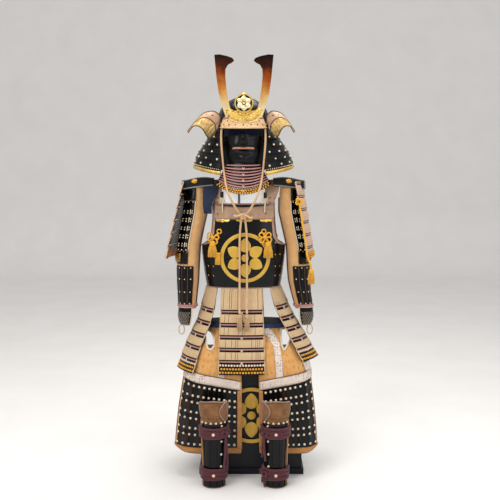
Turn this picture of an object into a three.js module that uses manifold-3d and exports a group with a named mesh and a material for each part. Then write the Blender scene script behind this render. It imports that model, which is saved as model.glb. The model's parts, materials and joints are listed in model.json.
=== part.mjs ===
// Samurai armour on a limbless display stand, standing on its armour box.
// Millimetres. X runs to the viewer's right, Y away from the viewer and Z up. The origin lies
// under the armour box. Left and right in names are the viewer's.

import * as THREE from 'three';
import { mergeVertices } from 'three/addons/utils/BufferGeometryUtils.js';
import Module from 'manifold-3d';

// Walls and seams
const GAP = 0.3;
const CLOTH = 2;
const LEATHER = 2.5;
const IRON = 2.5;
const SEAT = 0.6;
const LAME_STEP = 3.2;
const STEP_RISE = 1;

// Armour box
const BOX = { x: 34, half: 225, front: -140, back: 185, height: 500, lidEdge: 395 };
const BOX_LID_WALL = 8;
const BOX_LID_TOP = 10;
const BOX_WALL = 12;
const BOX_PLINTH = 25;

// Stand
const POST = { half: 18, front: 2, back: 38, top: 1009.7 };
const FOOT = { half: 110, front: -60, back: 110, height: 16 };
const WAIST = { x: 18, y: 0, half: 196, front: 112, back: 70, square: 2 };
const WAIST_LOW = 622;
const WAIST_HIGH = 652;
const WAIST_COLUMNS = 28;
const NECK_TOP = 1340;

// Heights on the body
const CHEST_TOP = 1165;
const BACK_TOP = 1215;
const STRAP_TOP = 1266.4;

const FINISH = {
  box: { color: 0x14161d, roughness: 0.45, metalness: 0.05 },
  stand: { color: 0x2a2a2c, roughness: 0.6, metalness: 0.0 },
  form: { color: 0xe9e6e0, roughness: 0.7, metalness: 0.0 },
  lacquer: { color: 0x0b0d12, roughness: 0.3, metalness: 0.2 },
  laced: { color: 0xc9a77c, roughness: 0.7, metalness: 0.0 },
  throat: { color: 0xc08075, roughness: 0.6, metalness: 0.0 },
  visor: { color: 0xd9a97e, roughness: 0.6, metalness: 0.0 },
  leather: { color: 0xa9856a, roughness: 0.6, metalness: 0.0 },
  turnback: { color: 0xd4a586, roughness: 0.5, metalness: 0.1 },
  gilt: { color: 0xe0b04a, roughness: 0.35, metalness: 0.8 },
  copper: { color: 0xb8703a, roughness: 0.3, metalness: 0.9 },
  sleeve: { color: 0xc8955c, roughness: 0.9, metalness: 0.0 },
  thigh: { color: 0xd9a055, roughness: 0.9, metalness: 0.0 },
  navy: { color: 0x1c2840, roughness: 0.9, metalness: 0.0 },
  belt: { color: 0x1d3f72, roughness: 0.8, metalness: 0.0 },
  knee: { color: 0xb98350, roughness: 0.9, metalness: 0.0 },
  tie: { color: 0x5a2b35, roughness: 0.9, metalness: 0.0 },
  cord: { color: 0xc99a6a, roughness: 0.9, metalness: 0.0 },
  tassel: { color: 0xe0a21c, roughness: 0.8, metalness: 0.0 },
};

const kernel = await Module();
kernel.setup();

const armour = new THREE.Group();
armour.name = 'samurai_armour';

function add(name, geometry, finish) {
  const mesh = new THREE.Mesh(geometry, new THREE.MeshStandardMaterial(FINISH[finish]));
  mesh.name = name;
  armour.add(mesh);
}

// Closed meshes and solids

function merged(geometry) {
  const plain = geometry.clone();
  plain.deleteAttribute('normal');
  plain.deleteAttribute('uv');
  return mergeVertices(plain, 1e-3);
}

function toSolid(geometry) {
  const plain = merged(geometry);
  const vertProperties = new Float32Array(plain.attributes.position.array);
  const triVerts = new Uint32Array(plain.index.array);
  return new kernel.Manifold(new kernel.Mesh({ numProp: 3, vertProperties, triVerts }));
}

function fromSolid(solid) {
  const mesh = solid.getMesh();
  const geometry = new THREE.BufferGeometry();
  geometry.setAttribute('position', new THREE.BufferAttribute(new Float32Array(mesh.vertProperties), 3));
  geometry.setIndex(new THREE.BufferAttribute(new Uint32Array(mesh.triVerts), 1));
  return geometry;
}

function join(...geometries) {
  return fromSolid(geometries.map(toSolid).reduce((whole, piece) => whole.add(piece)));
}

function cut(geometry, ...tools) {
  return fromSolid(tools.map(toSolid).reduce((whole, tool) => whole.subtract(tool), toSolid(geometry)));
}

function closedMesh(points, triangles) {
  let volume = 0;
  for (const [a, b, c] of triangles) {
    volume += points[a].dot(points[b].clone().cross(points[c]));
  }
  const geometry = new THREE.BufferGeometry();
  const places = points.flatMap((p) => [p.x, p.y, p.z]);
  geometry.setAttribute('position', new THREE.Float32BufferAttribute(places, 3));
  geometry.setIndex(triangles.flatMap(([a, b, c]) => (volume < 0 ? [a, c, b] : [a, b, c])));
  return geometry;
}

// Tables: rows with named columns, read between rows by one driving column

function between(table, driver, value) {
  let k = 1;
  while (k < table.length - 1 && table[k][driver] < value) k += 1;
  const low = table[k - 1];
  const high = table[k];
  const share = THREE.MathUtils.clamp((value - low[driver]) / (high[driver] - low[driver]), 0, 1);
  const row = {};
  for (const column of Object.keys(low)) {
    row[column] = low[column] + (high[column] - low[column]) * share;
  }
  return row;
}

// A point on a rounded section. Angle 0 is at +X and -90 degrees is at the front.
function sectionPoint(section, angle, out = 0) {
  const { x = 0, y = 0, z = 0, half, front = half, back = half, square = 2 } = section;
  const c = Math.cos(angle);
  const s = Math.sin(angle);
  const depth = s < 0 ? front : back;
  return new THREE.Vector3(
    x + (half + out) * Math.sign(c) * Math.abs(c) ** (2 / square),
    y + (depth + out) * Math.sign(s) * Math.abs(s) ** (2 / square),
    z,
  );
}

const DEG = Math.PI / 180;
const lerp = THREE.MathUtils.lerp;

// A wall on a grid of points: relief stands out of its outer face, and its inner face is plain,
// on the columns and rows named by innerColumns and innerRows.
function wall({ columns, rows, point, thickness, relief = () => 0, closed = false, flip = false,
  innerColumns = null, innerRows = null }) {
  const wide = closed ? columns : columns + 1;
  const base = (i, j) => point(
    closed ? (i + columns) % columns : THREE.MathUtils.clamp(i, 0, columns),
    THREE.MathUtils.clamp(j, 0, rows),
  );
  const normal = (i, j) => {
    const across = base(i + 1, j).sub(base(i - 1, j));
    const along = base(i, j + 1).sub(base(i, j - 1));
    return across.cross(along).normalize().multiplyScalar(flip ? -1 : 1);
  };
  const inColumns = innerColumns ?? Array.from({ length: wide }, (_, i) => i);
  const inRows = innerRows ?? Array.from({ length: rows + 1 }, (_, j) => j);
  const points = [];
  const outer = (i, j) => (i % wide) + j * wide;
  const innerStart = wide * (rows + 1);
  const inner = (a, b) => innerStart + (a % inColumns.length) + b * inColumns.length;
  for (let j = 0; j <= rows; j += 1) {
    for (let i = 0; i < wide; i += 1) {
      points.push(base(i, j).add(normal(i, j).multiplyScalar(relief(i, j))));
    }
  }
  for (const j of inRows) {
    for (const i of inColumns) {
      points.push(base(i, j).sub(normal(i, j).multiplyScalar(thickness)));
    }
  }
  const triangles = [];
  const quad = (a, b, c, d) => triangles.push([a, b, c], [a, c, d]);
  for (let j = 0; j < rows; j += 1) {
    for (let i = 0; i < columns; i += 1) {
      quad(outer(i, j), outer(i + 1, j), outer(i + 1, j + 1), outer(i, j + 1));
    }
  }
  const innerWide = closed ? inColumns.length : inColumns.length - 1;
  for (let b = 0; b < inRows.length - 1; b += 1) {
    for (let a = 0; a < innerWide; a += 1) {
      quad(inner(a, b), inner(a, b + 1), inner(a + 1, b + 1), inner(a + 1, b));
    }
  }
  const edge = (outerAt, innerAt, stops, turn) => {
    for (let a = 0; a < stops.length - 1; a += 1) {
      const put = (p, q, r) => triangles.push(turn ? [p, r, q] : [p, q, r]);
      for (let k = stops[a]; k < stops[a + 1]; k += 1) {
        put(outerAt(k + 1), outerAt(k), innerAt(a));
      }
      put(outerAt(stops[a + 1]), innerAt(a), innerAt(a + 1));
    }
  };
  const columnStops = closed ? [...inColumns, columns] : inColumns;
  edge((k) => outer(k, 0), (a) => inner(a, 0), columnStops, false);
  edge((k) => outer(k, rows), (a) => inner(a, inRows.length - 1), columnStops, true);
  if (!closed) {
    edge((k) => outer(0, k), (b) => inner(0, b), inRows, true);
    edge((k) => outer(columns, k), (b) => inner(inColumns.length - 1, b), inRows, false);
  }
  return closedMesh(points, triangles);
}

// A closed solid through rings, each with its own section
function loft(sections, columns) {
  const points = [];
  for (const section of sections) {
    for (let i = 0; i < columns; i += 1) {
      points.push(sectionPoint(section, (i / columns) * 2 * Math.PI));
    }
  }
  const triangles = [];
  for (let j = 0; j < sections.length - 1; j += 1) {
    for (let i = 0; i < columns; i += 1) {
      const next = (i + 1) % columns;
      const low = j * columns;
      const high = low + columns;
      triangles.push([low + i, low + next, high + next], [low + i, high + next, high + i]);
    }
  }
  const top = (sections.length - 1) * columns;
  for (let i = 1; i < columns - 1; i += 1) {
    triangles.push([0, i + 1, i], [top, top + i, top + i + 1]);
  }
  return closedMesh(points, triangles);
}

function block({ left, right, front, back, low, high }) {
  const geometry = new THREE.BoxGeometry(right - left, back - front, high - low);
  return geometry.translate((left + right) / 2, (front + back) / 2, (low + high) / 2);
}

// A flat plate: its outline is seen from the front, and its face lies at the given Y
function plate(outline, face, thickness, holes = []) {
  const shape = new THREE.Shape(outline.map(([x, z]) => new THREE.Vector2(x, z)));
  shape.holes = holes.map((hole) => new THREE.Path(hole.map(([x, z]) => new THREE.Vector2(x, z))));
  const geometry = new THREE.ExtrudeGeometry(shape, { depth: thickness, bevelEnabled: false });
  return geometry.rotateX(Math.PI / 2).translate(0, face + thickness, 0);
}

function lathe(profile, segments, { x = 0, y = 0, z = 0 } = {}) {
  const geometry = new THREE.LatheGeometry(profile.map(([r, h]) => new THREE.Vector2(r, h)), segments);
  return merged(geometry.rotateX(Math.PI / 2).translate(x, y, z));
}

function cordTube(route, radius, steps, sides = 8) {
  const curve = new THREE.CatmullRomCurve3(route.map((p) => new THREE.Vector3(...p)), false, 'centripetal');
  const shape = new THREE.Shape(Array.from({ length: sides }, (_, k) => new THREE.Vector2(
    radius * Math.cos((k / sides) * 2 * Math.PI),
    radius * Math.sin((k / sides) * 2 * Math.PI),
  )));
  return new THREE.ExtrudeGeometry(shape, { steps, bevelEnabled: false, extrudePath: curve });
}

// Lames from the bottom up: each lower edge stands out over the lame below
function lameRows(edges, step = LAME_STEP) {
  const rows = [];
  for (let k = 0; k < edges.length - 1; k += 1) {
    rows.push({ z: edges[k], relief: step, inner: true });
    rows.push({ z: edges[k + 1] - STEP_RISE, relief: 0, inner: false });
  }
  rows.at(-1).z = edges.at(-1);
  rows.at(-1).inner = true;
  return rows;
}

function innerOf(rows) {
  return rows.flatMap((row, j) => (row.inner ? [j] : []));
}

function everySecond(columns) {
  return Array.from({ length: columns / 2 + 1 }, (_, a) => a * 2);
}

// Armour box

function armourBox() {
  const { x, half, front, back, height, lidEdge } = BOX;
  const inside = BOX_LID_WALL + GAP;
  const bodyTop = height - BOX_LID_TOP - GAP;
  const body = block({
    left: x - half + inside, right: x + half - inside,
    front: front + inside, back: back - inside, low: 0, high: bodyTop,
  });
  const plinth = block({ left: x - half, right: x + half, front, back, low: 0, high: BOX_PLINTH });
  const room = inside + BOX_WALL;
  const cavity = block({
    left: x - half + room, right: x + half - room, front: front + room, back: back - room,
    low: BOX_WALL, high: height,
  });
  add('armour_box_body', cut(join(body, plinth), cavity), 'box');
  const lid = block({ left: x - half, right: x + half, front, back, low: lidEdge, high: height });
  const hollow = block({
    left: x - half + BOX_LID_WALL, right: x + half - BOX_LID_WALL,
    front: front + BOX_LID_WALL, back: back - BOX_LID_WALL, low: lidEdge - 1, high: height - BOX_LID_TOP,
  });
  add('armour_box_lid', cut(lid, hollow), 'box');
}

// Stand: a post with a foot and a waist board, a chest form with a neck, and a head block

const FORM_ROWS = [
  { z: 1010, half: 80, front: 52, back: 56 },
  { z: 1024, half: 104, front: 70, back: 74 },
  { z: 1100, half: 116, front: 82, back: 84 },
  { z: 1170, half: 124, front: 82, back: 84 },
  { z: 1220, half: 134, front: 60, back: 66 },
  { z: 1250, half: 136, front: 28, back: 32 },
  { z: 1258, half: 130, front: 13, back: 15 },
  { z: 1262.6, half: 120, front: 2, back: 2 },
];

const HEAD_ROWS = [
  { z: 1340.3, y: 8, half: 34 },
  { z: 1478, y: 8, half: 34 },
  { z: 1500, y: 8, half: 58 },
  { z: 1540, y: 10, half: 84, front: 98, back: 100 },
  { z: 1576, y: 10, half: 76, front: 88, back: 90 },
  { z: 1600, y: 10, half: 54, front: 60, back: 62 },
  { z: 1613.6, y: 10, half: 26, front: 30, back: 30 },
];

function stand() {
  const foot = block({
    left: -FOOT.half, right: FOOT.half, front: FOOT.front, back: FOOT.back,
    low: BOX.height + GAP, high: BOX.height + GAP + FOOT.height,
  });
  const post = block({
    left: -POST.half, right: POST.half, front: POST.front, back: POST.back,
    low: BOX.height + GAP, high: POST.top,
  });
  const waist = loft([{ ...WAIST, z: WAIST_LOW }, { ...WAIST, z: WAIST_HIGH }], WAIST_COLUMNS);
  add('stand_frame', join(foot, post, waist), 'stand');
  const torso = loft(FORM_ROWS.map((row) => ({ ...row, square: 2.3 })), 20);
  const neck = loft([{ z: 1150, half: 46 }, { z: NECK_TOP, half: 44 }], 16);
  add('stand_chest_form', join(torso, neck), 'form');
  add('stand_head_block', loft(HEAD_ROWS, 16), 'stand');
}

// Helmet

const BOWL_Y = 10;
const BOWL_COLUMNS = 24;
const BOWL_RIB = 1.6;
const BOWL_ROWS = [
  { z: 1497, half: 109, front: 125, back: 127 },
  { z: 1530, half: 109, front: 125, back: 127 },
  { z: 1562, half: 100, front: 114, back: 116 },
  { z: 1590, half: 79, front: 90, back: 92 },
  { z: 1610, half: 48, front: 55, back: 56 },
  { z: 1622, half: 13, front: 14, back: 14 },
];

const CROWN_PROFILE = [[0, 0], [16, 0], [17, 3], [11, 7], [12, 10], [7, 15], [0, 17]];

function bowlSection(z) {
  return { ...between(BOWL_ROWS, 'z', z), y: BOWL_Y };
}

function helmetBowl() {
  add('helmet_bowl', wall({
    columns: BOWL_COLUMNS,
    rows: BOWL_ROWS.length - 1,
    closed: true,
    thickness: IRON,
    point: (i, j) => sectionPoint({ ...BOWL_ROWS[j], y: BOWL_Y }, (i / BOWL_COLUMNS) * 2 * Math.PI),
    relief: (i) => (i % 2 ? BOWL_RIB : 0),
    innerColumns: Array.from({ length: BOWL_COLUMNS / 2 }, (_, a) => a * 2),
  }), 'lacquer');
  const seat = BOWL_ROWS.at(-1).z + BOWL_RIB + GAP;
  add('helmet_crown_fitting', lathe(CROWN_PROFILE, 12, { y: BOWL_Y, z: seat }), 'gilt');
}

// The visor runs forward and down from the bowl
const VISOR = {
  topZ: 1530, topSpan: 46, lowZ: 1480, lowSpan: 70, lowHalf: 104, lowDepth: 105, lowY: -60, endRise: 4,
};

function visorPoint(share, rise) {
  const off = BOWL_RIB + LEATHER + SEAT;
  const high = sectionPoint(bowlSection(VISOR.topZ), (-90 + VISOR.topSpan * share) * DEG, off);
  const turn = VISOR.lowSpan * share * DEG;
  const low = new THREE.Vector3(
    VISOR.lowHalf * Math.sin(turn),
    VISOR.lowY - VISOR.lowDepth * Math.cos(turn),
    VISOR.lowZ + VISOR.endRise * share * share,
  );
  return low.lerp(high, rise);
}

function visor() {
  const columns = 14;
  add('helmet_visor', wall({
    columns, rows: 2, thickness: LEATHER, point: (i, j) => visorPoint((2 * i) / columns - 1, j / 2),
  }), 'visor');
}

// The neck guard: laced lames from ear to ear round the back
const NECK_Y = 10;
const NECK_SAG = 28;
const NECK_EDGES = [1316, 1338, 1360, 1385, 1410, 1440, 1503];
const NECK_TABLE = [
  { z: 1316, half: 214, front: 156, back: 166, open: 95 },
  { z: 1338, half: 214, front: 152, back: 162, open: 95 },
  { z: 1360, half: 207, front: 147, back: 157, open: 96 },
  { z: 1385, half: 195, front: 140, back: 150, open: 97 },
  { z: 1410, half: 178, front: 133, back: 143, open: 98 },
  { z: 1440, half: 158, front: 128, back: 138, open: 100 },
  { z: 1503, half: 115, front: 131, back: 133, open: 105 },
];

function neckPoint(share, z) {
  const row = between(NECK_TABLE, 'z', z);
  const start = Math.acos(row.open / row.half);
  const angle = lerp(-start, Math.PI + start, share);
  const point = sectionPoint({ ...row, y: NECK_Y }, angle);
  const sag = (NECK_SAG * (1440 - Math.min(z, 1440))) / 124;
  const fall = Math.sin(angle) < 0 ? Math.sin(angle) ** 2 * 1.3 : Math.sin(angle) ** 2 * 0.4;
  point.z -= sag * fall;
  return point;
}

function neckGuard() {
  const columns = 22;
  const rows = lameRows(NECK_EDGES);
  add('neck_guard', wall({
    columns,
    rows: rows.length - 1,
    thickness: IRON,
    point: (i, j) => neckPoint(i / columns, rows[j].z),
    relief: (i, j) => rows[j].relief,
    innerColumns: everySecond(columns),
    innerRows: innerOf(rows),
  }), 'lacquer');
}

// Turn-backs: curled wings at the front ends of the top lame, given by their front line,
// the line between ornament and leather, and their back line
const TURNBACK_REACH = { left: 1, right: 0.86 };
const TURNBACK_SHIFT = { left: 2.4, right: -5.4 };
const TURNBACK_ROOT = 100;
const TURNBACK_LINES = {
  front: [
    [-150, -44, 1441], [-161, -66, 1456], [-172, -94, 1478],
    [-191, -106, 1491], [-213, -94, 1490], [-234, -70, 1466],
  ],
  middle: [
    [-118, -66, 1474], [-122, -84, 1500], [-144, -100, 1520],
    [-168, -102, 1526], [-200, -86, 1512], [-236, -68, 1470],
  ],
  back: [
    [-107, -70, 1490], [-97, -82, 1526], [-107, -88, 1546],
    [-133, -86, 1555], [-177, -72, 1540], [-236, -62, 1474],
  ],
};

function turnback(side) {
  const name = side < 0 ? 'left' : 'right';
  const reach = TURNBACK_REACH[name];
  const shift = TURNBACK_SHIFT[name];
  const lines = Object.values(TURNBACK_LINES).map((line) => new THREE.CatmullRomCurve3(
    line.map(([x, y, z]) => new THREE.Vector3(-TURNBACK_ROOT + (x + TURNBACK_ROOT) * reach, y + shift, z)),
  ));
  const rows = 8;
  const geometry = wall({
    columns: 2, rows, thickness: LEATHER, point: (i, j) => lines[i].getPoint(j / rows), flip: true,
  });
  return side < 0 ? geometry : mirrorX(geometry);
}

function mirrorX(geometry) {
  const flipped = geometry.clone().scale(-1, 1, 1);
  const index = flipped.index.array;
  for (let k = 0; k < index.length; k += 3) {
    [index[k + 1], index[k + 2]] = [index[k + 2], index[k + 1]];
  }
  return flipped;
}

// Horns, their base and the front disc
const HORN_X = 3;
const HORN_FACE = -147;
const HORN_PLATE = 3;
const HORN_OUTLINE = [
  [48, 1527], [75, 1525], [91, 1572], [104, 1625], [113, 1685], [122, 1781], [100, 1782], [70, 1776],
  [48, 1768], [40, 1757], [50, 1748], [66, 1740], [76, 1722], [77, 1694], [72, 1640], [62, 1585],
];
const BASE_OUTLINE = [
  [0, 1504.2], [42, 1510], [68, 1528], [78, 1552], [70, 1562],
  [52, 1558], [38, 1553], [18, 1555], [0, 1556],
];
const DISC = { z: 1583.5, radius: 39, rim: 5, thickness: 4, sunk: 1.5 };

function horns() {
  const baseLine = [...BASE_OUTLINE, ...BASE_OUTLINE.slice(1, -1).reverse().map(([x, z]) => [-x, z])];
  add('horn_base', plate(baseLine.map(([x, z]) => [x + HORN_X, z]), HORN_FACE, HORN_PLATE), 'gilt');
  const behind = HORN_FACE + HORN_PLATE + GAP;
  for (const [name, side] of [['horn_left', -1], ['horn_right', 1]]) {
    const outline = HORN_OUTLINE.map(([x, z]) => [HORN_X + side * x, z]);
    add(name, plate(outline, behind, HORN_PLATE), 'copper');
  }
  const { radius, rim, thickness, sunk } = DISC;
  const inner = radius - rim;
  const floor = thickness - sunk;
  const profile = [[0, 0], [radius, 0], [radius, thickness], [inner, thickness], [inner, floor], [0, floor]];
  const disc = new THREE.LatheGeometry(profile.map(([r, h]) => new THREE.Vector2(r, h)), 28);
  const front = HORN_FACE - GAP;
  add('crest_disc', merged(disc.rotateX(Math.PI).translate(HORN_X, front, DISC.z)), 'gilt');
}

// Face mask: a plain half mask with a short nose, on calm general proportions
const MASK_STOPS = [-1, -0.82, -0.62, -0.42, -0.24, -0.12, 0, 0.12, 0.24, 0.42, 0.62, 0.82, 1];
const MASK_ROWS = [
  { z: 1320, half: 50, front: -110, nose: 0 },
  { z: 1338, half: 60, front: -126, nose: 0 },
  { z: 1360, half: 66, front: -133, nose: 0 },
  { z: 1380, half: 70, front: -135, nose: 0 },
  { z: 1396, half: 72, front: -128, nose: 0 },
  { z: 1410, half: 73, front: -134, nose: 0.25 },
  { z: 1422, half: 74, front: -132, nose: 1 },
  { z: 1444, half: 74, front: -129, nose: 0.65 },
  { z: 1464, half: 74, front: -127, nose: 0.35 },
];
const MASK_BEND = 88;
const MASK_SIDE = 100;
const NOSE_DEPTH = 20;
const NOSE_HALF = 12;

function maskY(x, row) {
  const bend = MASK_SIDE * (1 - Math.sqrt(1 - (x / MASK_BEND) ** 2));
  return row.front + bend - NOSE_DEPTH * row.nose * Math.exp(-((x / NOSE_HALF) ** 2));
}

function faceMask() {
  add('face_mask', wall({
    columns: MASK_STOPS.length - 1,
    rows: MASK_ROWS.length - 1,
    thickness: CLOTH,
    point: (i, j) => {
      const row = MASK_ROWS[j];
      const x = row.half * MASK_STOPS[i];
      const fall = j === MASK_ROWS.length - 1 ? 12 * Math.min(1, Math.abs(MASK_STOPS[i]) * 3) : 0;
      return new THREE.Vector3(x, maskY(x, row), row.z - fall);
    },
  }), 'lacquer');
}

// Throat guard: laced lames under the mask
const THROAT_EDGES = [1207, 1232, 1256, 1280, 1306, 1336];
const THROAT_TABLE = [
  { z: 1207, half: 117, front: -156, side: -84, rise: 41 },
  { z: 1256, half: 98, front: -147, side: -84, rise: 24 },
  { z: 1304, half: 80, front: -136, side: -88, rise: 8 },
  { z: 1336, half: 68, front: -127.4, side: -90, rise: 0 },
];

function throatPoint(share, z) {
  const row = between(THROAT_TABLE, 'z', z);
  return new THREE.Vector3(
    row.half * share,
    row.front + (row.side - row.front) * (1 - Math.sqrt(1 - 0.96 * share * share)) / 0.8,
    z + row.rise * share * share,
  );
}

function throatGuard() {
  const columns = 12;
  const rows = lameRows(THROAT_EDGES, 2.4);
  add('throat_guard', wall({
    columns,
    rows: rows.length - 1,
    thickness: CLOTH,
    point: (i, j) => throatPoint((2 * i) / columns - 1, rows[j].z),
    relief: (i, j) => rows[j].relief,
    innerColumns: everySecond(columns),
    innerRows: innerOf(rows),
  }), 'throat');
}

// Cuirass: front and back plates, open at the neck, armholes and hem
const CUIRASS_SQUARE = 2.4;
const CUIRASS_COLUMNS = 16;
const CUIRASS_FRONT = [
  { z: 807, half: 160, front: 105, back: 100, reach: 160 },
  { z: 860, half: 169, front: 118, back: 108, reach: 169 },
  { z: 907, half: 175, front: 127, back: 112, reach: 175 },
  { z: 950, half: 180, front: 130, back: 115, reach: 180 },
  { z: 985, half: 181, front: 130, back: 116, reach: 181 },
  { z: 1000, half: 180, front: 129, back: 117, reach: 152 },
  { z: 1030, half: 178, front: 128, back: 118, reach: 134 },
  { z: 1090, half: 172, front: 123, back: 119, reach: 126 },
  { z: 1165, half: 165, front: 110, back: 115, reach: 130 },
];
const CUIRASS_BACK = [
  ...CUIRASS_FRONT.slice(0, 6),
  { z: 1030, half: 178, front: 128, back: 118, reach: 142 },
  { z: 1090, half: 172, front: 123, back: 119, reach: 136 },
  { z: 1165, half: 165, front: 110, back: 115, reach: 134 },
  { z: 1215, half: 160, front: 104, back: 106, reach: 124 },
];

function cuirassEdge(row) {
  return Math.acos(Math.min(1, (row.reach / row.half) ** (CUIRASS_SQUARE / 2)));
}

function cuirassY(x, z) {
  const row = between(CUIRASS_FRONT, 'z', z);
  return -row.front * (1 - (Math.abs(x) / row.half) ** CUIRASS_SQUARE) ** (1 / CUIRASS_SQUARE);
}

function cuirassBackY(x, z) {
  const row = between(CUIRASS_BACK, 'z', z);
  return row.back * (1 - (Math.abs(x) / row.half) ** CUIRASS_SQUARE) ** (1 / CUIRASS_SQUARE);
}

function cuirassPlate(table, sign) {
  const seam = 0.25 * DEG;
  return wall({
    columns: CUIRASS_COLUMNS,
    rows: table.length - 1,
    thickness: IRON,
    point: (i, j) => {
      const edge = Math.max(seam, cuirassEdge(table[j]));
      const angle = lerp(-Math.PI + edge, -edge, i / CUIRASS_COLUMNS);
      return sectionPoint({ ...table[j], square: CUIRASS_SQUARE }, sign * angle);
    },
    flip: sign < 0,
    innerColumns: everySecond(CUIRASS_COLUMNS),
  });
}

const CHEST_BOARD = { left: -122, right: 128, low: 1102, dip: 1151, rise: 13, off: 3.4 };

function chestBoard() {
  const columns = 14;
  const { left, right, low, dip, rise, off } = CHEST_BOARD;
  return wall({
    columns,
    rows: 2,
    thickness: CLOTH,
    point: (i, j) => {
      const x = lerp(left, right, i / columns);
      const z = lerp(low, dip + rise * (x / right) ** 2, j / 2);
      return new THREE.Vector3(x, cuirassY(x, z) - off, z);
    },
  });
}

// Shoulder straps: from the top of the back plate over the form to the top of the front plate
const STRAP_ROWS = [
  { y: 0, z: CHEST_TOP + SEAT, inner: 92, outer: 128, hug: 1 },
  { y: -84, z: 1212, inner: 92, outer: 148, hug: 0 },
  { y: -48, z: 1250, inner: 93, outer: 157, hug: 0 },
  { y: 0, z: STRAP_TOP, inner: 94, outer: 159, hug: 0 },
  { y: 50, z: 1256, inner: 92, outer: 156, hug: 0 },
  { y: 88, z: 1238, inner: 86, outer: 146, hug: 0 },
  { y: 0, z: BACK_TOP + SEAT, inner: 78, outer: 122, hug: -1 },
];

function strapPoint(share, j) {
  const row = STRAP_ROWS[j];
  const x = lerp(row.inner, row.outer, share);
  let y = row.y + (row.y < 0 ? 10 : -8) * share * Math.min(1, Math.abs(row.y) / 40);
  if (row.hug > 0) y = cuirassY(x, CHEST_TOP);
  if (row.hug < 0) y = cuirassBackY(x, BACK_TOP);
  return new THREE.Vector3(x, y, row.z);
}

function shoulderStrap(side) {
  const geometry = wall({
    columns: 3,
    rows: STRAP_ROWS.length - 1,
    thickness: LEATHER,
    point: (i, j) => strapPoint(i / 3, j),
  });
  return side > 0 ? geometry : mirrorX(geometry);
}

// Shoulder wings: stiff cloth from the straps out over the sleeves and shoulder guards
const WING_ROWS = [
  { x: 128, z: 1269.2 },
  { x: 160, z: 1269.2 },
  { x: 200, z: 1266.4 },
  { x: 260, z: 1261.6 },
];
const WING_HALF = 38;
const WING_Y = -4;

function shoulderWing(side) {
  const geometry = wall({
    columns: 3,
    rows: 3,
    thickness: CLOTH,
    point: (i, j) => {
      const y = lerp(-WING_HALF, WING_HALF, j / 3);
      const droop = i > 1 ? (y / WING_HALF) ** 2 : 0;
      return new THREE.Vector3(WING_ROWS[i].x, y + WING_Y, WING_ROWS[i].z - droop);
    },
  });
  return side > 0 ? geometry : mirrorX(geometry);
}

// Cloth hanging at the left shoulder
const SHOULDER_CLOTH_ROWS = [
  { z: 1124, y: -103, left: -168, right: -134 },
  { z: 1172, y: -107, left: -172, right: -131 },
  { z: 1214, y: -83.4, left: -172, right: -108 },
  { z: 1252, y: -46, left: -170, right: -110 },
];

function shoulderCloth() {
  const columns = 4;
  return wall({
    columns,
    rows: SHOULDER_CLOTH_ROWS.length - 1,
    thickness: CLOTH,
    point: (i, j) => {
      const row = SHOULDER_CLOTH_ROWS[j];
      const x = lerp(row.left, row.right, i / columns);
      return new THREE.Vector3(x, row.y - 1.2 + 10 * (1 - i / columns), row.z);
    },
  });
}

// Skirt: six laced panels that hang from the hem of the cuirass
const SKIRT_EDGES = [452, 513, 563, 614, 664, 717, 806.4];
const SKIRT_STEP = 3;
const SKIRT_LIFTED_EDGES = [505, 556, 599, 643, 685, 730, 806.4];
const SKIRT_BOW = 16;
const SKIRT_FRONT_BOW = 7;
const SKIRT_FRONT = [
  { z: 452, x: -7, y: -206, half: 99 },
  { z: 563, x: -7, y: -180, half: 96 },
  { z: 664, x: -7, y: -154, half: 92 },
  { z: 717, x: -7, y: -136, half: 89 },
  { z: 806.4, x: -7, y: -104, half: 86 },
];
const SKIRT_LEFT_SIDE = [
  { z: 452, x: -258, y: -120, half: 76 },
  { z: 563, x: -221, y: -100, half: 68 },
  { z: 664, x: -174, y: -76, half: 60 },
  { z: 717, x: -155, y: -63, half: 54 },
  { z: 806.4, x: -141, y: -54.4, half: 48 },
];
const SKIRT_RIGHT_SIDE = [
  { z: 505, x: 294, y: -130, half: 74 },
  { z: 599, x: 240, y: -104, half: 68 },
  { z: 685, x: 190, y: -80, half: 60 },
  { z: 730, x: 164, y: -66, half: 54 },
  { z: 806.4, x: 141, y: -54.4, half: 48 },
];
const SKIRT_BACK_LEFT = [
  { z: 452, x: -246, y: 144, half: 74 },
  { z: 503, x: -234, y: 136, half: 70 },
  { z: 563, x: -214, y: 118, half: 68 },
  { z: 664, x: -174, y: 84, half: 60 },
  { z: 806.4, x: -140, y: 53, half: 46 },
];
const SKIRT_BACK_RIGHT = [
  { z: 505, x: 270, y: 146, half: 74 },
  { z: 599, x: 228, y: 120, half: 68 },
  { z: 685, x: 186, y: 90, half: 60 },
  { z: 806.4, x: 140, y: 53, half: 46 },
];
const SKIRT_BACK = [
  { z: 452, x: 0, y: 224, half: 96 },
  { z: 513, x: 0, y: 206, half: 94 },
  { z: 563, x: 0, y: 186, half: 93 },
  { z: 664, x: 0, y: 146, half: 90 },
  { z: 806.4, x: 0, y: 99, half: 82 },
];

// Facing is the way the panel looks, in degrees: -90 is to the front
function skirtPanel(table, facing, { edges = SKIRT_EDGES, bow = SKIRT_BOW } = {}) {
  const columns = 6;
  const rows = lameRows(edges, SKIRT_STEP);
  const out = new THREE.Vector3(Math.cos(facing * DEG), Math.sin(facing * DEG), 0);
  const along = new THREE.Vector3(-Math.sin(facing * DEG), Math.cos(facing * DEG), 0);
  return wall({
    columns,
    rows: rows.length - 1,
    thickness: CLOTH,
    point: (i, j) => {
      const row = between(table, 'z', rows[j].z);
      const share = (2 * i) / columns - 1;
      return new THREE.Vector3(row.x, row.y, rows[j].z)
        .addScaledVector(along, row.half * share)
        .addScaledVector(out, -bow * (row.half / 96) ** 2 * share * share);
    },
    relief: (i, j) => rows[j].relief,
    innerColumns: everySecond(columns),
    innerRows: innerOf(rows),
  });
}

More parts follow.
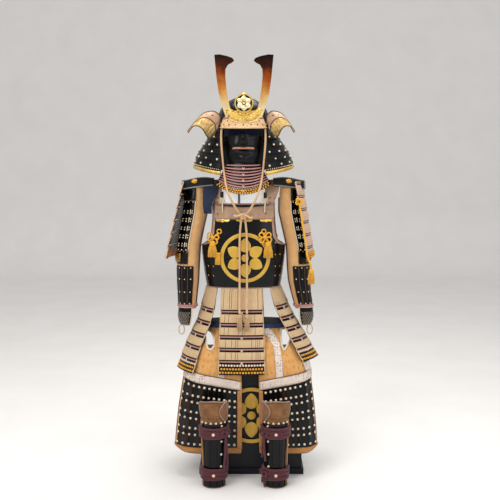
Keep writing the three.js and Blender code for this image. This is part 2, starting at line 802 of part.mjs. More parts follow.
// Shoulder guards: laced panels outside the upper arms
const GUARD_EDGES = [933, 985, 1039, 1093, 1147, 1201, 1258.3];
const GUARD_BOW = 20;
const GUARD_LEFT = [
  { z: 933, fore: -326, rear: -268 },
  { z: 985, fore: -319, rear: -262 },
  { z: 1258.3, fore: -253, rear: -211 },
];
const GUARD_RIGHT = [
  { z: 933, fore: 270, rear: 300 },
  { z: 985, fore: 264, rear: 294 },
  { z: 1258.3, fore: 219, rear: 247 },
];
const GUARD_FORE_Y = -112;
const GUARD_REAR_Y = 104;

function shoulderGuard(table, side) {
  const columns = 6;
  const rows = lameRows(GUARD_EDGES);
  return wall({
    columns,
    rows: rows.length - 1,
    thickness: IRON,
    point: (i, j) => {
      const row = between(table, 'z', rows[j].z);
      const share = i / columns;
      const bow = side * GUARD_BOW * 4 * share * (1 - share);
      const y = lerp(GUARD_FORE_Y, GUARD_REAR_Y, share);
      return new THREE.Vector3(lerp(row.fore, row.rear, share) + bow, y, rows[j].z);
    },
    flip: side < 0,
    relief: (i, j) => rows[j].relief,
    innerColumns: everySecond(columns),
    innerRows: innerOf(rows),
  });
}

// Armoured sleeves
const SLEEVE_COLUMNS = 12;
const SLEEVE_LEFT = [
  { z: 712, x: -243, y: -46, half: 37 },
  { z: 725, x: -243, y: -46, half: 36 },
  { z: 770, x: -242, y: -44, half: 39 },
  { z: 830, x: -240, y: -40, half: 44 },
  { z: 900, x: -239, y: -36, half: 46 },
  { z: 935, x: -238, y: -33, half: 47 },
  { z: 990, x: -235, y: -28, half: 48 },
  { z: 1060, x: -222, y: -22, half: 49 },
  { z: 1130, x: -208, y: -16, half: 51 },
  { z: 1200, x: -203, y: -10, half: 48 },
  { z: 1260.1, x: -201, y: -6, half: 42 },
];
const SLEEVE_RIGHT = [
  { z: 712, x: 262, y: -40, half: 37 },
  { z: 725, x: 260, y: -40, half: 36 },
  { z: 770, x: 250, y: -40, half: 39 },
  { z: 830, x: 240, y: -38, half: 44 },
  { z: 900, x: 236, y: -35, half: 46 },
  { z: 935, x: 236, y: -33, half: 47 },
  { z: 990, x: 233, y: -28, half: 48 },
  { z: 1060, x: 218, y: -22, half: 49 },
  { z: 1130, x: 204, y: -16, half: 51 },
  { z: 1200, x: 202, y: -10, half: 48 },
  { z: 1260.1, x: 201, y: -6, half: 42 },
];

function sleeve(table) {
  return wall({
    columns: SLEEVE_COLUMNS,
    rows: table.length - 1,
    closed: true,
    thickness: CLOTH,
    point: (i, j) => sectionPoint(table[j], (i / SLEEVE_COLUMNS) * 2 * Math.PI),
  });
}

// Plates on a sleeve are made from its points, moved out. Angles are for the right sleeve.
function onSleeve(table, side, { from, to, columns, heights, relief, innerRows = null }) {
  const off = SEAT + IRON;
  return wall({
    columns,
    rows: heights.length - 1,
    thickness: IRON,
    relief,
    innerRows,
    point: (i, j) => {
      const angle = lerp(from, to, i / columns) * DEG;
      const turned = side > 0 ? angle : Math.PI - angle;
      return sectionPoint({ ...between(table, 'z', heights[j]), z: heights[j] }, turned, off);
    },
    flip: side < 0,
  });
}

// The elbow disc and the lames above it, with the rows that the plain inside keeps
const ARM_ROWS = [
  { z: 906, relief: 0.5, inner: true },
  { z: 918, relief: 4.5, inner: false },
  { z: 935, relief: 4.5, inner: true },
  { z: 948, relief: 4.5, inner: false },
  { z: 962, relief: 0.5, inner: false },
  { z: 964, relief: 3, inner: false },
  { z: 989, relief: 0, inner: false },
  { z: 990, relief: 3, inner: true },
  { z: 1024, relief: 0, inner: false },
  { z: 1026, relief: 3, inner: false },
  { z: 1059, relief: 0, inner: false },
  { z: 1060, relief: 3, inner: true },
  { z: 1094, relief: 0, inner: false },
  { z: 1096, relief: 3, inner: false },
  { z: 1129, relief: 0, inner: false },
  { z: 1130, relief: 3, inner: true },
  { z: 1176, relief: 0, inner: true },
];
const SPLINT_HEIGHTS = [728, 770, 830, 898];

function armPlates(table, side) {
  return onSleeve(table, side, {
    from: -90,
    to: 60,
    columns: 5,
    heights: ARM_ROWS.map((row) => row.z),
    relief: (i, j) => ARM_ROWS[j].relief,
    innerRows: innerOf(ARM_ROWS),
  });
}

function forearmSplints(table, side) {
  return onSleeve(table, side, {
    from: -120,
    to: 60,
    columns: 12,
    heights: SPLINT_HEIGHTS,
    relief: (i) => (i % 2 ? 2.4 : 0),
  });
}

// Hand guards: curved plates over the backs of the hands, from the cuffs down
const HAND_ROWS = [
  { z: 640, drop: 0, half: 22, depth: 24, out: 4 },
  { z: 655, drop: 0, half: 32, depth: 32, out: 4 },
  { z: 680, drop: 0, half: 38, depth: 38, out: 2 },
  { z: 705, drop: 0, half: 37, depth: 38, out: 0 },
  { z: 722, drop: 0, half: 36.3, depth: 36.3, out: 0 },
];

const HAND_OFF = IRON + SEAT + 0.6;

function handGuard(table, side) {
  const columns = 6;
  const cuff = table[0];
  return wall({
    columns,
    rows: HAND_ROWS.length - 1,
    thickness: IRON,
    point: (i, j) => {
      const row = HAND_ROWS[j];
      const angle = lerp(-120, 60, i / columns) * DEG;
      const turned = side > 0 ? angle : Math.PI - angle;
      const x = cuff.x + side * row.out;
      const section = { x, y: cuff.y, z: row.z, half: row.half, front: row.depth, back: row.depth };
      return sectionPoint(section, turned, HAND_OFF);
    },
    flip: side < 0,
  });
}

// Thigh guards: a belt, two cloths, and a field of small plates on each
const THIGH_LEFT = {
  side: -1,
  power: 8,
  rows: [
    { z: 110, inner: 10, outer: 290, front: -190, far: -112 },
    { z: 136, inner: 6, outer: 296, front: -190, far: -112 },
    { z: 300, inner: 6, outer: 278, front: -190, far: -100 },
    { z: 400, inner: 7, outer: 262, front: -188, far: -86 },
    { z: 452, inner: 8, outer: 252, front: -186, far: -64 },
    { z: 520, inner: 8, outer: 234, front: -174, far: -52 },
    { z: 580, inner: 8, outer: 212, front: -154, far: -44 },
    { z: 632.4, inner: 8, outer: 180, front: -130, far: -40 },
  ],
};
const THIGH_RIGHT = {
  side: 1,
  power: 10,
  rows: [
    { z: 110, inner: 70, outer: 312, front: -190, far: -116 },
    { z: 136, inner: 67, outer: 318, front: -190, far: -116 },
    { z: 300, inner: 67, outer: 304, front: -190, far: -104 },
    { z: 400, inner: 66, outer: 292, front: -188, far: -90 },
    { z: 452, inner: 64, outer: 288, front: -186, far: -98 },
    { z: 503, inner: 61, outer: 278, front: -181, far: -134 },
    { z: 530, inner: 60, outer: 258, front: -171, far: -100 },
    { z: 580, inner: 56, outer: 236, front: -154, far: -60 },
    { z: 632.4, inner: 52, outer: 213, front: -130, far: -40 },
  ],
};
const BELT_LOW = 632.4;
const BELT_BLEND = 560;
const BELT_SEAT = 6;
const BAND = { inner: 383, outer: 422 };
const PLATE_LOW = 136;
const PLATE_ROWS = 4;
const PLATE_SPREAD = 4.2;
const PLATE_SEAT = 0.8;

function thighPoint(guard, share, z, out = 0) {
  const row = between(guard.rows, 'z', z);
  const bound = THREE.MathUtils.smoothstep(z, BELT_BLEND, BELT_LOW);
  const at = (u) => {
    const x = guard.side * lerp(row.inner, row.outer, u);
    const hung = row.front + (row.far - row.front) * u ** guard.power;
    const reach = Math.min(1, Math.abs(x - WAIST.x) / (WAIST.half + BELT_SEAT));
    const tied = -(WAIST.front + BELT_SEAT) * Math.sqrt(1 - reach ** 2);
    return new THREE.Vector3(x, lerp(hung, tied, bound), z);
  };
  const along = at(share + 0.01).sub(at(share - 0.01));
  const outward = new THREE.Vector3(along.y, -along.x, 0).normalize();
  return at(share).addScaledVector(outward, guard.side * out);
}

const CORNER_LIFT = 14.4;
const THIGH_STOPS = [0, 0.12, 0.26, 0.4, 0.54, 0.67, 0.78, 0.86, 0.93, 1];

function thighCloth(guard, opening) {
  const columns = THIGH_STOPS.length - 1;
  const heights = [110, 136, 210, 300, 400, 452, 503, 560, 596, 632.4];
  const cloth = wall({
    columns,
    rows: heights.length - 1,
    thickness: CLOTH,
    point: (i, j) => {
      const share = guard.side > 0 ? THIGH_STOPS[i] : THIGH_STOPS[columns - i];
      const lift = j === 0 ? CORNER_LIFT * Math.max(0, (share - 0.8) / 0.2) ** 2 : 0;
      return thighPoint(guard, share, heights[j] + lift);
    },
  });
  return cut(cloth, plate(opening, OPENING_CUT.face, OPENING_CUT.depth));
}

// Tear-shaped openings in the thigh cloths, as the front shows them
const OPENING_LEFT = [
  [-158, 622], [-136, 612], [-122, 588], [-124, 566], [-136, 552], [-150, 556], [-160, 580], [-166, 606],
];
const OPENING_RIGHT = [
  [160, 626], [190, 628], [212, 612], [204, 592], [184, 566], [172, 550], [162, 570], [158, 600],
];
const OPENING_CUT = { face: -260, depth: 160 };

function thighPlates(guard, columns) {
  const off = CLOTH + SEAT + PLATE_SEAT;
  const cells = columns * 2;
  const rows = PLATE_ROWS * 2 - 1;
  return wall({
    columns: cells,
    rows,
    thickness: CLOTH,
    point: (i, j) => {
      const cell = Math.floor(i / 2) / columns + (i % 2 ? 0.92 / columns : 0);
      const across = Math.min(1, i === cells ? 1 : cell);
      const share = 0.035 + 0.915 * (guard.side > 0 ? across : 1 - across);
      const row = Math.floor(j / 2) / PLATE_ROWS + (j % 2 ? 0.97 / PLATE_ROWS : 0);
      const up = j === rows ? 1 : row;
      const z = lerp(PLATE_LOW, lerp(BAND.inner, BAND.outer, share), up);
      return thighPoint(guard, share, z, off + PLATE_SPREAD * share ** guard.power);
    },
    relief: (i, j) => (i % 2 ? 0 : 1.6) + (j % 2 ? 0 : 1.8),
    innerColumns: everySecond(cells),
    innerRows: [0, 2, 4, rows],
  });
}

const BELT_DEPTH = 9;

function thighBelt() {
  const rows = [{ z: 633, relief: 0 }, { z: 642, relief: 2.5 }, { z: 651, relief: 0 }];
  return wall({
    columns: WAIST_COLUMNS,
    rows: 2,
    closed: true,
    thickness: 0,
    point: (i, j) => sectionPoint({ ...WAIST, z: rows[j].z }, (i / WAIST_COLUMNS) * 2 * Math.PI, SEAT),
    relief: (i, j) => BELT_DEPTH + rows[j].relief + (i % 2 ? 1 : 0),
    innerRows: [0, 2],
  });
}

// Shin guards with knee cloths and ties
const SHIN_Y = -258;
const SHIN_ROWS = [
  { z: 0, half: 45 },
  { z: 60, half: 44 },
  { z: 150, half: 47 },
  { z: 230, half: 50 },
  { z: 284, half: 51 },
];
const SHIN_SPAN = 150;

function shinGuard(x) {
  const columns = 16;
  return wall({
    columns,
    rows: SHIN_ROWS.length - 1,
    thickness: IRON,
    point: (i, j) => {
      const angle = (-90 + SHIN_SPAN * ((2 * i) / columns - 1)) * DEG;
      return sectionPoint({ ...SHIN_ROWS[j], x, y: SHIN_Y }, angle);
    },
    relief: (i) => [0, 0, 1.4, 0][i % 4],
    innerColumns: everySecond(columns),
  });
}

const KNEE_ROWS = [
  { z: 262, half: 51, span: 84 },
  { z: 287, half: 51.4, span: 84 },
  { z: 296, half: 54, span: 80 },
  { z: 318, half: 58, span: 74 },
  { z: 344, half: 57, span: 66 },
  { z: 368, half: 52, span: 50 },
];

function kneeCloth(x) {
  const columns = 10;
  return wall({
    columns,
    rows: KNEE_ROWS.length - 1,
    thickness: CLOTH,
    point: (i, j) => {
      const row = KNEE_ROWS[j];
      const inside = j < 2 ? -IRON - SEAT - 2.9 : 0;
      const angle = (-90 + row.span * ((2 * i) / columns - 1)) * DEG;
      return sectionPoint({ ...row, x, y: SHIN_Y }, angle, inside);
    },
    relief: (i, j) => (j < 2 ? 0 : 2 * ((i + j) % 2)),
    innerColumns: everySecond(columns),
  });
}

// A tie round a shin guard, with a bow fused to it on the inner side
const TIE_WALL = 3;
const TIE_SEAT = 2.9;
const BOW_DEPTH = 8;

function bowOutline(z, size, tail) {
  return [
    [0, 0.3], [0.5, 1], [1, 0.9], [1.05, 0.4], [0.5, -0.1], [0.42, -tail], [0.14, -tail], [0.08, -0.4],
    [-0.14, -0.4], [-0.3, -tail * 0.8], [-0.58, -tail * 0.8],
    [-0.5, -0.1], [-1.05, 0.4], [-1, 0.9], [-0.5, 1],
  ].map(([u, v]) => [u * size, z + v * size]);
}

function shinTie(x, low, high, bow) {
  const columns = 16;
  const middle = (low + high) / 2;
  const section = (z) => ({ half: between(SHIN_ROWS, 'z', z).half, x, y: SHIN_Y, z });
  const rows = [low, middle, high];
  const band = wall({
    columns,
    rows: 2,
    closed: true,
    thickness: TIE_WALL,
    point: (i, j) => sectionPoint(section(rows[j]), (i / columns) * 2 * Math.PI, TIE_WALL + TIE_SEAT),
    relief: (i, j) => (j === 1 ? 1.6 : 0),
    innerRows: [0, 2],
  });
  if (!bow) return band;
  const reach = section(middle).half + TIE_SEAT + TIE_WALL;
  const loops = plate(bowOutline(middle, bow.size, bow.tail), -reach - BOW_DEPTH + 1.5, BOW_DEPTH);
  return join(band, loops.rotateZ(bow.turn * DEG).translate(x, SHIN_Y, 0));
}

// Helmet cords: from the visor's ends across the mask and throat guard to the chest, then down
const CORD_RADIUS = 4.5;
const CORD_LEFT = [
  [-91, -98, 1481], [-93, -104, 1452], [-92, -108, 1416], [-89, -108, 1372], [-85, -111, 1326],
  [-79, -122.2, 1282], [-71, -144.2, 1240], [-61, -157, 1208], [-44, -155, 1172], [-24, -143, 1138],
  [-10, -139, 1118], [-10, -138, 1092], [-14, -139, 1050], [-16, -140, 990], [-16, -140, 930],
  [-16, -138, 870], [-16, -136, 820], [-16, -148, 770], [-16, -163, 735], [-16, -175, 706],
];
const CORD_RIGHT = CORD_LEFT.map(([x, y, z]) => [z > 1130 ? -x : -x - 1, y, z]);
const CORD_STEPS = 30;

// Tassels: strands fused into a head
const STRAND_SIDES = 3;
const STRAND_SEAT = 1.5;

function strand(x, y, top, length, radius) {
  const geometry = new THREE.CylinderGeometry(radius, radius * 1.25, length, STRAND_SIDES);
  return geometry.rotateX(Math.PI / 2).translate(x, y, top - length / 2);
}

function tasselParts(x, y, top, { radius, head, length, strands }) {
  const profile = [[0, -head], [radius, -head], [radius, -head * 0.4], [radius * 0.5, 0], [0, 0]];
  const parts = [lathe(profile, 8, { x, y, z: top })];
  const reach = radius * 0.72;
  for (let k = 0; k < strands; k += 1) {
    const turn = (k / strands) * 2 * Math.PI;
    const strandX = x + reach * Math.cos(turn);
    const strandY = y + reach * Math.sin(turn);
    parts.push(strand(strandX, strandY, top - head + STRAND_SEAT, length, radius * 0.2));
  }
  return parts;
}

const CORD_TASSEL = { radius: 9, head: 14, length: 52, strands: 11 };
const CHEST_TASSEL = { radius: 10, head: 16, length: 54, strands: 11 };

// Gold cord bows on the chest: a knot of loops with a tassel under it
const KNOT = { lobes: 4, core: 15, lobe: 13, twist: 0.4, depth: 7 };
const RING_BAR = { length: 44, width: 6, turn: 0.6, x: 24, z: 22 };
const KNOT_STEPS = 6;

function chestBow({ x, z, face, turn, tasselX }) {
  const steps = KNOT.lobes * KNOT_STEPS;
  const outline = [];
  for (let k = 0; k < steps; k += 1) {
    const angle = (k / steps) * 2 * Math.PI;
    const reach = KNOT.core + KNOT.lobe * Math.abs(Math.cos((KNOT.lobes / 2) * angle + KNOT.twist));
    outline.push([reach * Math.cos(angle), reach * Math.sin(angle)]);
  }
  const side = turn < 0 ? 1 : -1;
  const knot = plate(outline, 0, KNOT.depth).rotateZ(turn).translate(x, face, z);
  const ring = new THREE.BoxGeometry(RING_BAR.length, RING_BAR.width, RING_BAR.width)
    .rotateY(-RING_BAR.turn * side)
    .translate(RING_BAR.x * side, KNOT.depth / 2, RING_BAR.z)
    .rotateZ(turn)
    .translate(x, face, z);
  const tasselY = face + KNOT.depth / 2 + (tasselX - x) * Math.tan(turn);
  const tassel = tasselParts(tasselX, tasselY, z + 4, CHEST_TASSEL);
  return join(knot, ring, ...tassel);
}

// Assembly, from the ground up

armourBox();
stand();
helmetBowl();
visor();
neckGuard();
add('turnback_left', turnback(-1), 'turnback');
add('turnback_right', turnback(1), 'turnback');
horns();
faceMask();
throatGuard();
add('cuirass_front', cuirassPlate(CUIRASS_FRONT, 1), 'lacquer');
add('cuirass_back', cuirassPlate(CUIRASS_BACK, -1), 'lacquer');
add('chest_board', chestBoard(), 'leather');
add('shoulder_strap_left', shoulderStrap(-1), 'leather');
add('shoulder_strap_right', shoulderStrap(1), 'leather');
add('shoulder_wing_left', shoulderWing(-1), 'navy');
add('shoulder_wing_right', shoulderWing(1), 'navy');
add('shoulder_cloth', shoulderCloth(), 'navy');
add('skirt_front', skirtPanel(SKIRT_FRONT, -90, { bow: SKIRT_FRONT_BOW }), 'laced');
add('skirt_front_left', skirtPanel(SKIRT_LEFT_SIDE, -150), 'laced');
add('skirt_front_right', skirtPanel(SKIRT_RIGHT_SIDE, -30, { edges: SKIRT_LIFTED_EDGES }), 'laced');
add('skirt_back_left', skirtPanel(SKIRT_BACK_LEFT, 150), 'laced');
add('skirt_back_right', skirtPanel(SKIRT_BACK_RIGHT, 30, { edges: SKIRT_LIFTED_EDGES }), 'laced');
add('skirt_back', skirtPanel(SKIRT_BACK, 90), 'laced');
add('shoulder_guard_left', shoulderGuard(GUARD_LEFT, -1), 'laced');
add('shoulder_guard_right', shoulderGuard(GUARD_RIGHT, 1), 'laced');
for (const [name, table, side] of [['left', SLEEVE_LEFT, -1], ['right', SLEEVE_RIGHT, 1]]) {
  add(`sleeve_${name}`, sleeve(table), 'sleeve');
  add(`arm_plates_${name}`, armPlates(table, side), 'lacquer');
  add(`forearm_splints_${name}`, forearmSplints(table, side), 'lacquer');
  add(`hand_guard_${name}`, handGuard(table, side), 'lacquer');
}
add('thigh_belt', thighBelt(), 'belt');
add('thigh_cloth_left', thighCloth(THIGH_LEFT, OPENING_LEFT), 'thigh');
add('thigh_cloth_right', thighCloth(THIGH_RIGHT, OPENING_RIGHT), 'thigh');
add('thigh_plates_left', thighPlates(THIGH_LEFT, 11), 'lacquer');
add('thigh_plates_right', thighPlates(THIGH_RIGHT, 10), 'lacquer');
const SHINS = [
  { name: 'left', x: -122, upper: { turn: 48, size: 15, tail: 2.6 }, lower: null },
  {
    name: 'right',
    x: 134.6,
    upper: { turn: -48, size: 15, tail: 2.4 },
    lower: { turn: -48, size: 13, tail: 1.8 },
  },
];
for (const { name, x, upper, lower } of SHINS) {
  add(`shin_guard_${name}`, shinGuard(x), 'lacquer');
  add(`knee_cloth_${name}`, kneeCloth(x), 'knee');
  add(`shin_tie_upper_${name}`, shinTie(x, 209, 255, upper), 'tie');
  add(`shin_tie_lower_${name}`, shinTie(x, 34, 81, lower), 'tie');
}
for (const [name, route] of [['left', CORD_LEFT], ['right', CORD_RIGHT]]) {
  const [endX, endY, endZ] = route.at(-1);
  add(`helmet_cord_${name}`, cordTube(route, CORD_RADIUS, CORD_STEPS), 'cord');
  add(`cord_tassel_${name}`, join(...tasselParts(endX, endY, endZ - 2.2, CORD_TASSEL)), 'cord');
}
add('chest_tassel_left', chestBow({ x: -112, z: 1022, face: -125.2, turn: -0.5, tasselX: -131 }), 'tassel');
add('chest_tassel_right', chestBow({ x: 86, z: 1018, face: -135, turn: 0.4, tasselX: 105 }), 'tassel');

export default armour;
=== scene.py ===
"""Samurai armour on a display stand: the finishes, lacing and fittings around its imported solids.

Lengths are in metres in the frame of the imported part: X to the viewer's right, Y away from the
viewer, Z up. Left and right in names are the viewer's. Angles are in degrees, and angle 0 of a
rounded section is at +X with -90 at the front.
"""

import json
import logging
import math
import random
from collections.abc import Callable, Sequence
from dataclasses import dataclass, field
from enum import Enum

import bmesh
import bpy
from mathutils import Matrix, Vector, noise

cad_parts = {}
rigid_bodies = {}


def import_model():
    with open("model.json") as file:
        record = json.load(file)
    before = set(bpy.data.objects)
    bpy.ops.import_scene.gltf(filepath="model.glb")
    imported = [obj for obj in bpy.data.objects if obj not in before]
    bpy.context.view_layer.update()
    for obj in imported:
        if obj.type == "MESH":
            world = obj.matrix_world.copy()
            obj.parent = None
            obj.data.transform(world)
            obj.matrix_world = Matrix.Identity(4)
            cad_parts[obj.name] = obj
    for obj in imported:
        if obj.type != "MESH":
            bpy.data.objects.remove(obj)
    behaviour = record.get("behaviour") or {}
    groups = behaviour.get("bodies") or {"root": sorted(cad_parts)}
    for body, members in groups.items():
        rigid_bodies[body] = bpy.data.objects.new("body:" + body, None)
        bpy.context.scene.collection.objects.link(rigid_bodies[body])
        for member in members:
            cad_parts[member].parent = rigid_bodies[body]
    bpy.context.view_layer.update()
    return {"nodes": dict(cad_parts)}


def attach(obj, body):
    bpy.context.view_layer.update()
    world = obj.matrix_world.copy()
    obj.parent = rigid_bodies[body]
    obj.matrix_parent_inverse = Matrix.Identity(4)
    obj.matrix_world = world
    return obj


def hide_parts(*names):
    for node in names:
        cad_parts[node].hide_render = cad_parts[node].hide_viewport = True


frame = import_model()
log = logging.getLogger("armour")

Row = dict[str, float]
Point = Callable[[float, float], Vector]
Placement = tuple[Vector, Vector, Vector]

UP = Vector((0, 0, 1))
ACROSS = Vector((1, 0, 0))
FRONT = Vector((0, -1, 0))
SIDES = {"left": -1, "right": 1}


def table(columns: str, *lines: Sequence[float]) -> list[Row]:
    """Name the columns of a short table.

    Args:
        columns: Column names with spaces between them.
        lines: One line of numbers for each row.

    Returns:
        One dict for each row.
    """
    names = columns.split()
    return [dict(zip(names, line)) for line in lines]


def mix(a: float, b: float, share: float) -> float:
    """Blend two numbers."""
    return a + (b - a) * share


def between(rows: list[Row], driver: str, value: float) -> Row:
    """Read a table between its rows, along straight lines.

    Args:
        rows: The table.
        driver: The rising column that is looked up.
        value: Where to look in that column.

    Returns:
        The row at that value.
    """
    k = 1
    while k < len(rows) - 1 and rows[k][driver] < value:
        k += 1
    low, high = rows[k - 1], rows[k]
    share = min(1.0, max(0.0, (value - low[driver]) / (high[driver] - low[driver])))
    return {name: mix(low[name], high[name], share) for name in low}


def eased(rows: list[Row], driver: str, value: float) -> Row:
    """Read a table between its rows, along smooth curves.

    Args:
        rows: The table.
        driver: The rising column that is looked up.
        value: Where to look in that column.

    Returns:
        The row at that value.
    """
    k = 1
    while k < len(rows) - 1 and rows[k][driver] < value:
        k += 1
    low, high = rows[k - 1], rows[k]
    before, after = rows[max(0, k - 2)], rows[min(len(rows) - 1, k + 1)]
    span = high[driver] - low[driver]
    t = min(1.0, max(0.0, (value - low[driver]) / span))
    made = {}
    for name in low:
        first = (high[name] - before[name]) / (high[driver] - before[driver]) * span
        last = (after[name] - low[name]) / (after[driver] - low[driver]) * span
        made[name] = (
            (2 * t**3 - 3 * t**2 + 1) * low[name]
            + (t**3 - 2 * t**2 + t) * first
            + (3 * t**2 - 2 * t**3) * high[name]
            + (t**3 - t**2) * last
        )
    made[driver] = value
    return made


def section(row: Row, angle: float, out: float = 0.0) -> Vector:
    """A point on a rounded section.

    Args:
        row: Centre x, y, z with half, front, back and square, as in the part's source.
        angle: Degrees, with -90 at the front.
        out: Distance outside the section.

    Returns:
        The point.
    """
    c, s = math.cos(math.radians(angle)), math.sin(math.radians(angle))
    power = 2 / row.get("square", 2)
    depth = row.get("front" if s < 0 else "back", row["half"])
    return Vector((
        row.get("x", 0) + (row["half"] + out) * math.copysign(abs(c) ** power, c),
        row.get("y", 0) + (depth + out) * math.copysign(abs(s) ** power, s),
        row.get("z", 0),
    ))


def route(points: Sequence[Sequence[float]], steps: int) -> list[Vector]:
    """A smooth line through points, in equal shares between them.

    Args:
        points: The points to pass through.
        steps: Pieces of line between two of them.

    Returns:
        The points of the line.
    """
    known = [Vector(p) for p in points]
    line = []
    for k in range(len(known) - 1):
        a, b = known[k], known[k + 1]
        before = known[k - 1] if k else a * 2 - b
        after = known[k + 2] if k + 2 < len(known) else b * 2 - a
        for n in range(steps):
            t = n / steps
            line.append(0.5 * (
                2 * a + (b - before) * t
                + (2 * before - 5 * a + 4 * b - after) * t**2
                + (3 * a - before - 3 * b + after) * t**3
            ))
    return [*line, known[-1]]


def length_of(line: Sequence[Vector]) -> float:
    """The length of a line through points."""
    return sum((b - a).length for a, b in zip(line, line[1:]))


class Cloth:
    """A mesh in the making: grids, tubes and blocks of one piece, with a UV map in metres."""

    def __init__(self, name: str) -> None:
        """Start an empty piece.

        Args:
            name: The piece's name.
        """
        self.name = name
        self.points: list[Vector] = []
        self.faces: list[tuple[int, ...]] = []
        self.uvs: list[list[tuple[float, float]]] = []

    def grid(self, point: Point, columns: int, rows: int, *,
             relief: Callable[[float, float], float] | None = None,
             thickness: float = 0.0, closed: bool = False, flip: bool = False,
             size: tuple[float, float] = (1.0, 1.0)) -> "Cloth":
        """Add a surface on a grid, or a wall of it.

        Args:
            point: Gives the surface at shares u and v from 0 to 1.
            columns: Cells along u.
            rows: Cells along v.
            relief: Gives how far the outer face stands out at u, v.
            thickness: Depth of the wall behind the surface, or 0 for a bare surface.
            closed: True where u meets itself.
            flip: True where the surface would face inwards.
            size: Width and height that the UV map spans.

        Returns:
            This piece.
        """
        step_u, step_v = 0.5 / columns, 0.5 / rows
        wide = columns if closed else columns + 1
        start = len(self.points)
        outer, inner = [], []
        for j in range(rows + 1):
            for i in range(wide):
                u, v = i / columns, j / rows
                low_u, high_u = u - step_u, u + step_u
                if not closed:
                    low_u, high_u = max(0, low_u), min(1, high_u)
                across = point(high_u, v) - point(low_u, v)
                along = point(u, min(1, v + step_v)) - point(u, max(0, v - step_v))
                normal = across.cross(along).normalized() * (-1 if flip else 1)
                base = point(u, v)
                outer.append(base + normal * (relief(u, v) if relief else 0))
                if thickness:
                    inner.append(base - normal * thickness)
        self.points += outer + inner
        back = start + len(outer)

        def at(i: int, j: int, first: int = start) -> int:
            """The number of a point on the grid."""
            return first + (i % wide) + j * wide

        def uv(i: int, j: int) -> tuple[float, float]:
            """The UV place of a point on the grid."""
            return (i / columns * size[0], j / rows * size[1])

        def put(corners: list[tuple[int, int, int]], turned: bool) -> None:
            """Add a face with its UV places.

            Args:
                corners: Corners as column, row and layer.
                turned: True where the face looks the other way.
            """
            order = corners[::-1] if turned != flip else corners
            self.faces.append(tuple(at(i, j, first) for i, j, first in order))
            self.uvs.append([uv(i, j) for i, j, _ in order])

        for j in range(rows):
            for i in range(columns):
                cell = [(i, j), (i + 1, j), (i + 1, j + 1), (i, j + 1)]
                put([(a, b, start) for a, b in cell], False)
                if thickness:
                    put([(a, b, back) for a, b in cell], True)
        if thickness:
            for i in range(columns):
                for j, turned in ((0, True), (rows, False)):
                    put([(i, j, start), (i + 1, j, start), (i + 1, j, back), (i, j, back)], turned)
            for j in range(0 if closed else rows):
                for i, turned in ((0, False), (columns, True)):
                    put([(i, j, start), (i, j + 1, start), (i, j + 1, back), (i, j, back)], turned)
        return self

    def tube(self, line: Sequence[Vector], radius: float | Callable[[float], float], *, sides: int = 8,
             flat: float = 1.0, facing: Vector = FRONT) -> "Cloth":
        """Add a closed tube along a line.

        Args:
            line: Points of the centre line.
            radius: Half the width, the same all along or by the share of the way.
            sides: Faces round the tube.
            flat: Depth over width.
            facing: Where the thin side of a flat tube looks.

        Returns:
            This piece.
        """
        start, gone = len(self.points), 0.0
        whole = max(length_of(line), 1e-6)
        shares, wide = [], 0.0
        for k, here in enumerate(line):
            ahead = (line[min(k + 1, len(line) - 1)] - line[max(k - 1, 0)]).normalized()
            side = ahead.cross(facing)
            side = side.normalized() if side.length > 1e-6 else ahead.orthogonal().normalized()
            rise = side.cross(ahead).normalized()
            gone += (here - line[k - 1]).length if k else 0
            shares.append(gone)
            r = radius(gone / whole) if callable(radius) else radius
            wide = max(wide, r)
            for n in range(sides):
                turn = 2 * math.pi * n / sides
                self.points.append(here + side * (r * math.cos(turn)) + rise * (r * flat * math.sin(turn)))
        for k in range(len(line) - 1):
            for n in range(sides):
                a, b = start + k * sides + n, start + k * sides + (n + 1) % sides
                self.faces.append((a, b, b + sides, a + sides))
                u, w = (2 * math.pi * wide * m / sides for m in (n, n + 1))
                self.uvs.append([(u, shares[k]), (w, shares[k]), (w, shares[k + 1]), (u, shares[k + 1])])
        last = start + (len(line) - 1) * sides
        for first, turned in ((start, True), (last, False)):
            corners = [first + n for n in range(sides)]
            self.faces.append(tuple(corners[::-1] if turned else corners))
            self.uvs.append([(0.0, 0.0)] * sides)
        return self

    def strip(self, line: Sequence[Vector], normals: Sequence[Vector], width: float,
              depth: float) -> "Cloth":
        """Add a flat braid that lies on a surface.

        Args:
            line: Points of the centre line, on the surface.
            normals: The surface's outward normal at each.
            width: Width of the braid.
            depth: How far it stands off the surface.

        Returns:
            This piece.
        """
        profile = ((-0.5, -0.2), (-0.46, 0.7), (0.0, 1.0), (0.46, 0.7), (0.5, -0.2))
        start, gone = len(self.points), 0.0
        marks = []
        for k, here in enumerate(line):
            ahead = (line[min(k + 1, len(line) - 1)] - line[max(k - 1, 0)]).normalized()
            side = ahead.cross(normals[k]).normalized()
            gone += (here - line[k - 1]).length if k else 0
            marks.append(gone)
            self.points += [here + side * (width * a) + normals[k] * (depth * b) for a, b in profile]
        wide = len(profile)
        for k in range(len(line) - 1):
            for n in range(wide):
                m = (n + 1) % wide
                a, b = start + k * wide + n, start + k * wide + m
                self.faces.append((a, b, b + wide, a + wide))
                u, w = profile[n][0] * width, profile[m][0] * width
                self.uvs.append([(u, marks[k]), (w, marks[k]), (w, marks[k + 1]), (u, marks[k + 1])])
        ends = (start, start + (len(line) - 1) * wide)
        self.faces.append(tuple(ends[0] + n for n in range(wide))[::-1])
        self.faces.append(tuple(ends[1] + n for n in range(wide)))
        self.uvs += [[(0.0, 0.0)] * wide] * 2
        return self

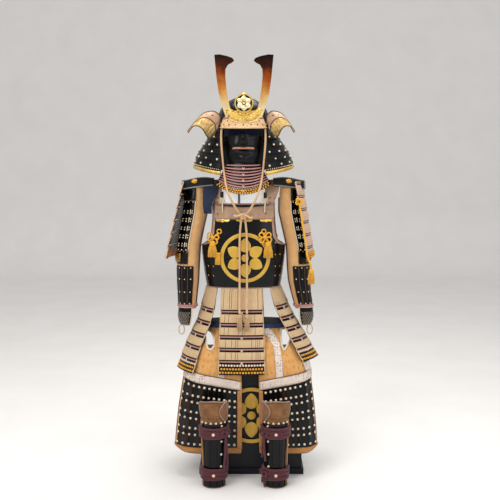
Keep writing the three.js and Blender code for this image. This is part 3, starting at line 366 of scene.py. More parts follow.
    def done(self, finish: "Finish", slot: str, stands_for: Sequence[str] = (), angle: float = 180.0,
             second: "Finish | None" = None,
             choose: Callable[[Vector], bool] | None = None) -> bpy.types.Object:
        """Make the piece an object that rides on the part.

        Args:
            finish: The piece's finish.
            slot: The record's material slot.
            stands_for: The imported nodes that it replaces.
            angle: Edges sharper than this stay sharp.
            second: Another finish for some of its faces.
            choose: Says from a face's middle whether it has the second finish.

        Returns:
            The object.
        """
        mesh = bpy.data.meshes.new(self.name)
        mesh.from_pydata([tuple(p) for p in self.points], [], self.faces)
        layer = mesh.uv_layers.new(name="UVMap")
        flat = [value for face in self.uvs for pair in face for value in pair]
        layer.data.foreach_set("uv", flat)
        mesh.shade_smooth()
        if angle < 180:
            mesh.set_sharp_from_angle(angle=math.radians(angle))
        mesh.materials.append(finish.material())
        if second and choose:
            mesh.materials.append(second.material())
            for face in mesh.polygons:
                face.material_index = int(choose(face.center))
        thing = bpy.data.objects.new(self.name, mesh)
        return settle(thing, slot, stands_for)


def settle(thing: bpy.types.Object, slot: str, stands_for: Sequence[str] = ()) -> bpy.types.Object:
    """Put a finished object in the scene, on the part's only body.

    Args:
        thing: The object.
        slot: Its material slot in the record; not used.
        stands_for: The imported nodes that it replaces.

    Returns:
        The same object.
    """
    if not thing.users_collection:
        bpy.context.scene.collection.objects.link(thing)
    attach(thing, "root")
    if stands_for:
        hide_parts(*stands_for)
    log.info("%s: %d faces", thing.name, len(thing.data.polygons))
    return thing


class Pattern(Enum):
    """What a finish draws on its surface."""

    LACQUER = "lacquer"
    BRAID = "braid"
    CLOTH = "cloth"
    BROCADE = "brocade"
    LEATHER = "leather"
    GILT = "gilt"
    BLADE = "blade"


class Shader:
    """A material's node tree in the making."""

    def __init__(self, name: str, on_object: bool) -> None:
        """Start a material.

        Args:
            name: The material's name.
            on_object: True to draw on object coordinates, False on the UV map.
        """
        self.material = bpy.data.materials.new(name)
        self.material.use_nodes = True
        self.tree = self.material.node_tree
        self.bsdf = self.tree.nodes["Principled BSDF"]
        self.place = self.tree.nodes.new("ShaderNodeTexCoord").outputs["Object" if on_object else "UV"]

    def node(self, kind: str, links: dict | None = None, values: dict | None = None,
             **settings: object) -> bpy.types.Node:
        """Add a node.

        Args:
            kind: The node's type.
            links: Output sockets to join to its inputs, by input.
            values: Plain values of its inputs.
            settings: The node's own options.

        Returns:
            The node.
        """
        made = self.tree.nodes.new(kind)
        for name, value in settings.items():
            setattr(made, name, value)
        for key, value in (values or {}).items():
            made.inputs[key].default_value = value
        for key, socket in (links or {}).items():
            self.tree.links.new(socket, made.inputs[key])
        return made

    def noise(self, scale: float, detail: float = 3.0, roughness: float = 0.55) -> bpy.types.NodeSocket:
        """Noise from 0 to 1 at a scale per metre.

        Args:
            scale: How many to a metre.
            detail: Levels of detail.
            roughness: How rough the noise is.

        Returns:
            The noise, from 0 to 1.
        """
        made = self.node("ShaderNodeTexNoise", {"Vector": self.place},
                         {"Scale": scale, "Detail": detail, "Roughness": roughness})
        return made.outputs["Fac"]

    def cells(self, scale: float, randomness: float = 1.0) -> bpy.types.NodeSocket:
        """Distance to the nearest cell's middle, at a scale per metre."""
        made = self.node("ShaderNodeTexVoronoi", {"Vector": self.place},
                         {"Scale": scale, "Randomness": randomness})
        return made.outputs["Distance"]

    def bands(self, scale: float, direction: str, distortion: float = 0.0) -> bpy.types.NodeSocket:
        """Soft stripes from 0 to 1 at a scale per metre, across X, Y, Z or the diagonal.

        Args:
            scale: How many to a metre.
            direction: X, Y, Z or DIAGONAL.
            distortion: How far the stripes waver.

        Returns:
            The stripes, from 0 to 1.
        """
        made = self.node("ShaderNodeTexWave", {"Vector": self.place},
                         {"Scale": scale, "Distortion": distortion, "Detail": 1.0},
                         bands_direction=direction, wave_profile="SIN")
        return made.outputs["Fac"]

    def sum(self, kind: str, a: bpy.types.NodeSocket,
            b: bpy.types.NodeSocket | float) -> bpy.types.NodeSocket:
        """A math node on one or two sockets.

        Args:
            kind: The math operation.
            a: The first value or colour.
            b: The second value.

        Returns:
            The operation's result.
        """
        made = self.node("ShaderNodeMath", {0: a}, operation=kind)
        if isinstance(b, float):
            made.inputs[1].default_value = b
        else:
            self.tree.links.new(b, made.inputs[1])
        return made.outputs[0]

    def ramp(self, share: bpy.types.NodeSocket,
             stops: Sequence[tuple[float, Sequence[float]]]) -> bpy.types.NodeSocket:
        """Colours along a share from 0 to 1.

        Args:
            share: Share from 0 to 1.
            stops: Places on the ramp with their colours.

        Returns:
            The colour.
        """
        made = self.node("ShaderNodeValToRGB", {"Fac": share})
        line = made.color_ramp
        while len(line.elements) < len(stops):
            line.elements.new(0.5)
        for element, (at, colour) in zip(line.elements, stops):
            element.position = at
            element.color = (*colour, 1)
        return made.outputs["Color"]

    def blend(self, share: bpy.types.NodeSocket, a: bpy.types.NodeSocket,
              colour: Sequence[float]) -> bpy.types.NodeSocket:
        """Cover a colour with another one by a share.

        Args:
            share: Share from 0 to 1.
            a: The first value or colour.
            colour: The colour that covers it.

        Returns:
            The mixed colour.
        """
        made = self.node("ShaderNodeMix", data_type="RGBA", clamp_factor=True)
        self.tree.links.new(share, made.inputs[0])
        self.tree.links.new(a, made.inputs[6])
        made.inputs[7].default_value = (*colour, 1)
        return made.outputs[2]

    def bump(self, height: bpy.types.NodeSocket, depth: float) -> None:
        """Raise the surface by a height from 0 to 1, times a depth in metres."""
        made = self.node("ShaderNodeBump", {"Height": height}, {"Strength": 1.0, "Distance": depth})
        self.tree.links.new(made.outputs["Normal"], self.bsdf.inputs["Normal"])

    def set(self, **values: object) -> None:
        """Set the shader's own plain values by socket name, with _ for a space."""
        for name, value in values.items():
            self.bsdf.inputs[name.replace("_", " ")].default_value = value


def linear(code: str) -> tuple[float, float, float]:
    """A colour for the shader from its usual six-digit code."""
    parts = [int(code[k:k + 2], 16) / 255 for k in (0, 2, 4)]
    return tuple(p / 12.92 if p <= 0.04045 else ((p + 0.055) / 1.055) ** 2.4 for p in parts)


@dataclass(frozen=True)
class Finish:
    """A finish: its colours, its gloss, the pattern drawn on it and any painted glow."""

    name: str
    colour: str
    shade: str
    pattern: Pattern
    roughness: float = 0.6
    metallic: float = 0.0
    coat: float = 0.0
    shine: float = 0.35
    sheen: float = 0.0
    motif: str | None = None
    motif_size: float = 0.02
    cover: float = 0.3
    bump: float = 0.0004
    painted_glow: float = 0.0
    on_object: bool = True

    def material(self) -> bpy.types.Material:
        """Make the material once and give the same one after that."""
        known = bpy.data.materials.get(f"fine_{self.name}")
        return known or getattr(self, f"_{self.pattern.value}")()

    def _start(self) -> Shader:
        """The shader with its plain values.

        Returns:
            The shader.
        """
        shader = Shader(f"fine_{self.name}", self.on_object)
        shader.set(Roughness=self.roughness, Metallic=self.metallic, Coat_Weight=self.coat,
                   Coat_Roughness=0.12,
                   Specular_IOR_Level=self.shine,
                   Sheen_Weight=self.sheen, Sheen_Roughness=0.4)
        # A glow is painted light: the surface gives off its own colour, though it is no lamp.
        if self.painted_glow:
            shader.set(Emission_Color=(*linear(self.colour), 1), Emission_Strength=self.painted_glow)
        shader.material.diffuse_color = (*linear(self.colour), 1)
        return shader

    def _paint(self, shader: Shader, share: bpy.types.NodeSocket,
               height: bpy.types.NodeSocket) -> bpy.types.Material:
        """Colour by a share between the two colours, with the motif over it, and raise by a height.

        Args:
            shader: The material's shader.
            share: Share from 0 to 1.
            height: Height from 0 to 1.

        Returns:
            The material.
        """
        colour = shader.ramp(share, ((0.3, linear(self.shade)), (0.7, linear(self.colour))))
        if self.motif:
            spots = shader.sum("LESS_THAN", shader.cells(1 / self.motif_size, 0.35), self.cover)
            petals = shader.sum("GREATER_THAN", shader.cells(3.1 / self.motif_size, 1.0), 0.22)
            colour = shader.blend(shader.sum("MULTIPLY", spots, petals), colour, linear(self.motif))
        shader.tree.links.new(colour, shader.bsdf.inputs["Base Color"])
        shader.bump(height, self.bump)
        return shader.material

    def _lacquer(self) -> bpy.types.Material:
        """Lacquer: deep gloss, with soft unevenness and rubbed spots.

        Returns:
            The material.
        """
        shader = self._start()
        share = shader.noise(18, 5, 0.7)
        gloss = shader.node("ShaderNodeMapRange", {"Value": shader.noise(60, 4)},
                            {"To Min": self.roughness * 0.7, "To Max": self.roughness * 1.7})
        shader.tree.links.new(gloss.outputs[0], shader.bsdf.inputs["Roughness"])
        return self._paint(shader, share, shader.noise(45, 2))

    def _braid(self) -> bpy.types.Material:
        """Silk braid: fine slanted plaits that run with the cord.

        Returns:
            The material.
        """
        shader = self._start()
        plait = shader.sum("MAXIMUM", shader.bands(70, "DIAGONAL", 0.6), shader.bands(95, "Y", 0.4))
        share = shader.sum("MULTIPLY", shader.sum("ADD", plait, shader.noise(35, 4)), 0.55)
        return self._paint(shader, share, plait)

    def _cloth(self) -> bpy.types.Material:
        """Woven cloth: warp and weft, faded in patches.

        Returns:
            The material.
        """
        shader = self._start()
        weave = shader.sum("MULTIPLY", shader.bands(110, "X", 0.3), shader.bands(110, "Y", 0.3))
        share = shader.sum("ADD", shader.sum("MULTIPLY", weave, 0.35),
                           shader.sum("MULTIPLY", shader.noise(26, 6, 0.65), 0.75))
        return self._paint(shader, share, weave)

    def _brocade(self) -> bpy.types.Material:
        """Brocade: a weave, with small flowers drawn where the finish has a motif."""
        return self._cloth()

    def _leather(self) -> bpy.types.Material:
        """Leather: a fine grain, worn in patches.

        Returns:
            The material.
        """
        shader = self._start()
        grain = shader.cells(420)
        share = shader.sum("ADD", shader.sum("MULTIPLY", grain, 0.3),
                           shader.sum("MULTIPLY", shader.noise(32, 6, 0.7), 0.8))
        return self._paint(shader, share, grain)

    def _gilt(self) -> bpy.types.Material:
        """Gilding: chased metal, darker in its hollows.

        Returns:
            The material.
        """
        shader = self._start()
        chased = shader.sum("MULTIPLY", shader.cells(1 / self.motif_size), 1.5)
        share = shader.sum("ADD", shader.sum("MULTIPLY", chased, 0.5),
                           shader.sum("MULTIPLY", shader.noise(50, 5, 0.7), 0.55))
        return self._paint(shader, share, chased)

    def _blade(self) -> bpy.types.Material:
        """Horn blades: gilding below that darkens through copper to brown at the tips.

        Returns:
            The material.
        """
        shader = self._start()
        height = shader.node("ShaderNodeSeparateXYZ", {"Vector": shader.place}).outputs["Z"]
        share = shader.node("ShaderNodeMapRange", {"Value": height},
                            {"From Min": 1.53, "From Max": 1.782}).outputs[0]
        worn = shader.sum("ADD", share,
                          shader.sum("MULTIPLY", shader.sum("SUBTRACT", shader.noise(16, 6, 0.75), 0.5),
                                     0.55))
        colour = shader.ramp(worn, (
            (0.0, linear("f8e6bc")), (0.24, linear("edc98a")), (0.42, linear("d58c3e")),
            (0.62, linear("a04c18")), (0.80, linear("4a2110")), (1.0, linear("1a0f0c")),
        ))
        shader.tree.links.new(colour, shader.bsdf.inputs["Base Color"])
        shader.bump(shader.noise(40, 4), self.bump)
        return shader.material


LACQUER = Finish("black_lacquer", "0a0b10", "040507", Pattern.LACQUER, 0.18, shine=0.22, bump=0.0008)
RUSSET = Finish("worn_lacquer", "34170c", "150a08", Pattern.LACQUER, 0.3, shine=0.25, bump=0.0008)
BOX_LACQUER = Finish("box_lacquer", "14161f", "0c0e14", Pattern.LACQUER, 0.32, shine=0.25, bump=0.0006)
STAND_WOOD = Finish("stand_wood", "1c1a1a", "100f0f", Pattern.LACQUER, 0.5, shine=0.25, bump=0.0006)
# The white cotton's glow is painted light that brightens it in the throat guard's shade.
FORM_WHITE = Finish("white_cotton", "fdfdfc", "f6f5f2", Pattern.CLOTH, 0.85, bump=0.0002, painted_glow=0.4)
# A mid grey for the thin tube down the white form's front.
GREY_TUBE = Finish("grey_tube", "8d8a86", "6f6c69", Pattern.LACQUER, 0.45)
GILT = Finish("gilt_metal", "e8bd5c", "8a5a1c", Pattern.GILT, 0.33, 0.85, bump=0.0012, motif_size=0.011)
TURN_GILT = Finish("turnback_gilt", "e8c784", "b98a45", Pattern.GILT, 0.36, 0.5, bump=0.0010,
                   motif_size=0.012)
MAIL_GREY = Finish("mail", "8f857a", "5f5850", Pattern.GILT, 0.45, 0.5, bump=0.0004, motif_size=0.006)
SMOOTH_GILT = Finish("smooth_gilt", "e2bd62", "c2943c", Pattern.GILT, 0.38, 0.7, bump=0.0003,
                     motif_size=0.03)
AGED_GILT = Finish("aged_gilt", "a87c38", "4c3415", Pattern.GILT, 0.42, 0.7, bump=0.0012, motif_size=0.009)
PALE_GILT = Finish("pale_gilt", "f0e2b4", "cfae62", Pattern.GILT, 0.35, 0.7, bump=0.0004, motif_size=0.02)
CREST_GOLD = Finish("crest_gold_lacquer", "d9b24c", "c0963a", Pattern.LACQUER, 0.34, 0.3)
HORN_BLADE = Finish("horn_blade", "b8703a", "4c2412", Pattern.BLADE, 0.28, 0.75, bump=0.0008)
VISOR_LEATHER = Finish("visor_leather", "dcb98c", "b88f60", Pattern.LEATHER, 0.5, coat=0.15, motif="9a6a4a",
                       motif_size=0.016, cover=0.22)
TURNBACK_LEATHER = Finish("turnback_leather", "d6b498", "ae8468", Pattern.LEATHER, 0.42, coat=0.25,
                          motif="a06a50",
                          motif_size=0.03, cover=0.16)
PRINTED_LEATHER = Finish("printed_leather", "b39378", "8a6d57", Pattern.LEATHER, 0.55, motif="7c5a48",
                         motif_size=0.022, cover=0.24)
BROWN_EDGE = Finish("brown_edge", "6b4432", "472a20", Pattern.LEATHER, 0.45)
PINK_PIPING = Finish("piping", "a08478", "74594e", Pattern.LEATHER, 0.6)
SALMON_LACE = Finish("salmon_lacing", "bc8680", "84544c", Pattern.BRAID, 0.6, sheen=0.2, on_object=False)
DARK_LINE = Finish("dark_line", "35161a", "170a0c", Pattern.BRAID, 0.7, on_object=False)
TAN_LACE = Finish("tan_lacing", "cfb38c", "a5845c", Pattern.BRAID, 0.7, sheen=0.2, on_object=False)
PINK_LACE = Finish("pale_lacing", "d2b39a", "9a7460", Pattern.BRAID, 0.7, sheen=0.2, on_object=False)
IVORY_LACE = Finish("ivory_knots", "e6d4ba", "b59c7e", Pattern.BRAID, 0.65)
ORANGE_LACE = Finish("orange_lacing", "c9772c", "8a3a16", Pattern.BRAID, 0.6, on_object=False)
GOLD_BEAD = Finish("gold_beads", "e0a02c", "a86a18", Pattern.BRAID, 0.45, bump=0.0002)
NAVY_CLOTH = Finish("navy_cloth", "22304c", "131c30", Pattern.CLOTH, 0.85, sheen=0.3, on_object=False)
GUARD_LINING = Finish("guard_lining", "141a28", "0b0e17", Pattern.CLOTH, 0.95, shine=0.05, on_object=False)
DARK_CLOTH = Finish("dark_cloth", "181b23", "0c0e14", Pattern.CLOTH, 0.85, sheen=0.2, on_object=False)
SLEEVE_CLOTH = Finish("sleeve_brocade", "deb17e", "c59662", Pattern.BROCADE, 0.85, sheen=0.25,
                      motif="d0a26e",
                      motif_size=0.022, cover=0.3, on_object=False)
THIGH_CLOTH = Finish("thigh_brocade", "e2ae70", "cb9354", Pattern.BROCADE, 0.85, sheen=0.25, motif="c68e4c",
                     motif_size=0.026, cover=0.3, on_object=False)
EDGE_CLOTH = Finish("edge_band", "cb935a", "a06c3a", Pattern.CLOTH, 0.8, on_object=False)
WHITE_BAND = Finish("white_band", "e4d6ca", "c3b1a4", Pattern.LEATHER, 0.7, motif="8d7f80", motif_size=0.011,
                    cover=0.3, bump=0.0002)
KNEE_CLOTH = Finish("knee_cloth", "a4764c", "5f3d22", Pattern.CLOTH, 0.9, sheen=0.2, on_object=False)
MAROON_BRAID = Finish("maroon_braid", "5c2a34", "2c1218", Pattern.BRAID, 0.75, sheen=0.2, on_object=False)
BLUE_BELT = Finish("blue_belt", "1c4580", "0c2148", Pattern.CLOTH, 0.8, sheen=0.3, on_object=False)
TAN_CORD = Finish("tan_cord", "d6b088", "a67e54", Pattern.BRAID, 0.75, sheen=0.2, on_object=False)
CREAM_CORD = Finish("cream_cord", "e3d3b4", "a89470", Pattern.BRAID, 0.7, on_object=False)
GOLD_CORD = Finish("gold_cord", "eab02a", "bc7a0e", Pattern.BRAID, 0.6, sheen=0.3, on_object=False)
HORN_BLACK = Finish("black_horn", "121011", "080708", Pattern.LACQUER, 0.25, shine=0.3)
LIP_RED = Finish("mask_lower_lip", "7c3524", "4c1c14", Pattern.LEATHER, 0.45)
GREY_PIPING = Finish("grey_piping", "8a8784", "65625f", Pattern.LEATHER, 0.6)
MASK_LIPS = Finish("mask_lip", "cf9c78", "a0664a", Pattern.LEATHER, 0.5, coat=0.2)


def dress(node: str, finish: Finish, angle: float = 42.0) -> bpy.types.Object:
    """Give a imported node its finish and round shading.

    Args:
        node: The node's name.
        finish: Its finish.
        angle: Edges sharper than this stay sharp.

    Returns:
        The node's object.
    """
    thing = frame["nodes"][node]
    thing.data.materials.clear()
    thing.data.materials.append(finish.material())
    for face in thing.data.polygons:
        face.use_smooth = True
    weld = thing.modifiers.new("weld", "WELD")
    weld.merge_threshold = 1e-5
    split = thing.modifiers.new("edges", "EDGE_SPLIT")
    split.split_angle = math.radians(angle)
    log.info("%s: %s", node, finish.name)
    return thing


class Shape(Enum):
    """The small pieces that repeat on the armour."""

    DOME = "dome"
    KNOT = "knot"
    CROSS = "cross"
    BEAD = "bead"
    LEAF = "leaf"


def shape_mesh(shape: Shape) -> bpy.types.Mesh:
    """A small piece one unit wide that lies on the plane of its X and Y and stands along Z.

    Args:
        shape: Which piece.

    Returns:
        Its mesh.
    """
    made = Cloth(f"{shape.value}_shape")
    if shape is Shape.CROSS:
        for turn in (45, -45):
            ahead = Vector((math.cos(math.radians(turn)), math.sin(math.radians(turn)), 0))
            line = [ahead * t + UP * (0.16 - 0.5 * t * t) for t in (-0.62, -0.3, 0.3, 0.62)]
            made.tube(line, 0.15, sides=5, flat=0.7, facing=UP)
    elif shape is Shape.LEAF:
        made.grid(lambda u, v: Vector(((u - 0.5) * math.sin(math.pi * v) * 0.9, v - 0.5, 0)), 4, 6,
                  relief=lambda u, v: 0.16 * math.sin(math.pi * u) * math.sin(math.pi * v) + 0.02)
    else:
        high, wide, bottom = {
            Shape.DOME: (0.3, 0.5, 0.0), Shape.KNOT: (0.42, 0.5, 0.1), Shape.BEAD: (0.5, 0.5, 0.0),
        }[shape]
        made.grid(lambda u, v: Vector((
            wide * math.cos(2 * math.pi * u) * math.cos(math.pi / 2 * v) ** 0.8,
            wide * math.sin(2 * math.pi * u) * math.cos(math.pi / 2 * v) ** 0.8,
            high * math.sin(math.pi / 2 * v) - bottom * (1 - v),
        )), 7, 3, closed=True)
    mesh = bpy.data.meshes.new(made.name)
    mesh.from_pydata([tuple(p) for p in made.points], [], made.faces)
    mesh.shade_smooth()
    return mesh


class Repeat:
    """A Geometry Nodes tree that sets a small piece on each point of a mesh."""

    def __init__(self) -> None:
        """Build the tree once, with named inputs."""
        self.tree = bpy.data.node_groups.new("repeat_piece", "GeometryNodeTree")
        face = self.tree.interface
        self.ids = {}
        for name, kind in (("Geometry", "NodeSocketGeometry"), ("Piece", "NodeSocketObject"),
                           ("Width", "NodeSocketFloat"), ("Spread", "NodeSocketFloat"),
                           ("Seed", "NodeSocketInt"), ("Finish", "NodeSocketMaterial")):
            self.ids[name] = face.new_socket(name, in_out="INPUT", socket_type=kind).identifier
        face.new_socket("Geometry", in_out="OUTPUT", socket_type="NodeSocketGeometry")
        add, link = self.tree.nodes.new, self.tree.links.new
        source, result = add("NodeGroupInput"), add("NodeGroupOutput")
        info = add("GeometryNodeObjectInfo")
        info.inputs["As Instance"].default_value = True
        turn = add("FunctionNodeAxesToRotation")
        turn.primary_axis, turn.secondary_axis = "Z", "X"
        for name, socket in (("facing", "Primary Axis"), ("along", "Secondary Axis")):
            read = add("GeometryNodeInputNamedAttribute")
            read.data_type = "FLOAT_VECTOR"
            read.inputs["Name"].default_value = name
            link(read.outputs["Attribute"], turn.inputs[socket])
        chance = add("FunctionNodeRandomValue")
        chance.data_type = "FLOAT"
        least, most = add("ShaderNodeMath"), add("ShaderNodeMath")
        least.operation, most.operation = "SUBTRACT", "ADD"
        for node, socket in ((least, 2), (most, 3)):
            node.inputs[0].default_value = 1.0
            link(source.outputs["Spread"], node.inputs[1])
            link(node.outputs[0], chance.inputs[socket])
        link(source.outputs["Seed"], chance.inputs["Seed"])
        wide = add("ShaderNodeMath")
        wide.operation = "MULTIPLY"
        link(chance.outputs[1], wide.inputs[0])
        link(source.outputs["Width"], wide.inputs[1])
        place = add("GeometryNodeInstanceOnPoints")
        link(source.outputs["Geometry"], place.inputs["Points"])
        link(source.outputs["Piece"], info.inputs["Object"])
        link(info.outputs["Geometry"], place.inputs["Instance"])
        link(turn.outputs[0], place.inputs["Rotation"])
        link(wide.outputs[0], place.inputs["Scale"])
        real, paint = add("GeometryNodeRealizeInstances"), add("GeometryNodeSetMaterial")
        link(place.outputs[0], real.inputs[0])
        link(real.outputs[0], paint.inputs["Geometry"])
        link(source.outputs["Finish"], paint.inputs["Material"])
        link(paint.outputs[0], result.inputs[0])

    def place(self, name: str, shape: Shape, places: Sequence[Placement], width: float, finish: Finish,
              slot: str,
              spread: float = 0.06) -> bpy.types.Object:
        """Set a small piece on each place and make the result one plain mesh.

        Args:
            name: The new object's name.
            shape: The small piece.
            places: Position, outward normal and direction of each.
            width: Width of the small piece.
            finish: Its finish.
            slot: The record's material slot.
            spread: Share by which widths differ.

        Returns:
            The object.
        """
        mesh = bpy.data.meshes.new(f"{name}_points")
        mesh.from_pydata([tuple(p) for p, _, _ in places], [], [])
        for label, column in (("facing", 1), ("along", 2)):
            layer = mesh.attributes.new(label, "FLOAT_VECTOR", "POINT")
            layer.data.foreach_set("vector", [c for row in places for c in row[column]])
        points = bpy.data.objects.new(name, mesh)
        pattern = bpy.data.objects.new(f"{name}_shape", shape_mesh(shape))
        for thing in (points, pattern):
            bpy.context.scene.collection.objects.link(thing)
        change = points.modifiers.new("repeat", "NODES")
        change.node_group = self.tree
        for label, value in (("Piece", pattern), ("Width", width), ("Spread", spread),
                             ("Seed", 7), ("Finish", finish.material())):
            change[self.ids[label]] = value
        shown = bpy.context.evaluated_depsgraph_get()
        plain = bpy.data.meshes.new_from_object(points.evaluated_get(shown))
        points.modifiers.clear()
        points.data = plain
        bpy.data.objects.remove(pattern)
        return settle(points, slot)


REPEAT = Repeat()


# The part's own tables: the surfaces that the lacing, knots and cloth follow

NECK_ROWS = table(
    "z half front back open",
    (1.316, 0.214, 0.156, 0.166, 0.095), (1.338, 0.214, 0.152, 0.162, 0.095),
    (1.360, 0.207, 0.147, 0.157, 0.096), (1.385, 0.195, 0.140, 0.150, 0.097),
    (1.410, 0.178, 0.133, 0.143, 0.098), (1.440, 0.158, 0.128, 0.138, 0.100),
    (1.503, 0.115, 0.131, 0.133, 0.105),
)
NECK_EDGES = (1.316, 1.338, 1.360, 1.385, 1.410, 1.440, 1.503)
NECK_Y = 0.010
NECK_SAG = 0.028


def neck_point(u: float, z: float) -> Vector:
    """The neck guard's surface at a share of the way round and a height.

    Args:
        u: Share across, from 0 to 1.
        z: Height in metres.

    Returns:
        The point.
    """
    row = between(NECK_ROWS, "z", z)
    start = math.degrees(math.acos(row["open"] / row["half"]))
    angle = mix(-start, 180 + start, u)
    point = section({**row, "y": NECK_Y}, angle)
    s = math.sin(math.radians(angle))
    sag = NECK_SAG * (1.440 - min(z, 1.440)) / 0.124
    point.z -= sag * s * s * (1.3 if s < 0 else 0.4)
    return point


THROAT_ROWS = table(
    "z half front side rise",
    (1.207, 0.117, -0.156, -0.084, 0.041), (1.256, 0.098, -0.147, -0.084, 0.024),
    (1.304, 0.080, -0.136, -0.088, 0.008), (1.336, 0.068, -0.1274, -0.090, 0.0),
)
THROAT_EDGES = (1.207, 1.232, 1.256, 1.280, 1.306, 1.336)


def throat_point(u: float, z: float) -> Vector:
    """The throat guard's surface at a share across and a height.

    Args:
        u: Share across, from 0 to 1.
        z: Height in metres.

    Returns:
        The point.
    """
    row, share = between(THROAT_ROWS, "z", z), 2 * u - 1
    bend = (1 - math.sqrt(1 - 0.96 * share * share)) / 0.8
    return Vector((row["half"] * share, mix(row["front"], row["side"], bend),
                   z + row["rise"] * share * share))


CUIRASS_SQUARE = 2.4
CUIRASS_FRONT = table(
    "z half front back reach",
    (0.807, 0.160, 0.105, 0.100, 0.160), (0.860, 0.169, 0.118, 0.108, 0.169),
    (0.907, 0.175, 0.127, 0.112, 0.175), (0.950, 0.180, 0.130, 0.115, 0.180),
    (0.985, 0.181, 0.130, 0.116, 0.181), (1.000, 0.180, 0.129, 0.117, 0.152),
    (1.030, 0.178, 0.128, 0.118, 0.134), (1.090, 0.172, 0.123, 0.119, 0.126),
    (1.165, 0.165, 0.110, 0.115, 0.130),
)
CUIRASS_BACK = CUIRASS_FRONT[:6] + table(
    "z half front back reach",
    (1.030, 0.178, 0.128, 0.118, 0.142), (1.090, 0.172, 0.123, 0.119, 0.136),
    (1.165, 0.165, 0.110, 0.115, 0.134), (1.215, 0.160, 0.104, 0.106, 0.124),
)


def cuirass_point(x: float, z: float, out: float = 0.0) -> Vector:
    """The front of the cuirass at a place seen from the front.

    Args:
        x: Place across in metres.
        z: Height in metres.
        out: How far out from the surface, in metres.

    Returns:
        The point.
    """
    row = between(CUIRASS_FRONT, "z", z)
    depth = (1 - min(1, abs(x) / row["half"]) ** CUIRASS_SQUARE) ** (1 / CUIRASS_SQUARE)
    return Vector((x, -row["front"] * depth - out, z))


def cuirass_shell(rows: list[Row], sign: int, u: float, v: float) -> Vector:
    """A plate of the cuirass at a share round and a share up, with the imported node's edges.

    Args:
        rows: The table of the surface's sections.
        sign: 1 for the front plate and -1 for the back plate.
        u: Share across, from 0 to 1.
        v: Share along the other way, from 0 to 1.

    Returns:
        The point.
    """
    row = between(rows, "z", mix(rows[0]["z"], rows[-1]["z"], v))
    edge = math.acos(min(1, (row["reach"] / row["half"]) ** (CUIRASS_SQUARE / 2)))
    edge = max(math.radians(0.25), edge)
    angle = sign * math.degrees(mix(-math.pi + edge, -edge, u))
    return section({**row, "square": CUIRASS_SQUARE}, angle)


@dataclass
class Panel:
    """A laced panel that hangs: its rows, the way it looks and the lower edges of its lames."""

    name: str
    rows: list[Row]
    facing: float
    edges: tuple[float, ...]
    bow: float = 0.016

    def point(self, u: float, z: float) -> Vector:
        """The panel's surface at a share across and a height.

        Args:
            u: Share across, from 0 to 1.
            z: Height in metres.

        Returns:
            The point.
        """
        row, share = between(self.rows, "z", z), 2 * u - 1
        out = Vector((math.cos(math.radians(self.facing)), math.sin(math.radians(self.facing)), 0))
        along = UP.cross(out)
        middle = Vector((row["x"], row["y"], z))
        return middle + along * (row["half"] * share) - out * (self.bow * (row["half"] / 0.096) ** 2 * share
                                                               * share)

    def width(self, z: float) -> float:
        """The panel's width at a height."""
        return 2 * between(self.rows, "z", z)["half"]


EDGES = (0.452, 0.513, 0.563, 0.614, 0.664, 0.717, 0.8064)
LIFTED_EDGES = (0.505, 0.556, 0.599, 0.643, 0.685, 0.730, 0.8064)
PANELS = [
    Panel("skirt_front", table(
        "z x y half", (0.452, -0.007, -0.206, 0.099), (0.563, -0.007, -0.180, 0.096),
        (0.664, -0.007, -0.154, 0.092), (0.717, -0.007, -0.136, 0.089), (0.8064, -0.007, -0.104, 0.086),
    ), -90, EDGES, 0.007),
    Panel("skirt_front_left", table(
        "z x y half", (0.452, -0.258, -0.120, 0.076), (0.563, -0.221, -0.100, 0.068),
        (0.664, -0.174, -0.076, 0.060), (0.717, -0.155, -0.063, 0.054), (0.8064, -0.141, -0.0544, 0.048),
    ), -150, EDGES),
    Panel("skirt_front_right", table(
        "z x y half", (0.505, 0.294, -0.130, 0.074), (0.599, 0.240, -0.104, 0.068),
        (0.685, 0.190, -0.080, 0.060), (0.730, 0.164, -0.066, 0.054), (0.8064, 0.141, -0.0544, 0.048),
    ), -30, LIFTED_EDGES),
    Panel("skirt_back_left", table(
        "z x y half", (0.452, -0.246, 0.144, 0.074), (0.503, -0.234, 0.136, 0.070),
        (0.563, -0.214, 0.118, 0.068), (0.664, -0.174, 0.084, 0.060), (0.8064, -0.140, 0.053, 0.046),
    ), 150, EDGES),
    Panel("skirt_back_right", table(
        "z x y half", (0.505, 0.270, 0.146, 0.074), (0.599, 0.228, 0.120, 0.068),
        (0.685, 0.186, 0.090, 0.060), (0.8064, 0.140, 0.053, 0.046),
    ), 30, LIFTED_EDGES),
    Panel("skirt_back", table(
        "z x y half", (0.452, 0.0, 0.224, 0.096), (0.513, 0.0, 0.206, 0.094), (0.563, 0.0, 0.186, 0.093),
        (0.664, 0.0, 0.146, 0.090), (0.8064, 0.0, 0.099, 0.082),
    ), 90, EDGES),
]
GUARD_EDGES = (0.933, 0.985, 1.039, 1.093, 1.147, 1.201, 1.2583)
GUARD_ROWS = {
    "left": table("z fore rear", (0.933, -0.326, -0.268), (0.985, -0.319, -0.262), (1.2583, -0.253, -0.211)),
    "right": table("z fore rear", (0.933, 0.270, 0.300), (0.985, 0.264, 0.294), (1.2583, 0.219, 0.247)),
}
GUARD_BOW, GUARD_FORE_Y, GUARD_REAR_Y = 0.020, -0.112, 0.104


def guard_point(name: str, u: float, z: float) -> Vector:
    """A shoulder guard's surface at a share from front to back and a height.

    Args:
        name: "left" or "right".
        u: Share across, from 0 to 1.
        z: Height in metres.

    Returns:
        The point.
    """
    row = between(GUARD_ROWS[name], "z", z)
    bow = SIDES[name] * GUARD_BOW * 4 * u * (1 - u)
    return Vector((mix(row["fore"], row["rear"], u) + bow, mix(GUARD_FORE_Y, GUARD_REAR_Y, u), z))


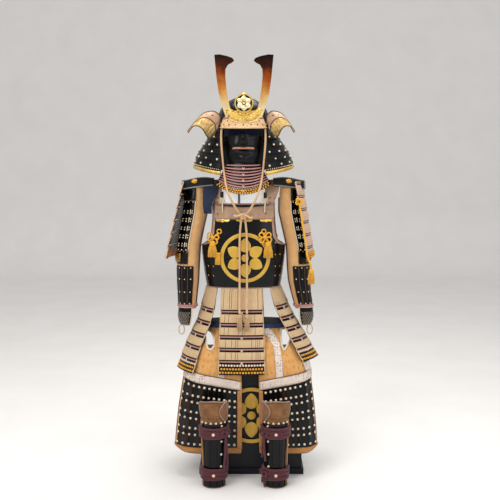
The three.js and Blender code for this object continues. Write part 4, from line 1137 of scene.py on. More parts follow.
SLEEVE_ROWS = {
    "left": table(
        "z x y half", (0.712, -0.243, -0.046, 0.037), (0.725, -0.243, -0.046, 0.036),
        (0.770, -0.242, -0.044, 0.039), (0.830, -0.240, -0.040, 0.044), (0.900, -0.239, -0.036, 0.046),
        (0.935, -0.238, -0.033, 0.047), (0.990, -0.235, -0.028, 0.048), (1.060, -0.222, -0.022, 0.049),
        (1.130, -0.208, -0.016, 0.051), (1.200, -0.203, -0.010, 0.048), (1.2601, -0.201, -0.006, 0.042),
    ),
    "right": table(
        "z x y half", (0.712, 0.262, -0.040, 0.037), (0.725, 0.260, -0.040, 0.036),
        (0.770, 0.250, -0.040, 0.039), (0.830, 0.240, -0.038, 0.044), (0.900, 0.236, -0.035, 0.046),
        (0.935, 0.236, -0.033, 0.047), (0.990, 0.233, -0.028, 0.048), (1.060, 0.218, -0.022, 0.049),
        (1.130, 0.204, -0.016, 0.051), (1.200, 0.202, -0.010, 0.048), (1.2601, 0.201, -0.006, 0.042),
    ),
}


def sleeve_point(name: str, angle: float, z: float, out: float = 0.0) -> Vector:
    """A sleeve's surface. Angles are for the right sleeve, and the left one mirrors them."""
    turned = angle if name == "right" else 180 - angle
    return section({**between(SLEEVE_ROWS[name], "z", z), "z": z}, turned, out)


WAIST = {"x": 0.018, "half": 0.196, "front": 0.112, "back": 0.070}
BELT_LOW, BELT_BLEND, BELT_SEAT = 0.6324, 0.560, 0.006
THIGHS = {
    "left": {"power": 8, "rows": table(
        "z inner outer front far", (0.110, 0.010, 0.290, -0.190, -0.112),
                                       (0.136, 0.006, 0.296, -0.190, -0.112),
        (0.300, 0.006, 0.278, -0.190, -0.100), (0.400, 0.007, 0.262, -0.188, -0.086),
        (0.452, 0.008, 0.252, -0.186, -0.064), (0.520, 0.008, 0.234, -0.174, -0.052),
        (0.580, 0.008, 0.212, -0.154, -0.044), (0.6324, 0.008, 0.180, -0.130, -0.040),
    )},
    "right": {"power": 10, "rows": table(
        "z inner outer front far", (0.110, 0.070, 0.312, -0.190, -0.116),
                                         (0.136, 0.067, 0.318, -0.190, -0.116),
        (0.300, 0.067, 0.304, -0.190, -0.104), (0.400, 0.066, 0.292, -0.188, -0.090),
        (0.452, 0.064, 0.288, -0.186, -0.098), (0.503, 0.061, 0.278, -0.181, -0.134),
        (0.530, 0.060, 0.258, -0.171, -0.100), (0.580, 0.056, 0.236, -0.154, -0.060),
        (0.6324, 0.052, 0.213, -0.130, -0.040),
    )},
}
THIGH_BAND = {"inner": 0.383, "outer": 0.422}
PLATE_LOW, PLATE_SPREAD = 0.136, 0.0042


def thigh_point(name: str, u: float, z: float, out: float = 0.0) -> Vector:
    """A thigh guard's cloth at a share from its inner to its outer edge and a height.

    Args:
        name: "left" or "right".
        u: Share across, from 0 to 1.
        z: Height in metres.
        out: How far out from the surface, in metres.

    Returns:
        The point.
    """
    guard, side = THIGHS[name], SIDES[name]
    row = between(guard["rows"], "z", z)
    t = min(1.0, max(0.0, (z - BELT_BLEND) / (BELT_LOW - BELT_BLEND)))
    bound = t * t * (3 - 2 * t)

    def at(share: float) -> Vector:
        """The section at a share of the height.

        Args:
            share: Share from 0 to 1.

        Returns:
            The section's values.
        """
        x = side * mix(row["inner"], row["outer"], share)
        hung = row["front"] + (row["far"] - row["front"]) * max(0.0, share) ** guard["power"]
        reach = min(1, abs(x - WAIST["x"]) / (WAIST["half"] + BELT_SEAT))
        return Vector((x, mix(hung, -(WAIST["front"] + BELT_SEAT) * math.sqrt(1 - reach**2), bound), z))

    along = at(u + 0.01) - at(u - 0.01)
    outward = Vector((along.y, -along.x, 0)).normalized()
    return at(u) + outward * (side * out)


SHINS = {"left": -0.122, "right": 0.1346}
SHIN_Y = -0.258
SHIN_ROWS = table("z half", (0.0, 0.045), (0.060, 0.044), (0.150, 0.047), (0.230, 0.050), (0.284, 0.051))
KNEE_FINE = table(
    "z half span", (0.262, 0.051, 84), (0.287, 0.0520, 84), (0.310, 0.055, 84), (0.340, 0.059, 82),
                  (0.368, 0.060, 78),
)


def shin_point(name: str, angle: float, z: float, out: float = 0.0) -> Vector:
    """A shin guard's surface at an angle and a height."""
    row = between(SHIN_ROWS, "z", z)
    return section({**row, "x": SHINS[name], "y": SHIN_Y, "z": z}, angle, out)


def facing_of(point: Point, u: float, v: float, outward: Vector) -> Vector:
    """The normal of a surface at u, v, on the side that outward points to.

    Args:
        point: Gives the surface at a share across and a height.
        u: Share across, from 0 to 1.
        v: Share along the other way, from 0 to 1.
        outward: A direction that is roughly outwards.

    Returns:
        The direction, one metre long.
    """
    step = 1e-3
    across = point(u + step, v) - point(u - step, v)
    normal = across.cross(point(u, v + step) - point(u, v - step)).normalized()
    return normal if normal.dot(outward) > 0 else -normal


@dataclass
class Studio:
    """The camera, a pale floor with its backdrop, and soft light."""

    eye: tuple[float, float, float] = (0.028, -3.7, 1.3295)
    pitch: float = 5.71
    lens: float = 61.2
    sensor: float = 36.0
    floor_half: float = 16.0
    floor_back: float = 7.0
    backdrop_height: float = 9.0
    cove: float = 0.8
    lights: list[tuple[str, tuple[float, float, float], float, float, tuple[float, float, float]]] = field(
        default_factory=lambda: [
            ("key", (-1.6, -2.6, 3.2), 2.0, 56.0, (1.0, 0.96, 0.9)),
            ("fill", (2.4, -2.2, 1.9), 2.4, 24.0, (0.95, 0.97, 1.0)),
            ("top", (0.0, -0.2, 3.4), 1.6, 42.0, (1.0, 0.97, 0.92)),
            ("back", (0.6, 1.2, 3.6), 1.6, 30.0, (1.0, 0.98, 0.95)),
        ])

    def camera(self) -> None:
        """Stand the camera where the photograph was taken."""
        data = bpy.data.cameras.new("view")
        data.lens, data.sensor_width = self.lens, self.sensor
        data.clip_start, data.clip_end = 0.1, 50.0
        eye = bpy.data.objects.new("view", data)
        eye.location = self.eye
        eye.rotation_euler = (math.radians(90 - self.pitch), 0, 0)
        bpy.context.scene.collection.objects.link(eye)
        bpy.context.scene.camera = eye
        bpy.context.scene.view_settings.view_transform = "Standard"

    def floor(self) -> None:
        """Lay the floor and its curved backdrop."""
        arc = [(self.floor_back - self.cove + self.cove * math.sin(math.radians(a)),
                self.cove - self.cove * math.cos(math.radians(a))) for a in range(0, 91, 10)]
        profile = [(-self.floor_half, 0.0), *arc, (self.floor_back, self.backdrop_height)]
        points = [(side * self.floor_half, y, z - 0.0005) for y, z in profile for side in (-1, 1)]
        faces = [(2 * k, 2 * k + 1, 2 * k + 3, 2 * k + 2) for k in range(len(profile) - 1)]
        mesh = bpy.data.meshes.new("floor")
        mesh.from_pydata(points, [], faces)
        mesh.shade_smooth()
        plain = Shader("pale_floor", True)
        shade = plain.ramp(plain.noise(3, 3), ((0.3, (0.80, 0.79, 0.78)), (0.7, (0.84, 0.83, 0.82))))
        plain.tree.links.new(shade, plain.bsdf.inputs["Base Color"])
        plain.set(Roughness=0.8)
        mesh.materials.append(plain.material)
        thing = bpy.data.objects.new("floor", mesh)
        bpy.context.scene.collection.objects.link(thing)

    def light(self) -> None:
        """Hang the soft lights and fill the room with pale light."""
        for name, place, size, power, colour in self.lights:
            data = bpy.data.lights.new(name, "AREA")
            data.shape, data.size, data.energy, data.color = "SQUARE", size, power, colour
            lamp = bpy.data.objects.new(name, data)
            lamp.location = place
            aim = Vector((0, 0, 0.95)) - Vector(place)
            lamp.rotation_euler = aim.to_track_quat("-Z", "Y").to_euler()
            bpy.context.scene.collection.objects.link(lamp)
        world = bpy.data.worlds.new("room")
        world.use_nodes = True
        world.node_tree.nodes["Background"].inputs["Color"].default_value = (0.93, 0.92, 0.91, 1)
        world.node_tree.nodes["Background"].inputs["Strength"].default_value = 0.72
        bpy.context.scene.world = world


def tassel(cloth: Cloth, top: Vector, radius: float, head: float, length: float, strands: int,
           seed: int) -> Cloth:
    """Add a tassel: a bound head and a skirt of strands.

    Args:
        cloth: The piece that it becomes part of.
        top: The middle of its top.
        radius: The head's radius.
        head: The head's height.
        length: Length of the strands.
        strands: How many strands show.
        seed: Seed of their small differences.

    Returns:
        The same piece.
    """
    chance = random.Random(seed)
    profile = ((0.0, 0.35), (0.12, 0.7), (0.3, 0.95), (0.52, 0.8), (0.62, 0.92), (0.78, 0.84), (1.0, 0.95))
    line = [top - UP * (head * h) for h, _ in profile]
    cloth.tube(line, lambda share: radius * dict_at(profile, share), sides=12)
    for k in range(strands):
        turn = 2 * math.pi * (k + 0.3 * chance.random()) / strands
        inner = 0.5 + 0.45 * (k % 2)
        out = Vector((math.cos(turn), math.sin(turn), 0)) * (radius * inner)
        sway = Vector((chance.uniform(-1, 1), chance.uniform(-1, 1), 0)) * (radius * 0.16)
        foot = top + out * 1.2 + sway - UP * (head + length * chance.uniform(0.94, 1.02))
        start = top + out * 0.8 - UP * (head * 0.8)
        middle = start.lerp(foot, 0.5) + out * 0.16
        cloth.tube([start, middle, foot], radius * 0.15, sides=4)
    return cloth


def dict_at(profile: Sequence[tuple[float, float]], share: float) -> float:
    """Read a short profile of (place, value) pairs at a share from 0 to 1.

    Args:
        profile: The table that is read.
        share: Share from 0 to 1.

    Returns:
        The values at that share.
    """
    for (a, low), (b, high) in zip(profile, profile[1:]):
        if share <= b:
            return mix(low, high, (share - a) / (b - a))
    return profile[-1][1]


@dataclass
class HelmetCords:
    """The cords from the visor's ends over the chest, with their tassels and the knot that joins them."""

    radius: float = 0.0045
    tassel_radius: float = 0.009
    tassel_head: float = 0.014
    tassel_length: float = 0.052
    points: list[tuple[float, float, float]] = field(default_factory=lambda: [
        (-0.091, -0.098, 1.481), (-0.093, -0.104, 1.452), (-0.092, -0.108, 1.416), (-0.089, -0.108, 1.372),
        (-0.085, -0.111, 1.326), (-0.079, -0.1222, 1.282), (-0.071, -0.1442, 1.240), (-0.061, -0.157, 1.208),
        (-0.044, -0.155, 1.172), (-0.024, -0.143, 1.138), (-0.010, -0.139, 1.118), (-0.010, -0.138, 1.092),
        (-0.014, -0.139, 1.050), (-0.016, -0.140, 0.990), (-0.016, -0.140, 0.930), (-0.016, -0.138, 0.870),
        (-0.016, -0.136, 0.820), (-0.016, -0.148, 0.770), (-0.016, -0.163, 0.735), (-0.016, -0.175, 0.706),
    ])
    knot_z: float = 1.116
    knot_y: float = -0.146

    def build(self) -> None:
        """Make both cords, their tassels and the knot."""
        for name, side in SIDES.items():
            points = self.points if side < 0 else [
                (-x if z > 1.130 else -x - 0.001, y, z) for x, y, z in self.points
            ]
            line = route(points, 6)
            cord = Cloth(f"cord_{name}").tube(line, self.radius, sides=10)
            made = cord.done(TAN_CORD, "tan_cord", [f"helmet_cord_{name}"])
            ends = Cloth(f"cord_end_{name}")
            top = Vector(points[-1]) - UP * 0.0022
            tassel(ends, top, self.tassel_radius, self.tassel_head, self.tassel_length, 26, 3)
            end = ends.done(TAN_CORD, "tan_cord", [f"cord_tassel_{name}"])
            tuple(points[0])
            length_of(line)
        self.knot()

    def knot(self) -> None:
        """The flat knot on the chest where the cords meet."""
        knot = Cloth("cord_knot")
        turns = ((-0.040, 0.006, 0.0), (0.040, -0.003, 0.0), (0.0, -0.006, 0.006))
        middle = Vector((0, self.knot_y, self.knot_z))
        for reach, rise, lift in turns[:2]:
            loop = [middle + Vector((reach * t, -0.002 - lift - 0.003 * math.sin(math.pi * t),
                                     rise * t + 0.006 * math.sin(2 * math.pi * t)))
                    for t in (-0.2, 0.2, 0.5, 0.8, 1.0)]
            knot.tube(loop, self.radius * 1.15, sides=8, flat=0.8)
        wrap = [middle + Vector((0.0095 * math.cos(a), -0.0055 * abs(math.sin(a)) - 0.001,
                                 0.011 * math.sin(a)))
                for a in (math.radians(d) for d in range(-90, 271, 30))]
        knot.tube(wrap, self.radius * 0.8, sides=8)
        knot.done(TAN_CORD, "tan_cord")


@dataclass
class Helmet:
    """The ribbed bowl with its visor, neck guard, turn-backs, horns, front disc and mask."""

    bowl_rows: list[Row] = field(default_factory=lambda: table(
        "z half front back", (1.497, 0.109, 0.125, 0.127), (1.530, 0.109, 0.125, 0.127),
        (1.562, 0.100, 0.114, 0.116), (1.590, 0.079, 0.090, 0.092), (1.610, 0.048, 0.055, 0.056),
        (1.622, 0.013, 0.014, 0.014),
    ))
    bowl_y: float = 0.010
    ribs: int = 24
    horn_x: float = 0.003
    horn_face: float = -0.147
    disc_z: float = 1.5835
    petals: int = 6

    def build(self) -> None:
        """Dress every piece of the helmet."""
        self.bowl()
        self.visor()
        self.neck_guard()
        for name in SIDES:
            self.turnback(name)
        self.horns()
        self.disc()
        self.mask()

    def bowl_point(self, angle: float, z: float, out: float) -> Vector:
        """The bowl's surface at an angle and a height."""
        return section({**eased(self.bowl_rows, "z", z), "y": self.bowl_y, "z": z}, angle, out)

    def bowl(self) -> None:
        """The bowl with its standing ribs, rivet rows and crown fitting."""
        low, high = self.bowl_rows[0]["z"], self.bowl_rows[-1]["z"]

        def lobed(u: float, v: float) -> float:
            """How far the bowl's ribs stand out."""
            return 0.0016 * abs(math.cos(math.pi * self.ribs * u)) ** 6 * (1 - 0.5 * v)

        shell = Cloth("bowl_shell").grid(
            lambda u, v: self.bowl_point(360 * u, mix(low, high, v ** 0.8), 0.0), self.ribs * 8, 18,
            relief=lobed, thickness=0.002, closed=True, size=(0.7, 0.2))
        shell.done(LACQUER, "black_lacquer", ["helmet_bowl"], angle=50)
        rivets = []
        for k in range(self.ribs):
            angle = 360 * (k + 0.5) / self.ribs
            for z in (1.508, 1.522, 1.545, 1.570, 1.592):
                out = section({"half": 1.0}, angle)
                rivets.append((self.bowl_point(angle, z, 0.0002), Vector((out.x, out.y, 0.25)).normalized(),
                               UP))
        REPEAT.place("bowl_rivets", Shape.DOME, rivets, 0.0042, LACQUER, "black_lacquer")
        band = Cloth("bowl_base_band").grid(
            lambda u, v: self.bowl_point(360 * u, mix(1.4975, 1.505, v), 0.0018), 96, 2,
            relief=lambda u, v: 0.0012 * math.sin(math.pi * v), thickness=0.001, closed=True,
                                            size=(0.7, 0.01))
        band.done(GILT, "gilt")
        dress("helmet_crown_fitting", GILT, 35)
        petals = []
        for ring, z, reach in ((16, 1.6262, 0.0125), (12, 1.6325, 0.0105)):
            for k in range(ring):
                out = section({"half": 1.0}, 360 * k / ring)
                petals.append((Vector((0, self.bowl_y, z)) + out * reach, (out + UP * 0.7).normalized(), UP))
        REPEAT.place("crown_petals", Shape.BEAD, petals, 0.0044, GILT, "gilt")

    def visor_point(self, u: float, v: float, out: float = 0.0) -> Vector:
        """The visor's surface at a share across and a share up.

        Args:
            u: Share across, from 0 to 1.
            v: Share along the other way, from 0 to 1.
            out: How far out from the surface, in metres.

        Returns:
            The point.
        """
        share = 2 * u - 1
        row = {**between(self.bowl_rows, "z", 1.530), "y": self.bowl_y, "z": 1.530}
        high = section(row, -90 + 46 * share, 0.0047 + out)
        turn = math.radians(70 * share)
        low = Vector((0.104 * math.sin(turn), -0.060 - 0.105 * math.cos(turn),
                      1.480 + 0.004 * share * share))
        return low.lerp(high, v) + Vector((0, -out, out * 0.6))

    def visor(self) -> None:
        """The leathered visor with its rivets and its edges."""
        face = Cloth("visor_leather_face").grid(
            lambda u, v: self.visor_point(u, v), 56, 10, thickness=0.002,
            relief=lambda u, v: 0.0012 * math.sin(math.pi * v) + 0.0004, size=(0.24, 0.06))
        face.done(VISOR_LEATHER, "tan_leather", ["helmet_visor"], angle=60)
        for name, v, finish, width in (("visor_edge", 0.02, VISOR_LEATHER, 0.0026),
                                       ("visor_seam", 0.9, BROWN_EDGE, 0.0016)):
            line = [self.visor_point(u / 40, v, 0.0016) for u in range(41)]
            Cloth(name).tube(line, width, sides=8).done(finish, "tan_leather")
        rivets = [(self.visor_point(u, v, 0.0016), Vector((0, -1, 0.5)).normalized(), ACROSS)
                  for u in (0.1, 0.23, 0.36, 0.5, 0.64, 0.77, 0.9) for v in (0.3,)]
        rivets += [(self.visor_point(u, 0.62, 0.0016), Vector((0, -1, 0.5)).normalized(), ACROSS)
                   for u in (0.16, 0.3, 0.7, 0.84)]
        REPEAT.place("visor_rivets", Shape.DOME, rivets, 0.0062, HORN_BLACK, "tan_leather")
        lining = Cloth("visor_lining").grid(
            lambda u, v: self.visor_point(u, v, -0.0042), 30, 2, flip=True, size=(0.2, 0.05))
        lining.done(NAVY_CLOTH, "navy_cloth")
        inner = Cloth("helmet_lining").grid(
            lambda u, v: section({"half": 0.084, "y": 0.008, "z": mix(1.448, 1.540, v)}, mix(-168, -12, u)),
                                            48, 12,
            relief=lambda u, v: 0.0022 * noise.noise(Vector((6 * u, 3 * v, 1.0))), thickness=0.002,
                                            size=(0.25, 0.09))
        inner.done(NAVY_CLOTH, "navy_cloth")

    def neck_guard(self) -> None:
        """The neck guard's sparse knots, its edge lacing, gilt rim and seams."""
        dress("neck_guard", LACQUER, 30)
        knots = []
        columns = 34
        for k in range(columns):
            u = (k + 0.5) / columns
            for n, edge in enumerate(NECK_EDGES[1:-1]):
                if (k + n) % 2:
                    continue
                for rise in (0.008,):
                    z = edge + rise

                    def at(a: float, b: float) -> Vector:
                        """The surface of the neck guard."""
                        return neck_point(a, b)

                    normal = facing_of(at, u, z, neck_point(u, z) - Vector((0, NECK_Y, z)))
                    knots.append((neck_point(u, z) + normal * 0.0022, normal, UP))
                    break
        REPEAT.place("neck_guard_knots", Shape.KNOT, knots, 0.0092, IVORY_LACE, "black_lacquer", 0.12)
        count = 110
        line, dots, faces = [], [], []
        for k in range(count + 1):
            u = k / count
            outward = neck_point(u, 1.33) - Vector((0, NECK_Y, 1.33))
            normal = facing_of(neck_point, u, 1.327, outward)
            line.append(neck_point(u, 1.3235))
            faces.append(normal)
            if k < count:
                dots.append((neck_point(u, 1.3345) + normal * 0.0008, normal, UP))
        REPEAT.place("neck_guard_edge_lace", Shape.KNOT, dots, 0.0050, IVORY_LACE, "black_lacquer")
        rim = Cloth("neck_guard_rim")
        rim.strip([p + n * 0.0024 for p, n in zip(line, faces)], faces, 0.0118, 0.0022)
        rim.tube([neck_point(k / count, 1.3172) + faces[k] * 0.0012 for k in range(count + 1)], 0.0020,
                 sides=6)
        rim.done(SMOOTH_GILT, "gilt")
        ends = Cloth("neck_guard_end_piping")
        for u in (0.002, 0.998):
            end = [neck_point(u, mix(1.318, 1.50, k / 20)) for k in range(21)]
            ends.tube([p + FRONT * 0.0018 for p in end], 0.0022, sides=6)
        ends.done(LACQUER, "black_lacquer")
        lining = Cloth("neck_guard_lining").grid(
            lambda u, v: neck_point(mix(0.004, 0.996, u), mix(1.320, 1.498, v))
            - facing_of(neck_point, u, 1.35, neck_point(u, 1.35) - Vector((0, NECK_Y, 1.35))) * 0.0034,
            48, 10, flip=False, size=(0.5, 0.2))
        lining.done(DARK_CLOTH, "navy_cloth")

    def turnback(self, name: str) -> None:
        """One turn-back: leather behind, a gilt ornament in front and a brown edge.

        Args:
            name: "left" or "right".
        """
        side = SIDES[name]
        reach, shift = {"left": (1.0, 0.0024), "right": (0.86, -0.0054)}[name]
        root = 0.100
        lines = {
            "front": ((-0.150, -0.044, 1.441), (-0.161, -0.066, 1.456), (-0.172, -0.094, 1.478),
                      (-0.191, -0.106, 1.491), (-0.213, -0.094, 1.490), (-0.234, -0.070, 1.466)),
            "middle": ((-0.118, -0.066, 1.474), (-0.122, -0.084, 1.500), (-0.144, -0.100, 1.520),
                       (-0.168, -0.102, 1.526), (-0.200, -0.086, 1.512), (-0.236, -0.068, 1.470)),
            "back": ((-0.107, -0.070, 1.490), (-0.097, -0.082, 1.526), (-0.107, -0.088, 1.546),
                     (-0.133, -0.086, 1.555), (-0.177, -0.072, 1.540), (-0.236, -0.062, 1.474)),
        }
        steps = 8
        smooth = {key: route([(side * (root - (x + root) * reach), y + shift, z) for x, y, z in line], steps)
                  for key, line in lines.items()}
        whole = steps * 5

        def point(u: float, v: float) -> Vector:
            """The surface of the turn-back.

            Args:
                u: Share across, from 0 to 1.
                v: Share along the other way, from 0 to 1.

            Returns:
                The point.
            """
            place = min(whole - 1e-6, max(0.0, v * whole))
            k, t = int(place), place - int(place)
            a, b, c = (smooth[key][k].lerp(smooth[key][k + 1], t) for key in ("front", "middle", "back"))
            return a * (1 - u) * (1 - 2 * u) + b * 4 * u * (1 - u) + c * u * (2 * u - 1)

        outward = facing_of(point, 0.5, 0.5, Vector((0, -0.6, 1)))
        natural = (point(0.51, 0.5) - point(0.49, 0.5)).cross(point(0.5, 0.51) - point(0.5, 0.49))
        flip = natural.dot(outward) < 0

        def swell(u: float, v: float) -> float:
            """The turn-back's rounding.

            Args:
                u: Share across, from 0 to 1.
                v: Share along the other way, from 0 to 1.

            Returns:
                The height.
            """
            if u < 0.52:
                return 0.0006 + 0.0012 * abs(math.sin(9 * math.pi * v) * math.sin(4 * math.pi * u))
            return 0.0004 + 0.0010 * math.sin(math.pi * (u - 0.52) / 0.48)

        leaf = Cloth(f"turnback_face_{name}").grid(point, 22, 60, relief=swell, thickness=0.0022, flip=flip,
                                                    size=(0.09, 0.2))
        middle = [point(0.52, k / 40) for k in range(41)]

        def ornament(centre: Vector) -> bool:
            """A place for an ornament on the turn-back.

            Args:
                centre: The share where the ornament lies.

            Returns:
                The place with its directions.
            """
            near = min(range(41), key=lambda k: (middle[k] - centre).length)
            ahead = point(0.42, near / 40) - middle[near]
            return (centre - middle[near]).dot(ahead) > 0

        leaf.done(TURNBACK_LEATHER, "tan_leather", [f"turnback_{name}"], angle=60, second=TURN_GILT,
                  choose=ornament)
        seam = Cloth(f"turnback_edges_{name}")
        for u, width in ((0.015, 0.0022), (0.52, 0.0020), (0.985, 0.0022)):
            line = [point(u, k / 40) + facing_of(point, u, 0.5, outward) * 0.0012 for k in range(41)]
            seam.tube(line, width, sides=6)
        seam.done(BROWN_EDGE, "tan_leather")
        studs = [(point(0.75, v) + outward * 0.0014, facing_of(point, 0.75, v, outward), ACROSS)
                 for v in (0.42, 0.62)]
        REPEAT.place(f"turnback_studs_{name}", Shape.DOME, studs, 0.006, HORN_BLACK, "tan_leather")

    def horns(self) -> None:
        """The blades, and their base with raised flowers and scrolls."""
        for name in SIDES:
            dress(f"horn_{name}", HORN_BLADE, 30)
        dress("horn_base", GILT, 30)
        face = self.horn_face - 0.0002
        flowers, leaves = [], []
        for k in range(-4, 5):
            x = self.horn_x + 0.0148 * k
            z = 1.519 + 0.0016 * k * k
            flowers.append((Vector((x, face, z)), FRONT, UP))
            for n in range(5):
                turn = math.radians(72 * n + 20 * k)
                out = Vector((math.cos(turn), 0, math.sin(turn)))
                leaves.append((Vector((x, face, z)) + out * 0.0070, FRONT, out.cross(FRONT)))
        for side in (-1, 1):
            for x, z in ((0.056, 1.549), (0.044, 1.542), (0.030, 1.538), (0.014, 1.540), (0.066, 1.556)):
                flowers.append((Vector((self.horn_x + side * x, face, z)), FRONT, UP))
        REPEAT.place("base_flower_hearts", Shape.BEAD, flowers, 0.0066, PALE_GILT, "gilt")
        REPEAT.place("base_flower_petals", Shape.LEAF, leaves, 0.0104, SMOOTH_GILT, "gilt")
        edge = Cloth("base_edge")
        outline = [(0, 1.5052), (0.041, 1.511), (0.067, 1.5285), (0.0765, 1.552), (0.069, 1.561),
                   (0.052, 1.557)]
        line = [Vector((self.horn_x - x, face, z)) for x, z in outline[::-1]]
        line += [Vector((self.horn_x + x, face, z)) for x, z in outline[1:]]
        edge.tube(route(line, 5), 0.0016, sides=6)
        edge.done(PALE_GILT, "gilt")

    def disc(self) -> None:
        """The front disc: a gilt rim round a plain rosette of broad leaves."""
        dress("crest_disc", SMOOTH_GILT, 30)
        face = self.horn_face - 0.0003 - 0.0025
        middle = Vector((self.horn_x, face, self.disc_z))
        ground = Cloth("disc_ground").grid(
            lambda u, v: middle + Vector((math.cos(2 * math.pi * u), 0, math.sin(2 * math.pi * u)))
            * (0.0338 * (1 - 0.999 * v)) + FRONT * 0.0003, 40, 3, closed=True, size=(0.2, 0.04))
        ground.done(LACQUER, "gilt")
        leaves = []
        for k in range(self.petals):
            turn = 2 * math.pi * (k + 0.5) / self.petals
            out = Vector((math.cos(turn), 0, math.sin(turn)))
            leaves.append((middle + out * 0.0195 + FRONT * 0.0006, FRONT, out.cross(FRONT)))
        REPEAT.place("disc_leaves", Shape.LEAF, leaves, 0.0265, PALE_GILT, "gilt", 0.0)
        REPEAT.place("disc_heart", Shape.BEAD, [(middle + FRONT * 0.0005, FRONT, UP)], 0.011, PALE_GILT,
                     "gilt", 0.0)

    def mask(self) -> None:
        """A calm, plain half mask in black lacquer, with a tanned upper lip."""
        rows = table(
            "z half front nose brow", (1.320, 0.050, -0.110, 0, 0), (1.338, 0.060, -0.126, 0, 0),
            (1.360, 0.066, -0.133, 0, 0), (1.380, 0.070, -0.135, 0, 0), (1.396, 0.072, -0.130, 0, 0),
            (1.410, 0.073, -0.132, 0.2, 0), (1.420, 0.074, -0.131, 1, 0), (1.430, 0.074, -0.130, 0.9, 0),
            (1.444, 0.074, -0.128, 0.6, 0), (1.464, 0.074, -0.126, 0.35, 0),
        )
        bend, side_depth, nose_depth, nose_half = 0.088, 0.100, 0.020, 0.0125

        def hill(x: float, z: float, at: tuple[float, float], size: tuple[float, float],
                 high: float) -> float:
            """A rounded hill on the face."""
            return high * math.exp(-(((abs(x) - at[0]) / size[0]) ** 2) - ((z - at[1]) / size[1]) ** 2)

        def point(u: float, v: float) -> Vector:
            """The mask's surface.

            Args:
                u: Share across, from 0 to 1.
                v: Share along the other way, from 0 to 1.

            Returns:
                The point.
            """
            z = mix(rows[0]["z"], rows[-1]["z"], v)
            row = eased(rows, "z", z)
            share = 2 * u - 1
            x = row["half"] * math.copysign(abs(share) ** 0.92, share)
            y = row["front"] + side_depth * (1 - math.sqrt(1 - (x / bend) ** 2))
            y -= nose_depth * row["nose"] * math.exp(-((x / nose_half) ** 2))
            y -= hill(x, z, (0.0125, 1.4175), (0.006, 0.006), 0.0035)
            y -= hill(x, z, (0.042, 1.418), (0.018, 0.018), 0.004)
            y -= hill(x, z, (0.0, 1.3995), (0.024, 0.0045), 0.0045)
            y -= hill(x, z, (0.0, 1.3835), (0.020, 0.0045), 0.0040)
            y += hill(x, z, (0.0, 1.3915), (0.022, 0.0030), 0.0060)
            y += hill(x, z, (0.0, 1.372), (0.022, 0.006), 0.0030)
            y -= hill(x, z, (0.0, 1.352), (0.016, 0.012), 0.0050)
            y += hill(x, z, (0.052, 1.395), (0.012, 0.016), 0.0030)
            fall = 0.012 * min(1.0, abs(share) * 3) * max(0.0, (v - 0.88) / 0.12)
            return Vector((x, y, z - fall))

        face = Cloth("mask_face").grid(point, 72, 72, thickness=0.002, size=(0.2, 0.16))
        face.done(LACQUER, "black_lacquer", ["face_mask"], angle=70)
        lip = Cloth("mask_lip").grid(
            lambda u, v: point(mix(0.20, 0.80, u),
                               mix(0.534, 0.566 + 0.020 * min(1.0, 2.2 * abs(2 * u - 1)), v)
                               - 0.018 * abs(2 * u - 1) ** 3), 40, 8,
            relief=lambda u, v: 0.0028 * math.sin(math.pi * v) * math.sin(math.pi * u) ** 0.5 + 0.0003,
            size=(0.05, 0.01))
        lip.done(MASK_LIPS, "black_lacquer")
        lower = Cloth("mask_lower_lip").grid(
            lambda u, v: point(mix(0.34, 0.66, u), mix(0.512, 0.534, v) - 0.012 * abs(2 * u - 1) ** 2), 30,
                                             6,
            relief=lambda u, v: 0.0018 * math.sin(math.pi * v) * math.sin(math.pi * u) ** 0.5 + 0.0003,
            size=(0.03, 0.01))
        lower.done(LIP_RED, "black_lacquer")


def laced(cloth: Cloth, point: Callable[[float, float], Vector], span: tuple[float, float], low: float,
          high: float,
          lift: tuple[float, float], cords: int, outward: Vector, bulge: float = 0.0016,
          gap: float = 0.0012) -> Cloth:
    """Add close lacing: upright cords side by side from one lame's edge to the next.

    Args:
        cloth: The piece that it becomes part of.
        point: Gives the lames' surface at a share across and a height.
        span: First and last share across.
        low: Lower end of the cords.
        high: Upper end of the cords.
        lift: How far the lame stands out at the lower and the upper end.
        cords: How many cords lie side by side.
        outward: The way the surface looks.
        bulge: How round the cords are.
        gap: How deep some of the gaps between them go.

    Returns:
        The same piece.
    """
    def at(u: float, v: float) -> Vector:
        """The cloth's surface between the two heights."""
        return point(mix(span[0], span[1], u), mix(low, high, v))

    chance = random.Random(cords)
    gaps = [chance.choice((0.0003, 0.0003, -gap)) for _ in range(cords + 1)]

    def relief(u: float, v: float) -> float:
        """How far the lacing stands out.

        Args:
            u: Share across, from 0 to 1.
            v: Share along the other way, from 0 to 1.

        Returns:
            The height.
        """
        end = min(1.0, min(v, 1 - v) * 6)
        side = min(1.0, min(u, 1 - u) * cords * 2)
        cord = abs(math.sin(math.pi * cords * u)) ** 0.6
        return mix(lift[0], lift[1], v) + mix(gaps[round(cords * u)], bulge, cord) * end * max(side, 0.2)

    natural = (at(0.51, 0.5) - at(0.49, 0.5)).cross(at(0.5, 0.51) - at(0.5, 0.49))
    width = (at(1, 0.5) - at(0, 0.5)).length
    return cloth.grid(at, cords * 4, 4, relief=relief, flip=natural.dot(outward) < 0,
                      size=(width, high - low))


def row_of(point: Callable[[float, float], Vector], z: float, lift: float, outward: Vector, count: int,
           span: tuple[float, float] = (0.0, 1.0)) -> list[Placement]:
    """Places in a row across a surface.

    Args:
        point: Gives the surface at a share across and a height.
        z: The row's height.
        lift: Distance off the surface.
        outward: The way the surface looks.
        count: How many places.
        span: First and last share across.

    Returns:
        The places.
    """
    found = []
    for k in range(count):
        u = mix(span[0], span[1], (k + 0.5) / count)
        normal = facing_of(point, u, z, outward)
        found.append((point(u, z) + normal * lift, normal, UP))
    return found


